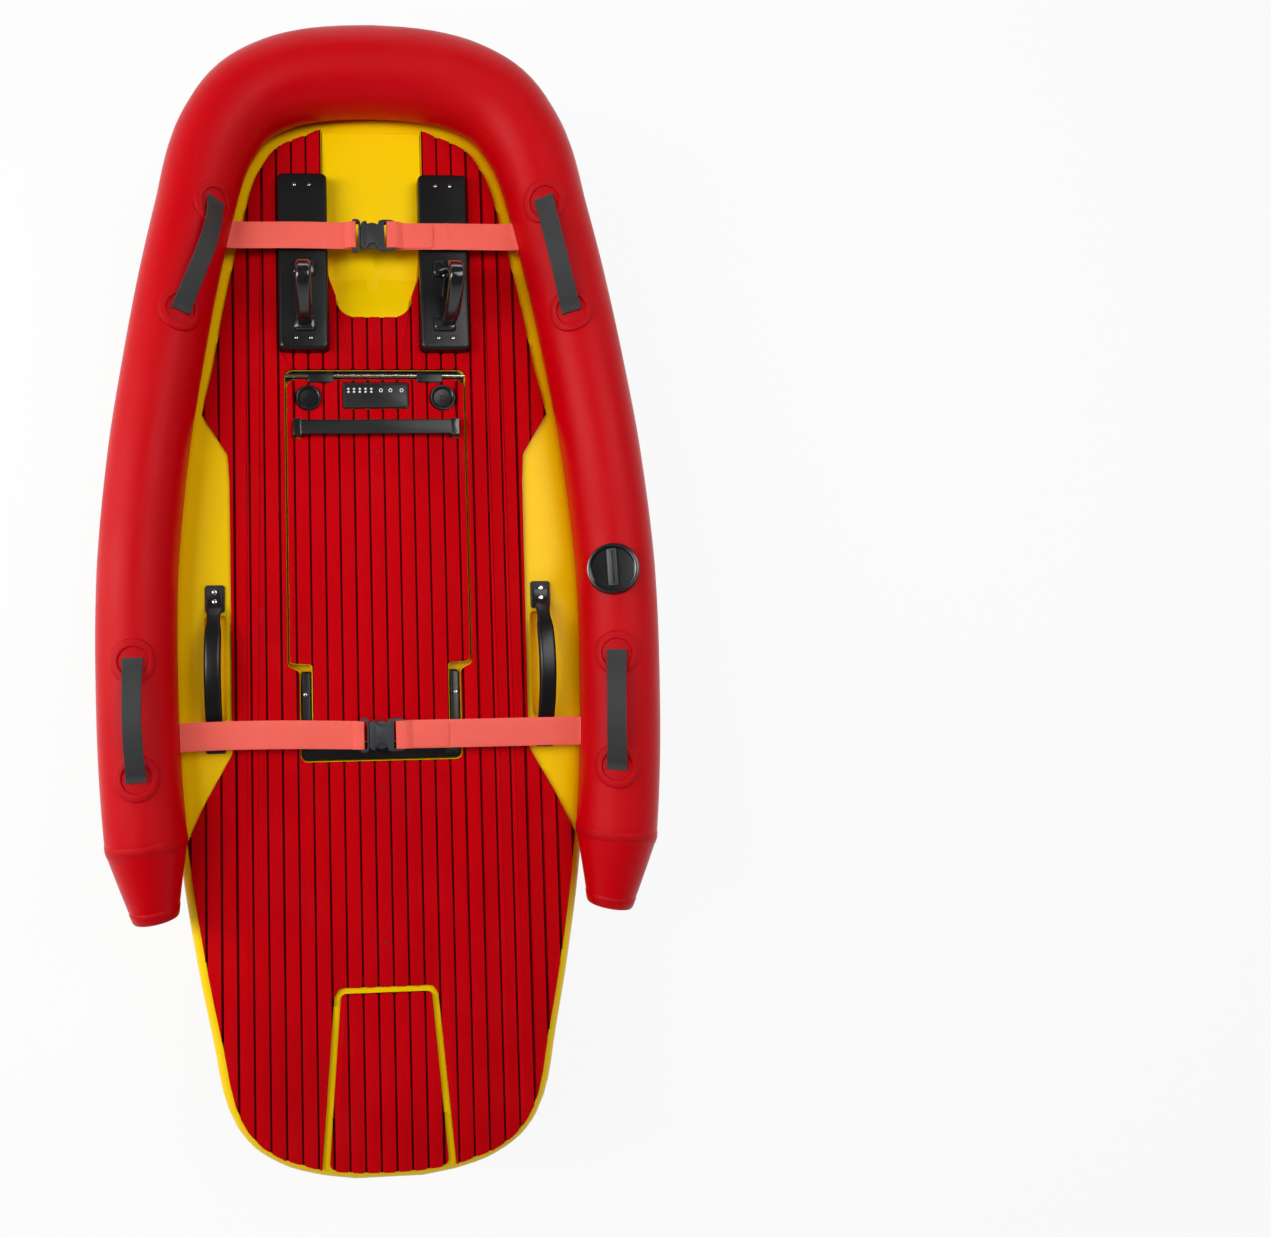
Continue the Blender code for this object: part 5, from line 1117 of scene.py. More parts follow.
def screw_head(
    place: Sequence[float], out: Sequence[float], radius: float, finish_depth: float = 0.5
) -> Solid:
    """A low domed screw head with a socket.

    Args:
        place: middle of its seat.
        out: the way that it faces.
        radius: its radius.
        finish_depth: depth of the socket as a share of its height.

    Returns:
        The solid.
    """
    high = radius * 0.42
    profile = [(0.0, high * (1 - finish_depth)), (radius * 0.40, high * (1 - finish_depth))]
    profile += [(radius * 0.44, high), (radius * 0.72, high * 0.94), (radius * 0.92, high * 0.62)]
    profile += [(radius, high * 0.25), (radius, -0.0002), (0.0, -0.0002)]
    turn = Vector(out).to_track_quat("Z", "Y").to_matrix().to_4x4()
    return lathe(profile, 18, False).moved(Matrix.Translation(place) @ turn)


# The board's lines, shared by the sub-assemblies


STERN_Y = -1.040
HULL_LENGTH = 1.963
HALF_WIDTH = 0.388
NOSE_Y = STERN_Y + HULL_LENGTH
DECK_Z = 0.300
RIM_RADIUS = 0.030
RIM_Z = DECK_Z - RIM_RADIUS
BOTTOM_Z = 0.146
CHANNEL_Z = 0.164
ROCKER_START = 0.15
POD_Z = 0.106
PAD_Z = DECK_Z + GAP
PAD_TOP_Z = PAD_Z + 0.006
OUTLINE = (
    (0.0, 0.155), (0.0045, 0.307), (0.014, 0.472), (0.034, 0.631), (0.067, 0.735), (0.124, 0.798),
    (0.19, 0.866), (0.276, 0.936), (0.371, 0.983), (0.476, 1.0), (0.552, 0.995), (0.654, 0.948),
    (0.7305, 0.889), (0.812, 0.814), (0.878, 0.74), (0.929, 0.675), (0.9545, 0.613), (0.9765, 0.523),
    (0.9903, 0.387), (0.9965, 0.258), (0.9991, 0.129), (1.0, 0.0),
)


def half_width(y: float) -> float:
    """Half width of the hull's rim at a station, on a smooth curve through OUTLINE.

    Args:
        y: the station.

    Returns:
        The half width.
    """
    t = min(max((y - STERN_Y) / HULL_LENGTH, 0.0), 1.0)
    last = len(OUTLINE) - 1
    i = next((k for k in range(last) if t <= OUTLINE[k + 1][0]), last - 1)
    (t1, w1), (t2, w2) = OUTLINE[i], OUTLINE[i + 1]
    t0, w0 = OUTLINE[max(i - 1, 0)]
    t3, w3 = OUTLINE[min(i + 2, last)]
    steepest = 2.5 * abs(w2 - w1) / (t2 - t1)
    slope1 = min(max((w2 - w0) / (t2 - t0), -steepest), steepest)
    slope2 = min(max((w3 - w1) / (t3 - t1), -steepest), steepest)
    span = t2 - t1
    u = (t - t1) / span
    share = (2 * u**3 - 3 * u**2 + 1) * w1 + (u**3 - 2 * u**2 + u) * slope1 * span
    share += (3 * u**2 - 2 * u**3) * w2 + (u**3 - u**2) * slope2 * span
    return share * HALF_WIDTH


def rim_point(y: float, inside: float) -> Point2:
    """A point on the line that runs a given distance inside the hull's rim, starboard side.

    Args:
        y: the station.
        inside: the distance; negative lies outside.

    Returns:
        The point in X and Y.
    """
    step = 0.002
    run = half_width(min(y + step, NOSE_Y)) - half_width(max(y - step, STERN_Y))
    rise = min(y + step, NOSE_Y) - max(y - step, STERN_Y)
    length = math.hypot(run, rise)
    return half_width(y) - inside * rise / length, y + inside * run / length


def stations(low: float, high: float, step: float) -> list[float]:
    """Evenly spread stations from one end to the other, both included."""
    count = max(round((high - low) / step), 1)
    return [low + (high - low) * i / count for i in range(count + 1)]


def rim_stations() -> list[float]:
    """Stations along the rim, close together where it turns at the stern and the nose.

    Returns:
        The stations, from the stern to the nose.
    """
    spread = stations(STERN_Y + 0.1, NOSE_Y - 0.14, 0.03)
    stern = [STERN_Y + 0.1 * (i / 14) ** 2 for i in range(14)]
    nose = [NOSE_Y - 0.14 * (i / 26) ** 2 for i in range(25, 0, -1)]
    return stern + spread + nose


def rim_outline(inside: float) -> list[Point2]:
    """The rim's outline, drawn in by a distance, as a closed line.

    Args:
        inside: the distance; negative lies outside.

    Returns:
        The outline.
    """
    starboard = [rim_point(y, inside) for y in rim_stations()]
    tip = [(0.0, NOSE_Y - inside)]
    return starboard + tip + [(-x, y) for x, y in reversed(starboard)]


@dataclass
class Hull:
    """The hull's bottom shell with its channels, tunnel, rocker and flush panel.

    Attributes:
        flare: how far the chine lies inside the rim.
        keel_drop: crown of the bottom's middle forward.
        wall: shell thickness.
        channel: inner and outer edge of the sponsons' channel in X.
        channel_slope: how far the channel's walls lean.
        sponson_end: rear end of the sponsons in Y.
        tunnel_start: front of the motor tunnel in Y.
        duct_tunnel: front of the duct tunnel in Y.
        tunnel: half widths and heights of the motor tunnel and duct tunnel.
        duct_half: half width of the duct tunnel.
        panel: half width, rear and front of the access panel.
        fin_x: middle of a fin in X.
        panel_gap: gap around the access panel.
        panel_corner: radius of its bed's corners.
        panel_bed: depth of its bed.
        mouth: length of the duct tunnel's open mouth at the stern.
        fin_box: front and length of a fin's box.
        fin_pocket: radius of its pocket's ends, and the pocket's depth.
        gland: Y and radius of the hole for the motor's cable.
    """

    flare: float = 0.064
    keel_drop: float = 0.010
    wall: float = 0.011
    channel: Point2 = (0.143, 0.254)
    channel_slope: float = 0.008
    sponson_end: float = -0.705
    tunnel_start: float = -0.350
    duct_tunnel: float = -0.716
    tunnel: tuple[float, float, float, float] = (0.047, 0.0665, 0.1605, 0.185)
    duct_half: float = 0.079
    panel: tuple[float, float, float] = (0.1025, -0.340, 0.107)
    fin_x: float = 0.2075
    panel_gap: float = 0.001
    panel_corner: float = 0.012
    panel_bed: float = 0.0033
    mouth: float = 0.035
    fin_box: Point2 = (-0.446, 0.149)
    fin_pocket: Point2 = (0.0153, 0.0063)
    gland: Point2 = (-0.55625, 0.0063)

    def keel(self, y: float) -> float:
        """Height of the flat bottom at a station.

        Args:
            y: the station.

        Returns:
            The height.
        """
        if y <= ROCKER_START:
            return BOTTOM_Z
        t = (y - ROCKER_START) / (NOSE_Y - ROCKER_START)
        return BOTTOM_Z + (RIM_Z - 0.036 - BOTTOM_Z) * t**2

    def section(self, y: float) -> list[Point2]:
        """The starboard half of the outer section at a station, from the keel to the rim.

        Args:
            y: the station.

        Returns:
            Its points in X and Z.
        """
        width = half_width(y)
        flare = min(self.flare, width * 0.35)
        chine = width - flare
        keel = self.keel(y)
        rocker = (y - ROCKER_START) / (NOSE_Y - ROCKER_START)
        drop = self.keel_drop * math.sin(math.pi * rocker) if rocker > 0 else 0.0
        channel = max(keel, CHANNEL_Z)
        sponson = keel if y > self.sponson_end else channel
        roof, lip, motor_top, duct_top = self.tunnel
        tunnel = keel - drop
        if y < self.duct_tunnel:
            tunnel, roof, lip = duct_top, self.duct_half - 0.012, self.duct_half
        elif y < self.tunnel_start - 0.001:
            tunnel = motor_top
        inner, outer = self.channel
        lines = [
            (roof, tunnel if y < self.tunnel_start - 0.001 else keel - drop * 0.7),
            (lip, keel - drop * 0.55),
            (inner, keel),
            (inner + self.channel_slope, channel),
            (outer - self.channel_slope, channel),
            (outer, sponson),
            (outer + 0.040, sponson),
        ]
        room = chine * 0.97
        spare = room / (len(lines) + 1)
        section = [(0.0, tunnel)]
        for i, (x, z) in enumerate(lines):
            limit = room - 0.0035 * (len(lines) - 1 - i)
            section.append((min(x, max(limit, spare * (i + 1))), z))
        edge = max(z for _, z in section[-3:])
        section.append((chine, edge + 0.006))
        section.append((width - flare * 0.18, RIM_Z - 0.030))
        section.append((width, RIM_Z))
        return fillet(section, 0.007, 4, False)

    def stations(self) -> list[float]:
        """Stations along the hull, with none inside its steps.

        Returns:
            The stations, from the stern to the nose.
        """
        steps = [self.sponson_end, self.duct_tunnel]
        spots = set(rim_stations())
        kept = [y for y in spots if all(abs(y - step) > 0.002 for step in steps)]
        kept = [y for y in kept if not self.tunnel_start - 0.030 < y < self.tunnel_start]
        for step in steps:
            kept += [step - 0.001, step + 0.001]
        kept += [self.tunnel_start - 0.030, self.tunnel_start, ROCKER_START]
        return sorted(kept)

    def ring(self, y: float, half: Sequence[Point2]) -> list[tuple[float, float, float]]:
        """A whole section from its starboard half."""
        port = [(-x, y, z) for x, z in reversed(half) if x > 0]
        return port + [(x, y, z) for x, z in half]

    def cavity(self) -> Solid:
        """The hull's hollow.

        Returns:
            The hollow as a solid.
        """
        floor_z, block_z = CHANNEL_Z + self.wall, self.tunnel[3] + self.wall / 2
        spots = [STERN_Y + ahead for ahead in (0.045, 0.070, 0.140, 0.240, 0.440, 0.640)]
        spots += [self.tunnel_start + 0.020, self.tunnel_start + 0.022, -0.15, 0.05, 0.25, 0.400, 0.55]
        spots += [NOSE_Y - back for back in (0.243, 0.143, 0.083)]
        rings = []
        for y in sorted(spots):
            width = min(half_width(y - 0.022), half_width(y + 0.022))
            floor = max(floor_z, self.keel(y) + self.wall)
            middle = block_z if y < self.tunnel_start + 0.021 else floor
            foot = width - min(self.flare, width * 0.35) - self.wall
            reach = min(self.duct_half + self.wall / 2, foot * 0.80)
            half = [(0.0, middle), (reach, middle), (reach + 0.004, floor), (foot, floor + 0.004)]
            half += [(width - self.wall, RIM_Z - 0.022), (width - self.wall, RIM_Z + 0.010)]
            rings.append(self.ring(y, half))
        return loft(rings)

    def shell(self) -> None:
        """The bottom shell, with the panel's bed, the fins' pockets and the stern's mouth cut in."""
        outer = loft([self.ring(y, self.section(y)) for y in self.stations()])
        half, rear, front = self.panel
        gap = self.panel_gap
        bed = rectangle(half + gap, rear - gap, front + gap, self.panel_corner)
        bed = prism(bed, BOTTOM_Z - PAST, BOTTOM_Z + self.panel_bed)
        low = (-self.duct_half, STERN_Y - PAST, BOTTOM_Z - PAST)
        mouth = block(low, (self.duct_half, STERN_Y + self.mouth, self.tunnel[3]), 0.004)
        radius, depth = self.fin_pocket
        outlines = [self.fin_outline(side, radius) for side in (-1, 1)]
        pockets = [prism(outline, CHANNEL_Z - PAST, CHANNEL_Z + depth) for outline in outlines]
        y, radius = self.gland
        gland = rod((0.0, y, 0.150), (0.0, y, 0.200), radius, 16)
        hull = Piece("hull_bottom", BOARD, ("hull_shell",), 32.0).add(HULL_PAINT, outer)
        hull.build(self.cavity(), mouth, bed, *pockets, gland)

    def fin_outline(self, side: int, radius: float) -> list[Point2]:
        """Outline of a fin's box, with round ends.

        Args:
            side: -1 to port, 1 to starboard.
            radius: radius of its ends.

        Returns:
            The outline.
        """
        front, length = self.fin_box
        x = side * self.fin_x
        high, low = front - 0.015, front - length + 0.015
        return arc(x, high, radius, 180, 0, 12) + arc(x, low, radius, 0, -180, 12)

    def access_panel(self) -> None:
        """The flush panel with its screws."""
        half, rear, front = self.panel
        outline = rectangle(half - 0.001, rear + 0.001, front - 0.001, 0.011)
        panel = Piece("bottom_panel", BOARD, ("access_panel",))
        panel.add(HULL_PAINT, prism(outline, BOTTOM_Z + 0.0002, BOTTOM_Z + 0.003, 0.0008))
        for side in (-1, 1):
            for share in (0.035, 0.345, 0.655, 0.965):
                spot = (side * (half - 0.009), front + (rear - front) * share, BOTTOM_Z + 0.0002)
                panel.add(STEEL, screw_head(spot, DOWN, 0.0045))
        panel.build()

    def make(self) -> None:
        """Builds the hull."""
        self.shell()
        self.access_panel()


@dataclass
class Deck:
    """The yellow deck with its rounded rim, hatch well, nose recess and finger pockets.

    Attributes:
        wall: deck thickness.
        ledge: depth of the well's ledge.
        tail_depth: depth of the well's tail.
        recess_depth: depth of the nose recess.
        recess_width: half width of the nose recess in front.
        recess_end: rear end of the nose recess in Y, and its corners' radius.
        well_half: half width of the hatch well.
        well_front: its front edge.
        step_y: where it narrows.
        tail_half: half width of its tail.
        rear_y: its rear edge.
        bay: half width, rear and front of the battery bay's opening.
        pocket_x: middle of a finger pocket in X.
        pocket_floor: height of its floor.
    """

    wall: float = 0.0045
    ledge: float = 0.024
    tail_depth: float = 0.060
    recess_depth: float = 0.022
    recess_width: float = 0.094
    recess_end: Point2 = (0.522, 0.036)
    well_half: float = 0.168
    well_front: float = 0.4195
    step_y: float = -0.126
    tail_half: float = 0.146
    rear_y: float = -0.3005
    bay: tuple[float, float, float] = (0.146, -0.096, 0.386)
    pocket_x: float = 0.2985
    pocket_floor: float = 0.272

    def profile(self, radius: float, top: float) -> list[Point2]:
        """Distance inside the rim and height along the rounded edge, from the rim inwards.

        Args:
            radius: the edge's radius.
            top: the height that it reaches.

        Returns:
            Pairs of distance and height.
        """
        points = []
        for i in range(11):
            angle = math.pi / 2 * i / 10
            rise = (top - RIM_Z - GAP) * math.sin(angle)
            points.append((RIM_RADIUS - radius * math.cos(angle), RIM_Z + GAP + rise))
        return points

    def well(self, grow: float) -> list[Point2]:
        """The hatch well seen from above, grown outwards.

        Args:
            grow: how far it is grown.

        Returns:
            The outline.
        """
        half, tail = self.well_half + grow, self.tail_half + grow
        front, step, rear = self.well_front + grow, self.step_y - grow, self.rear_y - grow
        corner, tail_corner = 0.014, 0.012
        points = arc(half - corner, front - corner, corner, 90, 0, 8)
        shoulder = [(half, step + 0.02), (half, step), (tail, step - 0.012), (tail, step - 0.03)]
        points += fillet(shoulder, 0.006, 4, False)[1:-1]
        points += arc(tail - tail_corner, rear + tail_corner, tail_corner, 0, -90, 8)
        return mirrored(points)

    def recess(self, grow: float) -> list[Point2]:
        """The nose recess: straight sides that draw in to a rounded rear end.

        Args:
            grow: how far it is grown.

        Returns:
            The outline.
        """
        half = self.recess_width + grow
        narrow = half * 0.74
        side = [(half, 0.880 + grow), (half, NOSE_Y - 0.251), (half * 0.93, NOSE_Y - 0.313)]
        side.append((narrow, NOSE_Y - 0.363))
        end, corner = self.recess_end
        soft = [side[0]] + fillet(side, 0.02, 5, False)[1:-1] + [side[-1]]
        return mirrored(soft + arc(narrow - corner, end + corner - grow, corner, 0, -90, 10))

    def pocket(self, side: int, grow: float) -> tuple[float, float, float, float]:
        """Low and high X, rear and front of the finger pocket under a carry handle.

        Args:
            side: -1 to port, 1 to starboard.
            grow: how far it is grown.

        Returns:
            The four edges.
        """
        reach = 0.020 + grow
        low, high = sorted((side * (self.pocket_x - reach), side * (self.pocket_x + reach)))
        return low, high, -0.227 - grow, -0.0335 + grow

    def shell(self) -> None:
        """The deck itself."""
        outer = self.profile(RIM_RADIUS, DECK_Z)
        inner = self.profile(RIM_RADIUS - self.wall, DECK_Z - self.wall)
        rings = [[(x, y, z) for x, y in rim_outline(inside)] for inside, z in inner[::-1] + outer]
        deck = Piece("deck", BOARD, ("deck_shell",), 30.0).add(YELLOW, loft(rings))
        under = DECK_Z + GAP - self.wall / 2
        ledge = DECK_Z - self.ledge
        joins = [prism(self.well(0.004), ledge - 0.004, under)]
        tail = DECK_Z - self.tail_depth
        joins.append(prism(rectangle(0.150, self.rear_y - 0.004, -0.134, 0.010), tail, ledge))
        joins.append(prism(self.recess(self.wall), DECK_Z - self.recess_depth - self.wall, under))
        cuts = [prism(self.well(0.0), ledge, DECK_Z + PAST)]
        cuts.append(prism(rectangle(self.tail_half, self.rear_y, -0.138, 0.006), tail + 0.004, ledge + PAST))
        half, rear, front = self.bay
        cuts.append(prism(rectangle(half, rear, front, 0.008), ledge - 0.02, ledge + PAST))
        cuts.append(prism(self.recess(0.0), DECK_Z - self.recess_depth, DECK_Z + PAST))
        for side in (-1, 1):
            for grow, floor, roof, into in (
                (self.wall, self.pocket_floor - self.wall, under, joins),
                (0.0, self.pocket_floor, DECK_Z + PAST, cuts),
            ):
                low, high, rear, front = self.pocket(side, grow)
                outline = rectangle((high - low) / 2, rear, front, 0.008 + grow, (low + high) / 2)
                into.append(prism(outline, floor, roof))
        cuts.append(rod((-0.1708, 0.410, DECK_Z), (0.1708, 0.410, DECK_Z), 0.0034, 16))
        deck.build(*cuts, joins=joins)

    def recess_floor(self) -> None:
        """The nose recess's moulded floor: a shallow front plane, a keel line and a raised rear scoop."""
        floor = DECK_Z - self.recess_depth + 0.0002
        rows = (
            (0.8797, (0.0217, 0.0217, 0.0217, 0.0217)),
            (0.735, (0.0150, 0.0150, 0.0152, 0.0160)),
            (0.728, (0.0140, 0.0138, 0.0136, 0.0135)),
            (0.600, (0.0120, 0.0085, 0.0040, 0.0050)),
            (0.575, (0.0095, 0.0100, 0.0120, 0.0140)),
            (0.558, (0.0130, 0.0134, 0.0146, 0.0155)),
            (0.548, (0.0156, 0.0158, 0.0166, 0.0168)),
            (0.540, (0.0176, 0.0178, 0.0182, 0.0178)),
            (0.533, (0.0192, 0.0193, 0.0194, 0.0184)),
            (0.527, (0.0202, 0.0202, 0.0200, 0.0188)),
            (0.5225, (0.0205, 0.0205, 0.0203, 0.0190)),
        )
        shares = (0.0, 0.14, 0.66, 0.985)
        rings = []
        for y, heights in rows:
            half = self.recess_half(y)
            top = [(half * share, floor + height) for share, height in zip(shares, heights)]
            ring = [(-x, y, z) for x, z in reversed(top) if x > 0] + [(x, y, z) for x, z in top]
            ring += [(half * 0.985, y, floor), (-half * 0.985, y, floor)]
            rings.append(ring)
        Piece("recess_floor", BOARD, (), 12.0).add(YELLOW, loft(rings)).build()

    def recess_half(self, y: float) -> float:
        """Half width of the nose recess at a station.

        Args:
            y: the station.

        Returns:
            The half width.
        """
        line = [
            (self.recess_end[0], 0.037), (0.5235, 0.046), (0.530, 0.0575), (0.540, 0.065), (0.558, 0.0695)
        ]
        line += [(0.610, 0.0874), (0.672, self.recess_width), (0.9, self.recess_width)]
        for (y1, x1), (y2, x2) in zip(line, line[1:]):
            if y1 <= y <= y2:
                return x1 + (x2 - x1) * (y - y1) / (y2 - y1)
        return self.recess_width

    def make(self) -> None:
        """Builds the deck."""
        self.shell()
        self.recess_floor()


@dataclass
class PlankPad:
    """A foam pad cut into planks: a thin base and raised planks with soft edges between grooves.

    Attributes:
        name: the piece's name.
        body: the body that it rides on.
        node: the CAD node that it replaces.
        outline: its outer edge.
        holes: outlines cut out of it.
        drains: places of its drain holes.
        pitch: distance between grooves.
        groove: width of a groove.
        base: thickness under the grooves.
        edge: radius of a plank's edge.
        corner: radius of a plank's corners.
    """

    name: str
    body: str
    node: str
    outline: list[Point2]
    holes: list[list[Point2]] = field(default_factory=list)
    drains: list[Point2] = field(default_factory=list)
    pitch: float = 0.0275
    groove: float = 0.0034
    base: float = 0.0024
    edge: float = 0.0010
    corner: float = 0.0055

    def fill(self) -> bmesh.types.BMesh:
        """The pad's flat area as triangles, with its holes left open.

        Returns:
            The triangles, to be freed by the caller.
        """
        bm = bmesh.new()
        for line in [self.outline] + self.holes:
            corners = [bm.verts.new((x, y, 0.0)) for x, y in line]
            for i, corner in enumerate(corners):
                bm.edges.new((corners[i - 1], corner))
        bmesh.ops.triangle_fill(bm, use_beauty=True, use_dissolve=False, edges=bm.edges[:], normal=(0, 0, 1))
        return bm

    def bed(self) -> Solid:
        """The thin layer under the planks.

        Returns:
            The layer as a solid.
        """
        bm = self.fill()
        bm.verts.index_update()
        points = [Vector((vert.co.x, vert.co.y, PAD_Z + self.base)) for vert in bm.verts]
        count = len(points)
        points += [Vector((point.x, point.y, PAD_Z)) for point in points]
        faces = [[vert.index for vert in face.verts] for face in bm.faces]
        for link in bm.edges:
            if len(link.link_faces) == 1:
                a, b = (vert.index for vert in link.verts)
                faces.append([a, b, b + count, a + count])
        bm.free()
        return Solid(points, faces)

    def loops(self) -> list[list[Point2]]:
        """The outline of each plank.

        Returns:
            The outlines.
        """
        bm = self.fill()
        reach = max(abs(x) for x, _ in self.outline)
        count = int(reach / self.pitch) + 2
        middles = [(k + 0.5) * self.pitch for k in range(-count, count)]
        for middle in middles:
            for x in (middle - self.groove / 2, middle + self.groove / 2):
                geometry = bm.verts[:] + bm.edges[:] + bm.faces[:]
                bmesh.ops.bisect_plane(bm, geom=geometry, dist=1e-7, plane_co=(x, 0, 0), plane_no=(1, 0, 0))
        gone = []
        for face in bm.faces:
            x = face.calc_center_median().x
            nearest = min(abs(x - middle) for middle in middles)
            if nearest < self.groove / 2:
                gone.append(face)
        bmesh.ops.delete(bm, geom=gone, context="FACES")
        found = self.walk(bm)
        bm.free()
        return found

    def walk(self, bm: bmesh.types.BMesh) -> list[list[Point2]]:
        """Follows the open edges of flat faces.

        Args:
            bm: the faces.

        Returns:
            The closed lines that are large enough to be planks.
        """
        open_edges = {link: None for link in bm.edges if len(link.link_faces) == 1}
        lines = []
        while open_edges:
            first = next(iter(open_edges))
            del open_edges[first]
            start, here = first.verts[0], first.verts[1]
            line = [start, here]
            while here is not start:
                step = next((link for link in here.link_edges if link in open_edges), None)
                if step is None:
                    break
                del open_edges[step]
                here = step.other_vert(here)
                line.append(here)
            points = self.tidy([(vert.co.x, vert.co.y) for vert in line[:-1]])
            if len(points) > 2 and abs(self.area(points)) > 0.00008:
                lines.append(points if self.area(points) > 0 else points[::-1])
        return lines

    def area(self, points: Sequence[Point2]) -> float:
        """Signed area of an outline."""
        pairs = zip(points, points[1:] + points[:1])
        return sum(x1 * y2 - x2 * y1 for (x1, y1), (x2, y2) in pairs) / 2

    def tidy(self, points: Sequence[Point2]) -> list[Point2]:
        """Drops the points of an outline that lie on a straight run or on each other.

        Args:
            points: the outline.

        Returns:
            The points that stay.
        """
        kept: list[Point2] = []
        count = len(points)
        for i in range(count):
            before, here, after = Vector(points[i - 1]), Vector(points[i]), Vector(points[(i + 1) % count])
            first, second = here - before, after - here
            if first.length < 2e-5:
                continue
            if second.length > 1e-9 and abs(first.normalized().cross(second.normalized())) < 0.004:
                continue
            kept.append(tuple(here))
        return kept

    def soft(self, points: Sequence[Point2]) -> list[Point2]:
        """Rounds an outline's sharp corners only.

        Args:
            points: the outline.

        Returns:
            The rounded outline.
        """
        line: list[Point2] = []
        count = len(points)
        for i in range(count):
            before, here, after = Vector(points[i - 1]), Vector(points[i]), Vector(points[(i + 1) % count])
            first, second = (before - here), (after - here)
            turn = math.pi - first.angle(second, math.pi)
            reach = min(self.corner, first.length * 0.45, second.length * 0.45)
            if turn < math.radians(24) or reach < 0.0006:
                line.append(tuple(here))
                continue
            a, b = here + first.normalized() * reach, here + second.normalized() * reach
            for k in range(5):
                t = k / 4
                spot = a * (1 - t) ** 2 + here * 2 * t * (1 - t) + b * t**2
                line.append((spot.x, spot.y))
        return line

    def plank(self, outline: Sequence[Point2]) -> Solid:
        """One raised plank.

        Args:
            outline: its outline.

        Returns:
            The plank as a solid.
        """
        line = self.soft(outline)
        rings = [[(x, y, PAD_Z + self.base * 0.5) for x, y in line]]
        for k in range(4):
            angle = math.pi / 2 * k / 3
            back, up = self.edge * (1 - math.cos(angle)), PAD_TOP_Z - self.edge * (1 - math.sin(angle))
            rings.append([(x, y, up) for x, y in inset(line, back)])
        return loft(rings)

    def drain(self, place: Point2) -> Solid:
        """A drain hole: a thin lip around a shallow black cup whose black is painted shade for the hole's
        depth.

        Args:
            place: its middle in X and Y.

        Returns:
            The eyelet as a solid.
        """
        top = PAD_TOP_Z
        profile = [
            (0.0, top - 0.0002), (0.0021, top - 0.0002), (0.0025, top + 0.0004), (0.0031, top + 0.0005)
        ]
        profile += [(0.0036, top - 0.0004), (0.0, top - 0.0006)]
        return lathe(profile, 20, False).shifted(place[0], place[1])

    def make(self) -> None:
        """Builds the pad."""
        pad = Piece(self.name, self.body, (self.node,), 50.0)
        pad.add(DECK_FOAM, self.bed())
        pad.add(DECK_FOAM, *(self.plank(line) for line in self.loops()))
        # painted shade: black cups stand in for the shade inside the drain holes
        pad.add(RUBBER, *(self.drain(place) for place in self.drains))
        pad.build()


@dataclass
class Pads:
    """The pads on the deck: the main pad and the kick pad on the tail.

    Attributes:
        deck: the deck that they lie on.
        edge: gap that they leave around openings.
    """

    deck: Deck
    edge: float = 0.0015

    def main_outline(self) -> list[Point2]:
        """Outer edge of the main pad, with the nose recess let in from the front.

        Returns:
            The outline.
        """
        half = self.deck.recess_width + self.edge
        inner = self.deck.recess(self.edge)
        rear = [(x, y) for x, y in inner if y < 0.8 and 0 < x < 0.0847]
        base = [(0.0847, 0.5987)] + arc(0.0937, 0.4607, 0.009, 180, 270, 5)
        base += arc(
            0.1683, 0.4607, 0.009, -90, 0, 5
        ) + arc(0.1683, 0.7778, 0.009, 0, 90, 5) + [(half, 0.7868)]
        points = rear[::-1] + base + [(half, NOSE_Y - 0.039)]
        backs = (
            0.0145, 0.018, 0.024, 0.030, 0.040, 0.051, 0.064, 0.078, 0.100, 0.123, 0.150, 0.183, 0.228,
            0.273, 0.328, 0.383, 0.438, 0.493,
        )
        rim = [rim_point(NOSE_Y - back, 0.040) for back in backs]
        points += [point for point in rim if point[0] > half + 0.004]
        points.append(rim_point(0.342, 0.034))
        points += [(0.2735, 0.260), (0.2705, 0.210), (0.2685, -0.282), (0.3165, -0.367)]
        points.append(rim_point(-0.440, 0.021))
        for ahead in (
            0.52, 0.47, 0.42, 0.37, 0.32, 0.27, 0.22, 0.18, 0.14, 0.115, 0.09, 0.07, 0.055, 0.043, 0.032
        ):
            points.append(rim_point(STERN_Y + ahead, 0.021))
        points += [(0.1182, STERN_Y + 0.030), (0.093, -0.715), (0.083, -0.700)]
        return mirrored(points)

    def kick_outline(self) -> list[Point2]:
        """Outline of the kick pad.

        Returns:
            The outline.
        """
        points = [(0.0, -0.711)] + arc(0.072, -0.721, 0.010, 90, 0, 6)
        edge = [
            (0.082, -0.74), (0.105, STERN_Y + 0.036), (0.095, STERN_Y + 0.0275), (0.0525, STERN_Y + 0.023)
        ]
        points += fillet(edge, 0.008, 4, False)[1:]
        return mirrored(points + [(0.0, STERN_Y + 0.0215)])

    def make(self) -> None:
        """Builds both pads."""
        holes = [self.deck.well(self.edge * 0.5)]
        drains = [(0.0, y) for y in stations(-0.351, -0.621, 0.054)]
        PlankPad("main_pad", BOARD, "deck_pad", self.main_outline(), holes, drains).make()
        PlankPad("tail_pad", BOARD, "kick_pad", self.kick_outline()).make()


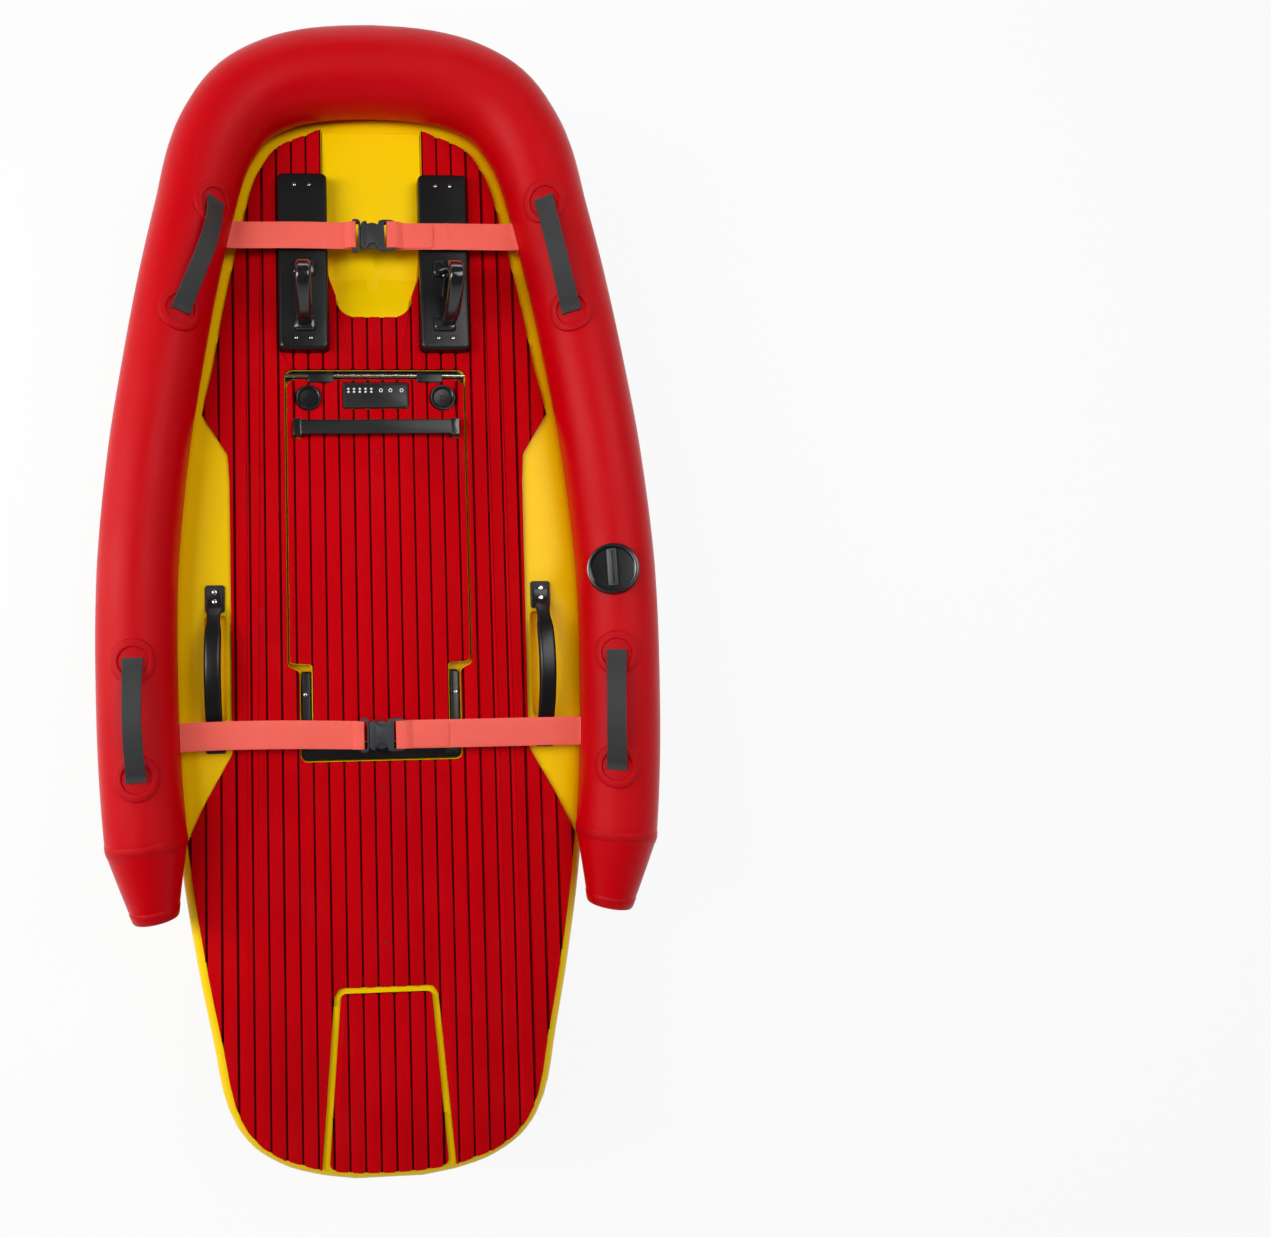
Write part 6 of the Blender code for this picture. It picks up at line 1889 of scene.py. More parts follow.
@dataclass
class Hatch:
    """The hatch lid with its pad, display, stop-key docks, hinge and handle.

    Attributes:
        body: the body of the lid.
        half: half width of the lid.
        front: its front edge.
        step: where it narrows.
        tail: half width and rear edge of its tail.
        corner: its front corners' radius.
        display: width, length and height of the display, and its place in Y.
        dock: X, Y, radius and height of a dock.
        knuckle: X, length and radius of a hinge knuckle.
        hinge: Y and Z of the hinge's axis.
        low: height of the lid's bottom.
        pad_back: how far the lid's pad lies inside its edge.
        notch_y: rear of the pad's notches for the knuckles.
        lamps: places of the display's lamp windows in X.
        marks: places of its ring marks in X.
        lamp_row: how far both lie ahead of its middle.
        handle_x: middle of a handle's end block in X.
        handle_rise: height of the handle over the pad's foot.
        bail_box: inner and outer X of the bail, its rear and front.
        bail_z: its bottom and top.
        bail_pivot: its hinge in Y.
    """

    body: str = "hatch"
    half: float = 0.166
    front: float = 0.4035
    step: float = -0.124
    tail: Point2 = (0.1255, -0.267)
    corner: float = 0.018
    display: tuple[float, float, float, float] = (0.121, 0.0475, 0.008, 0.371)
    dock: tuple[float, float, float, float] = (0.1245, 0.3665, 0.0235, 0.010)
    knuckle: tuple[float, float, float] = (0.1015, 0.047, 0.0064)
    hinge: Point2 = (0.410, 0.300)
    low: float = 0.280
    pad_back: float = 0.0015
    notch_y: float = 0.3952
    lamps: tuple[float, ...] = (-0.0505, -0.0400, -0.0294, -0.0188, -0.0080)
    marks: tuple[float, ...] = (0.0097, 0.0274, 0.0482)
    lamp_row: float = 0.0088
    handle_x: float = 0.145
    handle_rise: float = 0.024
    bail_box: tuple[float, float, float, float] = (0.1275, 0.144, -0.2975, -0.140)
    bail_z: Point2 = (0.286, 0.298)
    bail_pivot: float = -0.180

    def outline(self, back: float, notched: bool = False) -> list[Point2]:
        """The lid's outline, drawn in, with notches for the knuckles if asked.

        Args:
            back: how far it is drawn in.
            notched: whether it has the notches.

        Returns:
            The outline.
        """
        half, tail, front = self.half - back, self.tail[0] - back, self.front - back
        corner, rear = self.corner, self.tail[1] + back
        points: list[Point2] = []
        if notched:
            x, length, _ = self.knuckle
            low, high = x - length / 2 - 0.001, x + length / 2 + 0.001
            points += [(low, front), (low, self.notch_y), (high, self.notch_y), (high, front)]
        points += arc(half - corner, front - corner, corner, 90, 0, 8)
        shoulder = [(half, self.step + 0.03), (half, self.step + back), (tail, self.step - 0.003 + back)]
        points += fillet([*shoulder, (tail, -0.2)], 0.006, 4, False)[1:-1]
        points += arc(tail - 0.006, rear + 0.006, 0.006, 0, -90, 5)
        return mirrored(points)

    def lid(self) -> None:
        """The lid and its pad."""
        lid = Piece("lid_panel", self.body, ("hatch_lid",))
        lid.add(YELLOW, prism(self.outline(0.0), self.low, DECK_Z, 0.0016)).build()
        wide, long, _, middle = self.display
        holes = [rectangle(wide / 2 + 0.001, middle - long / 2 - 0.001, middle + long / 2 + 0.001, 0.004)]
        for side in (-1, 1):
            holes.append(rectangle(0.009, 0.291, 0.325, 0.002, side * self.handle_x))
            holes.append(arc(side * self.dock[0], self.dock[1], self.dock[2] + 0.0008, 360, 15, 23))
        drains = [(0.0, y) for y in stations(0.262, -0.226, 0.0545)]
        outline = self.outline(self.pad_back, True)
        PlankPad("lid_pad", self.body, "hatch_pad", outline, holes, drains).make()

    def display_panel(self) -> None:
        """The display with its lamp windows and ring marks."""
        wide, long, high, middle = self.display
        top = PAD_Z + high
        panel = Piece("display", self.body, ("display_panel",))
        case = rectangle(wide / 2, middle - long / 2, middle + long / 2, 0.004)
        panel.add(MATT_BLACK, prism(case, PAD_Z, top, 0.0014))
        glass = rectangle(wide / 2 - 0.0035, middle - long / 2 + 0.0035, middle + long / 2 - 0.0035, 0.0025)
        panel.add(SATIN_BLACK, prism(glass, top - 0.001, top + 0.0004, 0.0003))
        row = self.lamp_row
        for x in self.lamps:
            for y in (0.0028, -0.0028):
                window = arc(x, middle + row + y, 0.0023, 0, 345, 23)
                window = [(px, middle + row + y + (py - middle - row - y) * 0.86) for px, py in window]
                panel.add(LAMP_WHITE, prism(window, top, top + 0.0008, 0.0002))
        for x in self.marks:
            ring = [(0.0021, top), (0.0021, top + 0.0008), (0.0036, top + 0.0008), (0.0036, top)]
            panel.add(LAMP_WHITE, lathe(ring, 28).shifted(x, middle + row))
        panel.build()

    def docks(self) -> None:
        """The two round docks for the magnetic stop key."""
        x, y, radius, high = self.dock
        for side, name in SIDES:
            top = PAD_Z + high
            body = [(0.0, PAD_Z), (radius - 0.0006, PAD_Z), (radius, PAD_Z + 0.001), (radius, top - 0.0012)]
            body += [
                (radius - 0.0006, top - 0.0002), (radius - 0.0016, top), (radius - 0.0034, top - 0.0004)
            ]
            floor = top - 0.0058
            body += [
                (radius - 0.0056, top - 0.0022), (radius - 0.0075, top - 0.0050), (0.006, floor),
                (0.0, floor),
            ]
            stud = [(0.0, floor), (0.0052, floor), (0.0052, top - 0.0048)]
            stud += [(0.0046, top - 0.0043), (0.0, top - 0.0043)]
            piece = Piece(f"dock_{name}", self.body, (f"key_dock_{name}",))
            piece.add(SATIN_BLACK, lathe(body, 56, False).shifted(side * x, y))
            piece.add(GLOSS_BLACK, lathe(stud, 32, False).shifted(side * x, y))
            piece.build()

    def hinge_parts(self) -> None:
        """The steel rod, thin black sheets of painted shade in the deck's slot around it, and the two knuckles
        on it.
        """
        y, z = self.hinge
        bar = Piece("lid_rod", BOARD, ("hinge_rod",))
        bar.add(STEEL, rod((-0.1705, y, z), (0.1705, y, z), 0.003, 28, 0.0008)).build()
        # painted shade: thin black sheets line the deck's slot under and behind the rod, standing in for its
        # shadow
        channel = Piece("rod_slot_shade", BOARD)
        channel.add(MATT_BLACK, block((-0.1665, 0.4040, 0.2895), (0.1665, 0.4192, 0.2910), 0.0004))
        channel.add(MATT_BLACK, block((-0.1540, 0.4180, 0.2905), (0.1540, 0.4192, 0.2996), 0.0003)).build()
        x, length, radius = self.knuckle
        for side, name in SIDES:
            eye = arc(0.0, 0.0, radius, -90, 100, 16)
            back = -0.0072
            line = eye + [(-0.007, 0.0060), (back - 0.005, 0.0058), (back - 0.0068, 0.0050)]
            line += [(back - 0.007, 0.0008), (back + 0.0005, 0.0008), (back + 0.0005, -0.0060)]
            shape = side_prism([(y + py, z + pz) for py, pz in line], side * x, length / 2, 0.0012)
            piece = Piece(f"knuckle_{name}", self.body, (f"hinge_knuckle_{name}",))
            piece.add(SATIN_BLACK, shape)
            piece.build(rod((side * x - 0.03, y, z), (side * x + 0.03, y, z), 0.0033, 28))

    def handle(self) -> None:
        """The flat lid handle: a bar between two fuller end blocks."""
        base = PAD_Z
        top = base + self.handle_rise
        piece = Piece("hatch_handle", self.body, ("lid_handle",))
        outline = rectangle(0.1385, 0.2945, 0.3215, 0.003)
        piece.add(SATIN_BLACK, prism(outline, top - 0.0045, top - 0.0004, 0.0012))
        for side in (-1, 1):
            foot = rectangle(0.008, 0.292, 0.324, 0.003, side * self.handle_x)
            piece.add(GLOSS_BLACK, prism(foot, base + 0.0002, top, 0.0018))
            gusset = [(0.1285, top - 0.004), (0.138, top - 0.012), (0.138, top - 0.004)]
            flat = prism(gusset, 0.297, 0.319, 0.0006)
            turned = Solid([Vector((p.x * side, p.z, p.y)) for p in flat.points], flat.faces)
            piece.add(SATIN_BLACK, turned)
        piece.build()

    def bail(self) -> None:
        """The U-shaped latch bail around the lid's tail."""
        low, high = self.bail_z
        inner, outer, rear, front = self.bail_box
        pivot = self.bail_pivot
        half = [(inner + 0.002, front), *arc(outer - 0.008, front - 0.008, 0.008, 90, 0, 5)]
        half += arc(outer - 0.008, rear + 0.008, 0.008, 0, -90, 5)
        ring = mirrored(half) + [(-inner - 0.0005, front - 0.002)] + [(-inner, rear + 0.030)]
        ring += [(-inner + 0.002, rear + 0.028), (inner - 0.002, rear + 0.028), (inner, rear + 0.030)]
        ring += [(inner + 0.0005, front - 0.002)]
        bail = Piece("bail_frame", "bail", ("latch_bail",)).add(SATIN_BLACK, prism(ring, low, high, 0.0022))
        bar = rectangle(0.118, rear + 0.005, rear + 0.022, 0.003)
        bail.add(GLOSS_BLACK, prism(bar, high - 0.001, high + 0.0016, 0.0010))
        for side in (-1, 1):
            bail.add(STEEL, screw_head((side * 0.1375, pivot, high - 0.0002), UP, 0.0036, 0.2))
            bail.add(
                SATIN_BLACK, rod((side * 0.1258, pivot, 0.292), (side * 0.133, pivot, 0.292), 0.003, 16)
            )
        bail.build()

    def make(self) -> None:
        """Builds the hatch."""
        self.lid()
        self.display_panel()
        self.docks()
        self.hinge_parts()
        self.handle()
        self.bail()
        dress(RUBBER, "hatch_seal")


@dataclass
class Grips:
    """The two upright grips on their bases, with the throttle trigger.

    Attributes:
        base: inner and outer X of a base, its rear and front.
        base_top: height of a base's top.
        x: middle of a grip.
        ends: front and rear of a grip in Y.
        height: rise of a grip over its base.
        thick: thickness and width of its bar.
        lean: how far the starboard bar leans outboard.
        foot_half: half width of a bar's foot.
        screws: places of a base's screws in Y.
        screw_aside: how far they lie from its middle.
        trigger_pin: Y and Z of the trigger's top.
    """

    base: tuple[float, float, float, float] = (0.085, 0.177, 0.452, 0.7865)
    base_top: float = 0.328
    x: float = 0.129
    ends: Point2 = (0.612, 0.489)
    height: float = 0.092
    thick: Point2 = (0.019, 0.028)
    lean: float = 0.012
    foot_half: float = 0.0185
    screws: Point2 = (0.7625, 0.4725)
    screw_aside: float = 0.0135
    trigger_pin: Point2 = (0.562, 0.388)

    def path(self) -> list[Vector]:
        """The grip's middle line.

        Returns:
            The line's points, from the front foot to the rear foot.
        """
        front, rear = self.ends
        base, half = self.base_top + GAP, self.thick[0] / 2
        top = base + self.height - half
        line = [
            (front - half, base), (front - half - 0.006, base + 0.022), (front - 0.030, base + 0.058),
            (front - 0.042, top - 0.006), (front - 0.056, top), (front - 0.072, top - 0.010),
            (rear + 0.022, base + 0.034), (rear + 0.014, base + 0.016), (rear + half, base),
        ]
        return smooth_path([Vector((0.0, y, z)) for y, z in line], 5)

    def grip(self, side: int, name: str) -> None:
        """One grip with its feet.

        Args:
            side: -1 to port, 1 to starboard.
            name: the side's name.
        """
        path = self.path()
        last = len(path) - 1
        sections = []
        for i in range(last + 1):
            t = i / last
            full = math.sin(math.pi * t) ** 0.35 if 0 < t < 1 else 0.0
            wide = self.thick[1] * (0.92 + 0.08 * full)
            deep = self.thick[0] * (0.98 + 0.02 * full)
            sections.append(rectangle(wide / 2, -deep / 2, deep / 2, 0.0068))
        lean = self.lean if side > 0 else 0.0
        for i, point in enumerate(path):
            point.x += lean * math.sin(math.pi * i / last) ** 0.5
        bar = self.upright(path, sections)
        piece = Piece(f"grip_bar_{name}", BOARD, (f"grip_{name}",))
        piece.add(GLOSS_BLACK, bar.shifted(side * self.x))
        length = 0.015
        for y in (self.ends[0] - 0.0100, self.ends[1] + 0.0100):
            rings = []
            for grow, high in ((0.0030, 0.0004), (0.0022, 0.0035), (0.0006, 0.0070), (-0.0012, 0.0085)):
                low, end = y - length - grow + 0.003, y + length + grow - 0.003
                outline = rectangle(self.foot_half + grow, low, end, 0.006)
                rings.append([(x, py, self.base_top + high) for x, py in outline])
            piece.add(GLOSS_BLACK, loft(rings).shifted(side * self.x))
        piece.build()

    def upright(self, path: Sequence[Vector], sections: Sequence[Sequence[Point2]]) -> Solid:
        """A bar whose sections stay square to its line in the Y-Z plane.

        Args:
            path: its middle line.
            sections: one section for each point.

        Returns:
            The solid.
        """
        rings = []
        last = len(path) - 1
        for i, point in enumerate(path):
            along = (path[min(i + 1, last)] - path[max(i - 1, 0)]).normalized()
            out = Vector((0.0, -along.z, along.y))
            if i in (0, last):
                out = Vector((0.0, math.copysign(1.0, out.y), 0.0))
            rings.append([point + Vector((u, 0.0, 0.0)) + out * v for u, v in sections[i]])
        return loft(rings)

    def foot(self, side: int, name: str) -> None:
        """One base: a long rounded block with a raised spine, side grooves and screws.

        Args:
            side: -1 to port, 1 to starboard.
            name: the side's name.
        """
        low, high, rear, front = self.base
        middle = side * (low + high) / 2
        half = (high - low) / 2
        piece = Piece(f"grip_foot_{name}", BOARD, (f"grip_base_{name}",))
        bottom = DECK_Z + 2 * GAP
        top = self.base_top
        levels = ((0.0008, bottom), (0.0, bottom + 0.0015), (0.0, top - 0.008), (0.0006, top - 0.0050))
        levels += ((0.0020, top - 0.0022), (0.0044, top - 0.0006), (0.0070, top))
        rings = []
        for back, z in levels:
            outline = rectangle(
                half - back, rear + back, front - back, max(0.0100 - back * 0.6, 0.003), middle
            )
            rings.append([(x, y, z) for x, y in outline])
        piece.add(SATIN_BLACK, loft(rings))
        for y in self.screws:
            for x in (-self.screw_aside, self.screw_aside):
                piece.add(STEEL, screw_head((middle + x, y, top - 0.0006), UP, 0.0032, 0.9))
                ring = [
                    (0.0034, top - 0.001), (0.0062, top - 0.001), (0.0060, top + 0.0006),
                    (0.0040, top + 0.0006),
                ]
                piece.add(SATIN_BLACK, lathe(ring, 28).shifted(middle + x, y))
        piece.build()

    def trigger(self) -> None:
        """The throttle trigger on its pin, under the top of the starboard grip."""
        y, z = self.trigger_pin
        line = [(0.0, 0.0045), (0.0012, -0.004), (-0.001, -0.0176), (-0.006, -0.033), (-0.016, -0.044)]
        path = smooth_path([Vector((0.0, y + py, z + pz)) for py, pz in line], 4)
        sections = []
        for i in range(len(path)):
            t = i / (len(path) - 1)
            half = 0.007 * (1.0 - 0.18 * math.sin(math.pi * t))
            sections.append(rectangle(half, -0.0035, 0.0035, 0.0026))
        piece = Piece("trigger_lever", "trigger", ("throttle_trigger",))
        piece.add(GLOSS_BLACK, self.upright(path, sections).shifted(self.x))
        piece.build()
        pin = Piece("trigger_pin", BOARD)
        for start, end in ((-0.0105, -0.0078), (0.0078, 0.0105)):
            pin.add(STEEL, rod((self.x + start, y, z + 0.002), (self.x + end, y, z + 0.002), 0.0018, 16))
        pin.build()

    def make(self) -> None:
        """Builds both grips."""
        for side, name in SIDES:
            self.foot(side, name)
            self.grip(side, name)
        self.trigger()


@dataclass
class CarryHandles:
    """The moulded carry handles over the finger pockets, with their end plates.

    Attributes:
        x: middle of a handle.
        plate: width, length and height of a plate.
        plates: places of the front and the rear plate in Y.
        width: width of the handle.
        thick: its full and its foot thickness.
        rise: how far it bows up.
    """

    x: float = 0.2985
    plate: tuple[float, float, float] = (0.036, 0.050, 0.004)
    plates: Point2 = (-0.0035, -0.257)
    width: float = 0.030
    thick: Point2 = (0.016, 0.005)
    rise: float = 0.036

    def make(self) -> None:
        """Builds both handles and their plates."""
        wide, long, high = self.plate
        low = DECK_Z + 2 * GAP
        top = low + high
        foot = top + GAP + self.thick[1] / 2
        path, sizes = self.line(foot)
        for side, name in SIDES:
            for end, y in zip(("front", "rear"), self.plates):
                outline = rectangle(wide / 2, y - long / 2, y + long / 2, 0.005, side * self.x)
                plate = Piece(f"plate_{name}_{end}", BOARD, (f"carry_plate_{name}_{end}",))
                plate.add(MATT_BLACK, prism(outline, low, top, 0.0012)).build()
            rings = []
            for (y, z), (half, thick) in zip(path, sizes):
                ring = rectangle(half, -thick / 2, thick / 2, min(0.0062, thick * 0.42))
                rings.append([(side * (self.x + u), y, z + v) for u, v in ring])
            handle = Piece(
                f"hand_grip_{name}", BOARD, (f"carry_handle_{name}",)
            ).add(SATIN_BLACK, loft(rings))
            for y in (self.plates[0] + 0.0115, self.plates[0] - 0.0060, self.plates[1] - 0.004):
                spot = (side * self.x, y, foot + self.thick[1] / 2 - 0.0004)
                handle.add(STEEL, screw_head(spot, UP, 0.0050))
            handle.build()

    def line(self, foot: float) -> tuple[list[Point2], list[Point2]]:
        """The handle's middle line with its half width and thickness at each point.

        Args:
            foot: height of the middle of its feet.

        Returns:
            The points in Y and Z, and their half widths and thicknesses.
        """
        edge = self.plate[1] * 0.05
        front, rear = self.plates[0] - edge, self.plates[1] + edge
        path = [(front + 0.012, foot), (front - 0.006, foot)]
        sizes = [(0.0135, self.thick[1]), (0.0135, self.thick[1])]
        count = 36
        for i in range(1, count):
            t = i / count
            y = front - 0.012 + (rear - front + 0.024) * t
            share = math.sin(math.pi * t) ** 0.5
            thick = self.thick[1] + (self.thick[0] - self.thick[1]) * share
            z = foot + 0.001 + self.rise * math.sin(math.pi * t) ** 0.7
            z = max(z, foot - self.thick[1] / 2 + thick / 2)
            neck = 1.0 - 0.22 * math.exp(-(((t - 0.10) / 0.07) ** 2))
            path.append((y, z))
            sizes.append((self.width / 2 * neck, thick))
        path += [(rear + 0.006, foot), (rear - 0.012, foot)]
        sizes += [(0.0145, self.thick[1]), (0.0145, self.thick[1])]
        return path, sizes


@dataclass
class Collar:
    """The inflatable tube around the board: its line, its skin, its seams and what is fitted on it.

    Attributes:
        radius: the tube's radius.
        nose_radius: its radius at the nose.
        offset: how far its middle lies outside the rim.
        seam_y: where its tails start to taper.
        end: where its tails end, and their radius there.
        swell: length over which it swells towards the nose.
        tilt: lean of its fittings, inboard of straight up, in degrees.
        around: points around the tube.
        bow: how far a handle stands off the tube.
        web_half: half width of a handle's webbing.
        valve_y: station of the valve.
        flange: radius of the valve's flange.
    """

    radius: float = 0.070
    nose_radius: float = 0.075
    offset: float = 0.042
    seam_y: float = -0.428
    end: Point2 = (-0.550, 0.039)
    swell: float = 0.223
    tilt: float = 21.0
    around: int = 64
    bow: float = 0.030
    web_half: float = 0.0158
    valve_y: float = 0.031
    flange: float = 0.046

    def girth(self, y: float) -> float:
        """The tube's radius at a station.

        Args:
            y: the station.

        Returns:
            The radius.
        """
        if y < self.seam_y:
            t = (self.seam_y - y) / (self.seam_y - self.end[0])
            return self.radius + (self.end[1] - self.radius) * min(t, 1.0)
        t = min(max(1 - (NOSE_Y - y) / self.swell, 0.0), 1.0)
        return self.radius + (self.nose_radius - self.radius) * t

    def height(self, radius: float) -> float:
        """Height of the tube's middle where it rests on the rounded rim."""
        reach = radius + RIM_RADIUS + 2 * GAP
        return RIM_Z + math.sqrt(reach**2 - (self.offset + RIM_RADIUS) ** 2)

    def point(self, y: float) -> Vector:
        """A point of the tube's middle line, starboard side."""
        x, along = rim_point(y, -self.offset)
        return Vector((x, along, self.height(max(self.girth(y), self.radius))))

    def on(self, y: float, side: int, across: float, along: float, lift: float) -> Vector:
        """A point above the skin, measured from a fitting's place around and along the tube.

        Args:
            y: the fitting's station.
            side: -1 to port, 1 to starboard.
            across: distance around the tube, outboard.
            along: distance forward.
            lift: height over the skin.

        Returns:
            The point.
        """
        run = (self.point(y + 0.02) - self.point(y - 0.02)).length / 0.04
        station = y + along / run
        middle = self.point(station)
        step = self.point(station + 0.01) - self.point(station - 0.01)
        inboard = Vector((-step.y, step.x, 0.0)).normalized()
        angle = math.radians(self.tilt) - across / self.girth(station)
        place = middle + (
            Vector((0, 0, math.cos(angle))) + inboard * math.sin(angle)
        ) * (self.girth(station) + lift)
        return Vector((place.x * side, place.y, place.z))

    def frame(self, y: float, side: int) -> Matrix:
        """Placing matrix for a fitting: Z out of the tube, Y along it.

        Args:
            y: the fitting's station.
            side: -1 to port, 1 to starboard.

        Returns:
            The matrix.
        """
        along = (self.point(y + 0.02) - self.point(y - 0.02)).normalized()
        inboard = Vector((-along.y, along.x, 0.0))
        out = Vector((0, 0, 1)) * math.cos(
            math.radians(self.tilt)
        ) + inboard * math.sin(math.radians(self.tilt))
        place = self.point(y) + out * self.girth(y)
        if side < 0:
            flip = Vector((-1, 1, 1))
            place, along, out = place * flip, along * flip, out * flip
        matrix = Matrix((along.cross(out), along, out)).transposed().to_4x4()
        matrix.translation = place
        return matrix

    def line(self) -> list[tuple[Vector, float]]:
        """The whole tube's middle line with its radius, port tail to starboard tail.

        Returns:
            Pairs of a point and the radius there.
        """
        spots = stations(self.end[0], self.seam_y - 0.0005, 0.02) + stations(
            self.seam_y + 0.0005, NOSE_Y - 0.16, 0.022
        )
        backs = (
            0.145, 0.123, 0.110, 0.098, 0.086, 0.075, 0.066, 0.057, 0.049, 0.043, 0.037, 0.031, 0.026, 0.021
        )
        backs += (0.017, 0.013, 0.0095, 0.0065, 0.0038, 0.0018, 0.0008)
        spots += [NOSE_Y - back for back in backs]
        side = [(self.point(y), self.girth(y)) for y in spots]
        nose = (Vector((0, NOSE_Y + self.offset, self.height(self.nose_radius))), self.nose_radius)
        port = [(Vector((-p.x, p.y, p.z)), r) for p, r in side]
        return port + [nose] + side[::-1]

    def ring(self, middle: Vector, along: Vector, radius: float) -> list[Vector]:
        """A ring of points around the tube's line.

        Args:
            middle: its middle.
            along: the line's direction.
            radius: its radius.

        Returns:
            The ring's points.
        """
        across = along.cross(Vector((0, 0, 1))).normalized()
        up = across.cross(along)
        ring = []
        for i in range(self.around):
            angle = math.tau * i / self.around
            ring.append(middle + (across * math.cos(angle) + up * math.sin(angle)) * radius)
        return ring

    def band(self, lift: float, line: list[tuple[Vector, float]]) -> Solid:
        """A thin strip around the tube, for a welded seam.

        Args:
            lift: its height over the skin.
            line: points of the tube's line with their radii.

        Returns:
            The strip as a solid.
        """
        last = len(line) - 1
        rings = []
        for i, (middle, radius) in enumerate(line):
            along = (line[min(i + 1, last)][0] - line[max(i - 1, 0)][0]).normalized()
            rings.append(self.ring(middle, along, radius + (lift if 0 < i < last else 0.0)))
        return loft(rings, capped=False)

    def skin(self) -> None:
        """The tube with its domed tail ends."""
        line = self.line()
        last = len(line) - 1
        dome = ((0.0, 1.0), (0.0016, 0.985), (0.0030, 0.94), (0.0042, 0.86), (0.0052, 0.70))
        dome += ((0.0060, 0.45), (0.0063, 0.15))
        rings = []
        for i, (middle, radius) in enumerate(line):
            along = (line[min(i + 1, last)][0] - line[max(i - 1, 0)][0]).normalized()
            if i in (0, last):
                out = -along if i == 0 else along
                caps = [self.ring(middle + out * back, along, radius * share) for back, share in dome]
                rings += caps[::-1] if i == 0 else caps
                continue
            rings.append(self.ring(middle, along, radius))
        piece = Piece("collar_skin", BOARD, ("collar_tube",), 60.0).add(COLLAR_VINYL, loft(rings))
        piece.build()

    def seams(self) -> None:
        """Welded strips at the tails' tapers."""
        piece = Piece("collar_seams", BOARD, (), 60.0)
        strips = (
            (self.seam_y, 0.0007, (0.0095, 0.0088, 0.004, 0.0006, -0.0006, -0.004, -0.0088, -0.0095)),
            (self.end[0], 0.0009, (0.017, 0.0162, 0.009, 0.0018, 0.001)),
        )
        for side in (-1, 1):
            for start, lift, offsets in strips:
                line = [(self.point(start + offset), self.girth(start + offset)) for offset in offsets]
                piece.add(PATCH_VINYL, self.band(lift, line).side(side))
        piece.build()

    def disc(
        self, y: float, side: int, profile: Sequence[Point2], across: float = 0.0, steps: int = 56
    ) -> Solid:
        """A round piece whose (radius, lift) profile follows the tube's curve.

        Args:
            y: its station.
            side: -1 to port, 1 to starboard.
            profile: its radius and lift, from the middle outwards.
            across: how far it lies outboard.
            steps: steps around.

        Returns:
            The solid.
        """
        rings = []
        for radius, lift in profile:
            rings.append([self.on(y, side, across + u, v, lift) for u, v in circle(radius, steps)])
        return loft(rings)

    def handle(self, place: str, side: int, name: str, ends: Point2, across: Point2) -> None:
        """One webbing handle on two round patches.

        Args:
            place: front or rear.
            side: -1 to port, 1 to starboard.
            name: the side's name.
            ends: stations of its patches.
            across: how far each end lies outboard.
        """
        front, rear = ends
        piece = Piece(f"tube_handle_{place}_{name}", BOARD, (f"collar_handle_{place}_{name}",), 40.0)
        for y, aside in zip(ends, across):
            outer = [(0.010, 0.0016), (0.0242, 0.0016), (0.0250, 0.0044), (0.0262, 0.0050), (0.0366, 0.0046)]
            outer += [(0.0382, 0.0036), (0.0390, 0.0016), (0.0392, 0.0004), (0.020, 0.0004)]
            piece.add(PATCH_VINYL, self.disc(y, side, outer, aside))
        middle_y = (front + rear) / 2
        reach = (self.point(front) - self.point(rear)).length / 2 + 0.006
        count = 44
        rings = []
        for i in range(count + 1):
            t = i / count
            bow = max(math.sin(math.pi * min(max((t - 0.05) / 0.90, 0.0), 1.0)), 0.0) ** 0.85
            along, lift = reach * (1 - 2 * t), 0.0038 + self.bow * bow
            aside = across[0] + (across[1] - across[0]) * t
            middle = self.on(middle_y, side, aside, along, lift)
            out = (self.on(middle_y, side, aside, along, lift + 0.01) - middle).normalized()
            slant = (across[1] - across[0]) / (2 * reach) * 0.001
            run = self.on(middle_y, side, aside + slant, along - 0.001, lift) - middle
            width_way = run.cross(out).normalized()
            half = self.web_half + 0.0012 * abs(1 - 2 * t) ** 3
            ring = []
            for u, v in rectangle(half, -0.0016, 0.0016, 0.0012):
                ring.append(middle + width_way * u + out * (v - 0.0007 * math.cos(u / half * math.pi / 2)))
            rings.append(ring)
        piece.add(HANDLE_WEB, loft(rings))
        for sign in (-1, 1):
            for share in (0.86, 0.93):
                y_run = reach * share * sign
                aside = across[0] + (across[1] - across[0]) * (1 - share * sign) / 2
                bar = [self.on(middle_y, side, aside + u, y_run, 0.0052) for u in (-0.0125, 0.0125)]
                piece.add(STITCH, rod(bar[0], bar[1], 0.0005, 8))
        piece.build()

    def valve(self) -> None:
        """The inflation valve: a welded flange, a body and a dished cap with a bar to turn it by."""
        y = self.valve_y
        frame = self.frame(y, 1)
        top = 3 * GAP + 0.006
        body = Piece("valve_flange", BOARD, ("valve_body",))
        skirt = (
            (0.3, 0.0009), (0.7, 0.0009), (0.985, 0.0009), (1.0, 0.0016), (1.0, 0.0030), (0.985, 0.0040)
        )
        rings = []
        for share, lift in skirt:
            rings.append([self.on(y, 1, u, v, lift) for u, v in circle(self.flange * share, 64)])
        for radius, high in ((0.0440, top - 0.0008), (0.0425, top), (0.010, top)):
            rings.append([frame @ Vector((u, v, high)) for u, v in circle(radius, 64)])
        body.add(SATIN_BLACK, loft(rings)).build()
        low = top + GAP
        high = low + 0.012
        rim = [(0.0, low), (0.0420, low), (0.0430, low + 0.001), (0.0430, high - 0.0016)]
        rim += [(0.0424, high - 0.0004), (0.0412, high), (0.0385, high), (0.0375, high - 0.0006)]
        rim += [
            (0.0366, high - 0.0030), (0.0355, high - 0.0060), (0.020, high - 0.0068), (0.0, high - 0.0068)
        ]
        cap = Piece("valve_lid", "valve", ("valve_cap",))
        cap.add(GLOSS_BLACK, lathe(rim, 72, False).moved(frame))
        bar = prism(rectangle(0.0085, -0.031, 0.035, 0.0034), high - 0.0068, high + 0.0016, 0.0018)
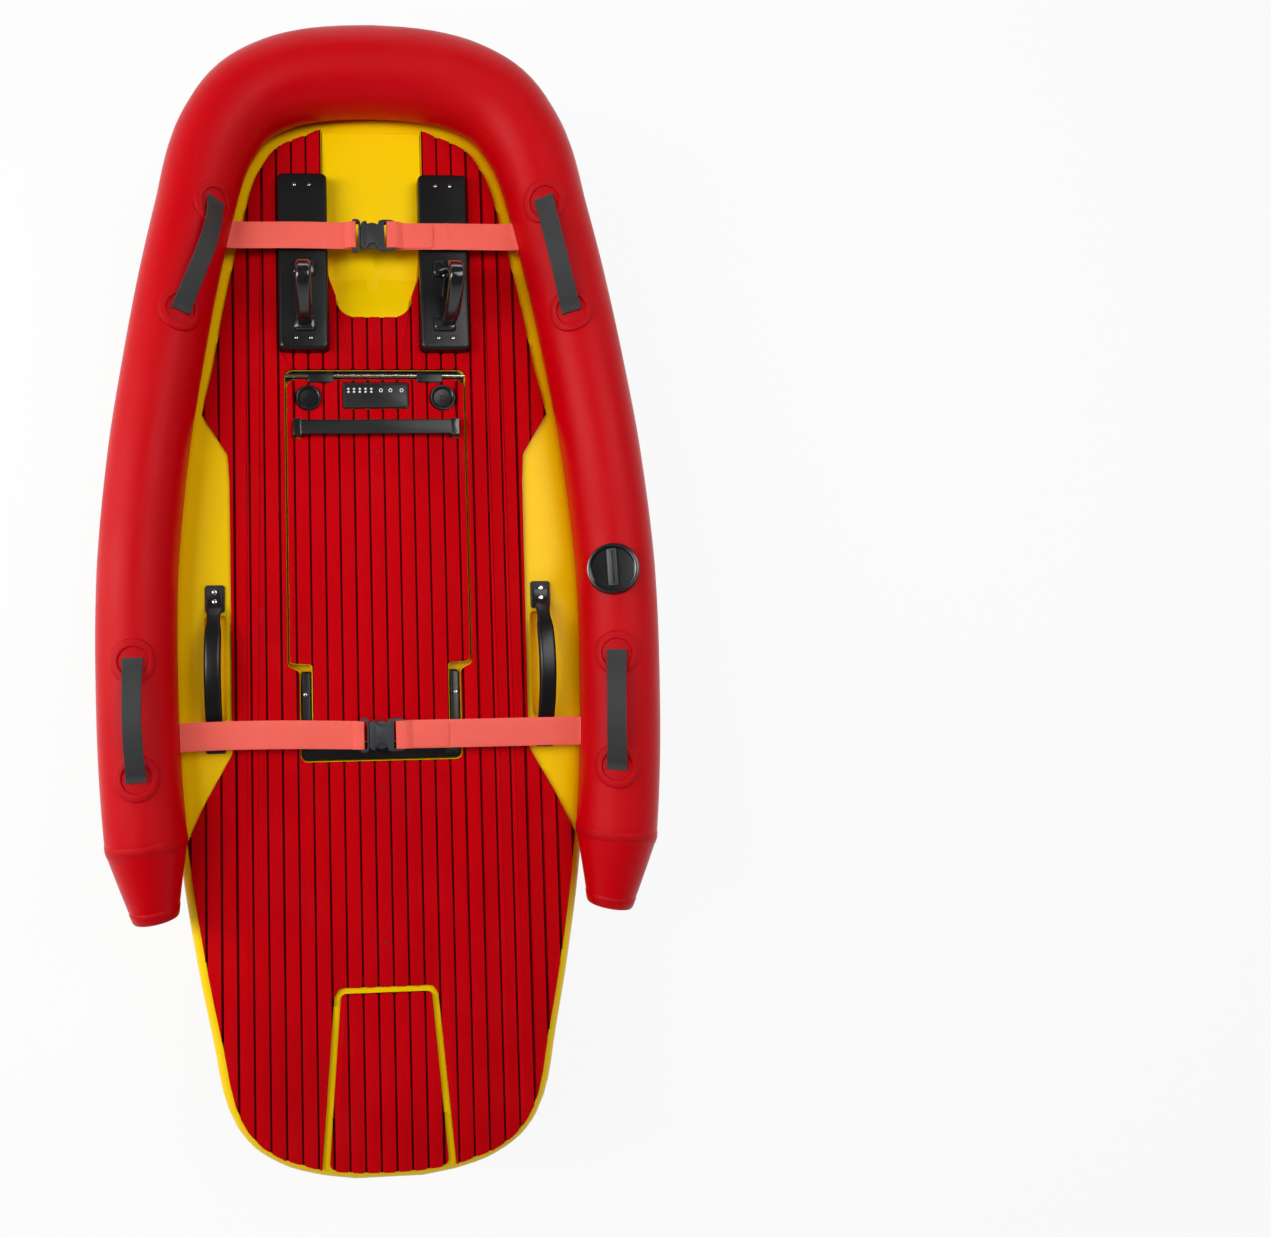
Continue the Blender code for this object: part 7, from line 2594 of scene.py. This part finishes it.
        cap.add(BUCKLE_BLACK, bar.moved(frame))
        ridge = prism(rectangle(0.0022, -0.026, 0.030, 0.0018), high + 0.0008, high + 0.0026, 0.0008)
        cap.add(SATIN_BLACK, ridge.moved(frame)).build()

    def make(self) -> None:
        """Builds the collar and its fittings."""
        self.skin()
        self.seams()
        for place, ends, port in (
            ("front", (0.690, 0.492), (-0.024, -0.004)),
            ("rear", (-0.114, -0.308), (0.018, 0.018)),
        ):
            self.handle(place, -1, "left", ends, port)
            self.handle(place, 1, "right", ends, (0.0, 0.0))
        self.valve()


@dataclass(frozen=True)
class Lay:
    """How one strap lies.

    Attributes:
        place: front or rear.
        y: its station.
        arch: how far its port web bows up.
        sway: how far its port web bends forward.
        creases: places of the fold creases in X, port and starboard.
        doubled_end: outer end in X of the starboard web's folded-back end.
    """

    place: str
    y: float
    arch: float
    sway: float
    creases: Point2
    doubled_end: float


LAYS = (
    Lay("front", 0.660, 0.002, 0.0, (0.085, 0.135), 0.110),
    Lay("rear", -0.252, 0.006, 0.005, (0.205, 0.155), 0.118),
)


@dataclass
class Straps:
    """Two straps across the deck, each of two webs and a side-release buckle.

    Attributes:
        collar: the tube that they are sewn to.
        width: width of the webbing.
        thick: its thickness.
        height: its height over the deck.
        half_length: half length of a buckle.
        folds: where each web dips into its slot in X, and its height there, port and starboard.
        doubled_start: inner end in X of the starboard web's folded-back end.
        fold_half: half width of a fold.
        room: a shortest length in X for the rear strap; not used.
    """

    collar: Collar
    width: float = 0.050
    thick: float = 0.002
    height: float = 0.037
    half_length: float = 0.040
    folds: tuple[Point2, Point2] = ((0.0337, 0.0060), (0.0243, 0.0072))
    doubled_start: float = 0.050
    fold_half: float = 0.0245
    room: float = 0.06

    def flank(self, y: float, angle: float, lift: float) -> Vector:
        """A point over the collar's inner flank.

        Args:
            y: the station.
            angle: degrees over level.
            lift: height over the skin.

        Returns:
            The point.
        """
        station = y
        point = Vector()
        for _ in range(6):
            step = self.collar.point(station + 0.01) - self.collar.point(station - 0.01)
            inboard = Vector((-step.y, step.x, 0.0)).normalized()
            up = math.radians(angle)
            reach = self.collar.girth(station) + lift
            point = self.collar.point(station) + (
                inboard * math.cos(up) + Vector((0, 0, math.sin(up)))
            ) * reach
            station += y - point.y
        return point

    def path(self, y: float, arch: float, inner: float, creases: Sequence[float]) -> list[Point2]:
        """A web's middle line in X and Z from the flank to the buckle.

        Args:
            y: station of the web's edge.
            arch: how far it bows up.
            inner: X of its inner end.
            creases: places of its fold creases in X.

        Returns:
            The line.
        """
        lift = GAP + self.thick / 2
        flank = [self.flank(y, angle, lift) for angle in stations(-25, 0, 3.2)]
        edge, high = flank[-1].x, DECK_Z + self.height
        corners = [(flank[-1].x, flank[-1].z), (edge - 0.004, high + 0.001), (edge - 0.016, high)]
        line = [(point.x, point.z) for point in flank[:-1]] + fillet(corners, 0.006, 5, False)
        start = edge - 0.020
        for i in range(1, 49):
            x = start + (inner - start) * i / 48
            share = (start - x) / (start - inner)
            z = high + arch * math.sin(math.pi * share) ** 2
            for crease in creases:
                z += 0.0011 * math.exp(-(((x - crease) / 0.0022) ** 2))
            line.append((x, z))
        return line

    def web(self, side: int, y: float, arch: float, creases: Sequence[float], sway: float) -> Solid:
        """One web as a thin band with soft edges.

        Args:
            side: -1 to port, 1 to starboard.
            y: the strap's station.
            arch: how far it bows up.
            creases: places of its fold creases in X.
            sway: how far it bends forward.

        Returns:
            The solid.
        """
        inner = self.half_length + GAP
        half = self.width / 2
        columns = (-1.0, -0.93, -0.5, 0.0, 0.5, 0.93, 1.0)
        lines = [self.path(y + half * share, arch, inner, creases) for share in columns]
        rings = []
        count = len(lines[0])
        for i in range(count):
            upper, lower = [], []
            for share, line in zip(columns, lines):
                before, after = line[max(i - 1, 0)], line[min(i + 1, count - 1)]
                out = Vector((after[1] - before[1], 0.0, before[0] - after[0])).normalized()
                if out.z < 0:
                    out = -out
                thin = self.thick / 2 * (0.45 if abs(share) == 1.0 else 1.0)
                progress = i / (count - 1)
                shift = sway * math.sin(math.pi * progress)
                middle = Vector((line[i][0], y + half * share + shift, line[i][1]))
                upper.append(middle + out * thin)
                lower.append(middle - out * thin)
            rings.append(upper + lower[::-1])
        return loft(rings).side(side)

    def wrap(self, side: int, y: float, inner: float, top: float) -> Solid:
        """The web's fold over the end bar of a buckle.

        Args:
            side: -1 to port, 1 to starboard.
            y: the strap's station.
            inner: X at which the web dips into the buckle's slot.
            top: its height over the buckle's middle.

        Returns:
            The folded band.
        """
        z = DECK_Z + self.height
        corners = [(inner, z - 0.004), (inner, z + top), (0.0415, z + top), (0.0540, z + 0.0022)]
        line = fillet(corners, 0.0018, 4, False)
        rings = []
        for i, (x, high) in enumerate(line):
            before, after = line[max(i - 1, 0)], line[min(i + 1, len(line) - 1)]
            out = Vector((before[1] - after[1], 0.0, after[0] - before[0])).normalized() * 0.0009
            square = ((-1, -1), (1, -1), (1, 1), (-1, 1))
            rings.append([Vector((x, y + s * self.fold_half, high)) + out * t for s, t in square])
        return loft(rings).side(side)

    def doubled(self, side: int, y: float, start: float, end: float) -> Solid:
        """The folded-back end of a web, lying on it, with round corners.

        Args:
            side: -1 to port, 1 to starboard.
            y: the strap's station.
            start: its inner end in X.
            end: its outer end in X.

        Returns:
            The solid.
        """
        half = 0.0235
        outline = fillet([(start, y - half), (end, y - half), (end, y + half), (start, y + half)], 0.010, 6)
        z = DECK_Z + self.height + self.thick / 2 + 0.0003
        return prism(outline, z, z + self.thick, 0.0007).side(side)

    def buckle(self, place: str, y: float) -> None:
        """A side-release buckle in its two halves.

        Args:
            place: front or rear.
            y: the strap's station.
        """
        z = DECK_Z + self.height
        male = Piece(f"{place}_clip_prongs", BOARD, (f"{place}_buckle_male",))
        bar_x, high = -self.half_length, 0.0048
        frame = fillet(
            [
                (bar_x + 0.0005, y - 0.0306), (bar_x + 0.012, y - 0.0306), (-0.0240, y - 0.0240),
                (-0.0240, y + 0.0240), (bar_x + 0.012, y + 0.0306), (bar_x + 0.0005, y + 0.0306),
            ],
            0.0035,
            5,
        )
        male.add(BUCKLE_BLACK, prism(frame, z - high, z + high, 0.0018))
        for sign in (-1, 1):
            arm = fillet(
                [
                    (-0.0255, y + sign * 0.0120), (-0.0255, y + sign * 0.0190), (-0.0120, y + sign * 0.0228),
                    (-0.0020, y + sign * 0.0252), (0.0070, y + sign * 0.0222), (0.0125, y + sign * 0.0165),
                    (0.0125, y + sign * 0.0120),
                ],
                0.002,
                4,
            )
            male.add(BUCKLE_BLACK, prism(arm, z - 0.0026, z + 0.0026, 0.0010))
        male.add(
            BUCKLE_BLACK, block((-0.0255, y - 0.006, z - 0.0022), (0.012, y + 0.006, z + 0.0022), 0.0009)
        )
        slot = prism(rectangle(0.0034, y - 0.0245, y + 0.0245, 0.002, -0.0312), z - 0.02, z + 0.02)
        female = Piece(f"{place}_clip_body", BOARD, (f"{place}_buckle_female",))
        half = [(-0.0236, 0.0215), (-0.0190, 0.0262), (-0.0142, 0.0268)]
        half += arc(-0.0020, 0.0268, 0.0112, 180, 360, 10)
        half += [(0.0108, 0.0278), (0.0170, 0.0292), (0.0320, 0.0290), (0.0398, 0.0262)]
        line = [(x, y + across) for x, across in half] + [(x, y - across) for x, across in reversed(half)]
        female.add(BUCKLE_BLACK, prism(line, z - 0.0060, z + 0.0060, 0.0016))
        mouth = block((-0.030, y - 0.0150, z - 0.0036), (0.010, y + 0.0150, z + 0.0036), 0.001)
        back = prism(rectangle(0.0030, y - 0.0245, y + 0.0245, 0.0015, 0.0222), z - 0.02, z + 0.02)
        release = male.build(slot)
        body = female.build(mouth, back)
        if place == "rear":
            self.slide(release, y)
            self.slide(body, y)

    def slide(self, thing: bpy.types.Object, y: float) -> None:
        """Finds where the rear strap meets the collar's flank and gives a piece of it its own copy of its
        mesh.

        Args:
            thing: the piece.
            y: the strap's station.
        """
        anchor = self.flank(y, 0.0, 0.0)
        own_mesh(thing)

    def make(self) -> None:
        """Builds both straps."""
        for lay in LAYS:
            for (side, name), crease, fold in zip(SIDES, lay.creases, self.folds):
                arch, sway = (lay.arch, lay.sway) if side < 0 else (lay.arch * 0.3, 0.0)
                piece = Piece(f"{lay.place}_web_{name}", BOARD, (f"{lay.place}_strap_{name}",), 50.0)
                piece.add(STRAP_WEB, self.web(side, lay.y, arch, (crease,), sway))
                piece.add(STRAP_WEB, self.wrap(side, lay.y, *fold))
                if side > 0:
                    piece.add(STRAP_WEB, self.doubled(side, lay.y, self.doubled_start, lay.doubled_end))
                thing = piece.build()
                if lay.place == "rear":
                    self.slide(thing, lay.y)
            self.buckle(lay.place, lay.y)


@dataclass
class Pod:
    """The drive pod under the hull: fairing, motor, tail cone, mount, duct and propeller.

    Attributes:
        motor_radius: radius of the motor's housing.
        fairing: tip and end of the fairing in Y.
        motor_end: rear end of the motor in Y.
        cone: rear end of the tail cone in Y, and its radius there.
        duct: front and rear of the duct in Y.
        duct_radii: its radius in front, at its fullest and behind.
        duct_wall: thickness of its wall.
        stator_y: middle of the stator's vanes in Y.
        hub: radius at which the vanes start.
        vanes: how many vanes there are.
        slots: how many slots the duct's rear has.
    """

    motor_radius: float = 0.0445
    fairing: Point2 = (-0.053, -0.3866)
    motor_end: float = -0.5855
    cone: Point2 = (-0.7334, 0.0195)
    duct: Point2 = (-0.7266, -0.9626)
    duct_radii: tuple[float, float, float] = (0.0665, 0.075, 0.052)
    duct_wall: float = 0.005
    stator_y: float = -0.880
    hub: float = 0.0125
    vanes: int = 5
    slots: int = 8

    def fairing_piece(self) -> None:
        """The long half-buried cone in front of the motor."""
        tip, end = self.fairing
        roof = BOTTOM_Z - GAP
        rings = []
        for i in range(49):
            t = i / 48
            y = tip + (end - tip) * t
            rise = math.sin(t * math.pi / 2)
            radius = 0.003 + (self.motor_radius - 0.003) * rise**0.9
            middle = roof - 0.002 + (POD_Z - BOTTOM_Z + 0.002) * rise**1.1
            rings.append([(u, y, min(middle + v, roof)) for v, u in circle(radius, 56)])
        Piece("motor_fairing", BOARD, ("pod_fairing",), 40.0).add(POD_YELLOW, loft(rings)).build()

    def motor(self) -> None:
        """The motor's gloss housing with its bands and screws."""
        front, rear, radius = self.fairing[1] - GAP, self.motor_end + GAP, self.motor_radius
        band = radius + 0.0009
        line = [(band - 0.0006, front), (band, front - 0.0006), (band, front - 0.0094)]
        line += [(radius + 0.0001, front - 0.0104), (radius, front - 0.012), (radius, rear + 0.012)]
        line += [(radius + 0.0001, rear + 0.0104), (band, rear + 0.0094), (band, rear + 0.0006)]
        line += [(band - 0.0006, rear), (radius - 0.004, rear), (radius - 0.004, front)]
        piece = Piece("motor_case", BOARD, ("motor_housing",)).add(GLOSS_BLACK, pod_lathe(line))
        for y in (front - 0.0052, rear + 0.0052):
            for turn in range(0, 360, 30):
                out = Vector((math.sin(math.radians(turn)), 0.0, math.cos(math.radians(turn))))
                spot = Vector((0.0, y, POD_Z)) + out * (band - 0.0004)
                piece.add(STEEL, screw_head(spot, out, 0.0029, 0.35))
        piece.build()

    def tail(self) -> None:
        """The tail cone behind the motor and the mount that carries it."""
        start, end = self.motor_end - 0.010, self.cone[0] + 0.045
        line = [
            (self.motor_radius - 0.0006, self.motor_end - GAP), (self.motor_radius, self.motor_end - 0.0009)
        ]
        for i in range(25):
            t = i / 24
            radius = self.motor_radius + (self.cone[1] - self.motor_radius) * (1 - math.cos(math.pi * t)) / 2
            line.append((radius, start + (end - start) * t))
        line += [(self.cone[1], self.cone[0] + 0.001), (self.cone[1] - 0.001, self.cone[0])]
        line += [(0.0053, self.cone[0]), (0.0053, self.motor_end - GAP)]
        piece = Piece("pod_tail", BOARD, ("tail_cone",)).add(MATT_BLACK, pod_lathe(line))
        for turn in range(15, 375, 45):
            out = Vector((math.sin(math.radians(turn)), 0.0, math.cos(math.radians(turn))))
            spot = Vector((0.0, self.motor_end - 0.006, POD_Z)) + out * (self.motor_radius - 0.0004)
            piece.add(STEEL, screw_head(spot, out, 0.0029, 0.35))
        piece.build()
        dress(MATT_BLACK, "pod_mount")

    def width(self, y: float) -> float:
        """The duct's outer radius at a station.

        Args:
            y: the station.

        Returns:
            The radius.
        """
        front, rear = self.duct
        small, full, end = self.duct_radii
        swell = front - (front - rear) * 0.42
        if y > swell:
            return small + (full - small) * math.sin((front - y) / (front - swell) * math.pi / 2)
        return end + (full - end) * max(math.cos((swell - y) / (swell - rear) * math.pi / 2), 0.0) ** 0.8

    def duct_piece(self) -> None:
        """The barrel duct with its lip, slots, stator hub, vanes and pylon."""
        front, rear = self.duct
        outer = [(self.width(y), y) for y in [front + (rear - front) * i / 36 for i in range(37)]]
        inner = [(radius - self.duct_wall, y) for radius, y in outer[::-1]]
        mouth = outer[0][0]
        lip = [(mouth - 0.0042, front), (mouth - 0.0025, front + 0.0008), (mouth - 0.0008, front + 0.0004)]
        piece = Piece("duct", BOARD, ("duct_nozzle",), 32.0)
        shell = pod_lathe(lip + outer[1:] + inner[:-1], 96)
        hub = [(0.0053, -0.858), (0.0125, -0.858), (0.014, -0.8595), (0.014, -0.890), (0.0125, -0.8955)]
        hub += [(0.0085, -0.9005), (0.0, -0.902), (0.0, -0.899), (0.0053, -0.899)]
        piece.add(MATT_BLACK, shell)
        piece.add(MATT_BLACK, pod_lathe(hub, 40))
        for i in range(self.vanes):
            rings = []
            for share in (0.0, 0.25, 0.5, 0.75, 1.0):
                radius = self.hub + (self.width(self.stator_y) - self.duct_wall / 2 - self.hub) * share
                ring = []
                for k in range(16):
                    angle = math.tau * k / 16
                    blade = math.cos(angle)
                    x = 0.0016 * math.sin(angle) * (1.0 - 0.35 * blade) + 0.0022 * (1 - blade) * 0.5
                    ring.append((x, self.stator_y + 0.014 * blade, radius))
                rings.append(ring)
            vane = loft(rings).moved(Matrix.Rotation(math.tau * i / self.vanes, 4, "Y")).shifted(z=POD_Z)
            piece.add(MATT_BLACK, vane)
        piece.add(MATT_BLACK, block((-0.020, -0.850, POD_Z + 0.071), (0.020, -0.790, 0.1847), 0.002))
        cuts = []
        slot = block((-0.0012, -0.920, 0.038), (0.0012, -0.880, 0.085), 0.0008)
        for i in range(self.slots):
            turn = Matrix.Rotation(math.tau * (i + 0.5) / self.slots, 4, "Y")
            cuts.append(slot.moved(turn).shifted(z=POD_Z))
        piece.build(*cuts)

    def make(self) -> None:
        """Builds the pod."""
        self.fairing_piece()
        self.motor()
        self.tail()
        self.duct_piece()
        dress(BRASS_GREY, "propeller")
        dress(STEEL, "motor_rotor")
        dress(COPPER, "motor_stator")


@dataclass
class Fins:
    """The two swept fins in their boxes.

    Attributes:
        hull: the hull that the boxes are let into.
        thick: thickness of a fin.
    """

    hull: Hull
    thick: float = 0.008

    def outline(self) -> list[Point2]:
        """A fin in Y and Z.

        Returns:
            Its points.
        """
        front, length = self.hull.fin_box
        foot = CHANNEL_Z - 0.002 - GAP
        start, end, tip = front - 0.020, front - length + 0.020, front - length - 0.012
        points = [(start, foot)]
        for i in range(1, 18):
            t = 0.95 * i / 17
            z = foot * (1 - math.sin(t * math.pi / 2) * 0.97)
            points.append((start + (tip + 0.008 - start) * t**1.25, z))
        points += [(tip + 0.008, 0.0), (tip + 0.003, 0.0008), (tip, 0.003), (tip + 0.001, 0.012)]
        for i in range(1, 12):
            t = 0.92 * i / 11
            points.append((tip + (end - tip) * t * 0.55, 0.012 + (foot - 0.012) * t))
        return points + [(end, foot)]

    def make(self) -> None:
        """Builds both fins and boxes."""
        for side, name in SIDES:
            low, high = CHANNEL_Z - 0.002, CHANNEL_Z + 0.006
            outer = self.hull.fin_outline(side, 0.015)
            box = Piece(f"fin_mount_{name}", BOARD, (f"fin_box_{name}",))
            box.add(SATIN_BLACK, prism(outer, low, high, 0.0012))
            x = side * self.hull.fin_x
            for y in (-0.457, -0.584):
                box.add(STEEL, screw_head((x, y, low + 0.0003), DOWN, 0.0042))
            box.build()
            fin = Piece(f"fin_blade_{name}", BOARD, (f"fin_{name}",), 60.0)
            fin.add(FIN_GREY, side_prism(self.outline(), x, self.thick / 2, 0.0034)).build()


@dataclass
class Interior:
    """What the hull holds: battery bay, battery, controller, cable and foam."""

    def make(self) -> None:
        """Dresses the parts inside."""
        dress(FOAM_WHITE, "foam_core_front", "foam_core_rear")
        dress(MATT_BLACK, "battery_bay")
        dress(SATIN_BLACK, "battery_pack")
        dress(CASE_GREY, "motor_controller")
        dress(RUBBER, "motor_cable")


@dataclass(frozen=True)
class Lamp:
    """A rectangular soft light.

    Attributes:
        name: its name.
        place: where it stands.
        aim: the point that it faces.
        size: its width and length in metres.
        power: its power in watts.
    """

    name: str
    place: tuple[float, float, float]
    aim: tuple[float, float, float]
    size: Point2
    power: float

    def build(self) -> None:
        """Makes the light and turns it to its aim."""
        data = bpy.data.lights.new(self.name, "AREA")
        data.shape = "RECTANGLE"
        data.size, data.size_y = self.size
        data.energy = self.power
        way = Vector(self.aim) - Vector(self.place)
        turn = way.to_track_quat("-Z", "Y").to_matrix().to_4x4()
        place_object(self.name, data).matrix_world = Matrix.Translation(self.place) @ turn


LAMPS = (
    Lamp("key", (-2.4, 0.3, 2.6), (0.0, 0.0, 0.3), (1.2, 2.6), 74.0),
    Lamp("edge", (-2.7, 0.3, 1.2), (0.0, 0.0, 0.3), (0.5, 3.2), 18.0),
    Lamp("fill", (1.3, 0.7, 3.1), (-0.1, 0.0, 0.3), (1.4, 2.0), 42.0),
    Lamp("nose", (0.3, 3.6, 1.2), (0.0, 0.6, 0.3), (2.4, 0.4), 12.0),
)


@dataclass
class Studio:
    """The floor, the lights, the world and the camera.

    Attributes:
        lens: focal length in millimetres.
        shift: the camera's shift in X and Y.
        angles: its turn about Z, X and Y in degrees.
        distance: from the camera to the deck's middle.
        sensor: width of its sensor in millimetres.
        aim_y: station that it looks at.
        floor_half: half width of the floor.
        floor_glow: how far the floor is pure white to the camera.
        floor_grey: the floor's own grey.
        sky: colour of the world.
    """

    lens: float = 24.926
    shift: Point2 = (0.2015, -0.0079)
    angles: tuple[float, float, float] = (-0.85, 3.7, -3.2)
    distance: float = 1.614
    sensor: float = 36.0
    aim_y: float = -0.0248
    floor_half: float = 24.0
    floor_glow: float = 0.90
    floor_grey: float = 0.86
    sky: Colour = (0.96, 0.98, 1.0)

    def camera(self) -> None:
        """The camera, above the board and slightly ahead of it."""
        data = bpy.data.cameras.new("camera")
        data.lens = self.lens
        data.sensor_width = self.sensor
        data.sensor_fit = "HORIZONTAL"
        data.shift_x, data.shift_y = self.shift
        turn, pitch, roll = (math.radians(angle) for angle in self.angles)
        rotation = Matrix.Rotation(turn, 4, "Z") @ Matrix.Rotation(pitch, 4, "X")
        rotation = rotation @ Matrix.Rotation(roll, 4, "Y")
        place = rotation @ Vector((0.0, 0.0, self.distance)) + Vector((0.0, self.aim_y, DECK_Z))
        thing = place_object("camera", data)
        thing.matrix_world = Matrix.Translation(place) @ rotation
        bpy.context.scene.camera = thing

    def floor(self) -> None:
        """The pale floor, pure white to the camera where nothing shades it."""
        outline = rectangle(self.floor_half, -self.floor_half, self.floor_half, 0.5)[::-1]
        mesh = bpy.data.meshes.new("floor")
        mesh.from_pydata([(x, y, 0.0) for x, y in outline], [], [list(range(len(outline)))])
        thing = place_object("floor", mesh)
        material = bpy.data.materials.new("floor")
        material.use_nodes = True
        tree = material.node_tree
        behind = tree.nodes.new("ShaderNodeNewGeometry").outputs["Backfacing"]
        shader = tree.nodes["Principled BSDF"]
        shader.inputs["Base Color"].default_value = (self.floor_grey, self.floor_grey, self.floor_grey, 1.0)
        shader.inputs["Roughness"].default_value = 0.8
        light = tree.nodes.new("ShaderNodeLightPath")
        seen = math_node(tree, "MAXIMUM", light.outputs["Is Camera Ray"], light.outputs["Is Glossy Ray"])
        seen = math_node(tree, "MAXIMUM", seen, light.outputs["Is Transmission Ray"])
        glow = tree.nodes.new("ShaderNodeEmission")
        mix = tree.nodes.new("ShaderNodeMixShader")
        tree.links.new(math_node(tree, "MULTIPLY", seen, self.floor_glow), mix.inputs["Fac"])
        tree.links.new(shader.outputs["BSDF"], mix.inputs[1])
        tree.links.new(glow.outputs["Emission"], mix.inputs[2])
        clear = tree.nodes.new("ShaderNodeBsdfTransparent")
        sides = tree.nodes.new("ShaderNodeMixShader")
        under = math_node(tree, "MULTIPLY", behind, light.outputs["Is Camera Ray"])
        tree.links.new(under, sides.inputs["Fac"])
        tree.links.new(mix.outputs["Shader"], sides.inputs[1])
        tree.links.new(clear.outputs["BSDF"], sides.inputs[2])
        tree.links.new(sides.outputs["Shader"], tree.nodes["Material Output"].inputs["Surface"])
        mesh.materials.append(material)

    def world(self) -> None:
        """A pale world, white to the camera."""
        world = bpy.data.worlds.new("studio")
        world.use_nodes = True
        tree = world.node_tree
        ground = tree.nodes["Background"]
        ground.inputs["Color"].default_value = (*self.sky, 1.0)
        light = tree.nodes.new("ShaderNodeLightPath")
        coordinate = tree.nodes.new("ShaderNodeTexCoord")
        height = split_axes(tree, coordinate.outputs["Generated"])["Z"]
        ring = map_range(tree, height, (0.05, 0.62), (0.85, 0.08))
        strength = math_node(tree, "MAXIMUM", light.outputs["Is Camera Ray"], ring)
        tree.links.new(strength, ground.inputs["Strength"])
        bpy.context.scene.world = world

    def make(self) -> None:
        """Builds the studio."""
        self.camera()
        self.floor()
        self.world()
        for lamp in LAMPS:
            lamp.build()
        bpy.context.scene.view_settings.view_transform = "Standard"


def main() -> None:
    """Builds the scene: the studio first, then the board from the hull up."""
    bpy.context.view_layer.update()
    Studio().make()
    hull, deck, collar = Hull(), Deck(), Collar()
    hull.make()
    deck.make()
    Pads(deck).make()
    Hatch().make()
    Grips().make()
    CarryHandles().make()
    collar.make()
    Straps(collar).make()
    Pod().make()
    Fins(hull).make()
    Interior().make()
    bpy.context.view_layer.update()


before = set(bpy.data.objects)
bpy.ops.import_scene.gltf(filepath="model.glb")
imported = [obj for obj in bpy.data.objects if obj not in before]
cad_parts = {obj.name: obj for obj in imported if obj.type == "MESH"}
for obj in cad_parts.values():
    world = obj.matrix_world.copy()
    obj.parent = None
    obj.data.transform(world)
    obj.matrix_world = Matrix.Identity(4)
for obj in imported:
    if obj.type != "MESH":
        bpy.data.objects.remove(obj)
if __name__ == "__main__":
    logging.basicConfig(level=logging.INFO, format="%(message)s")
    main()
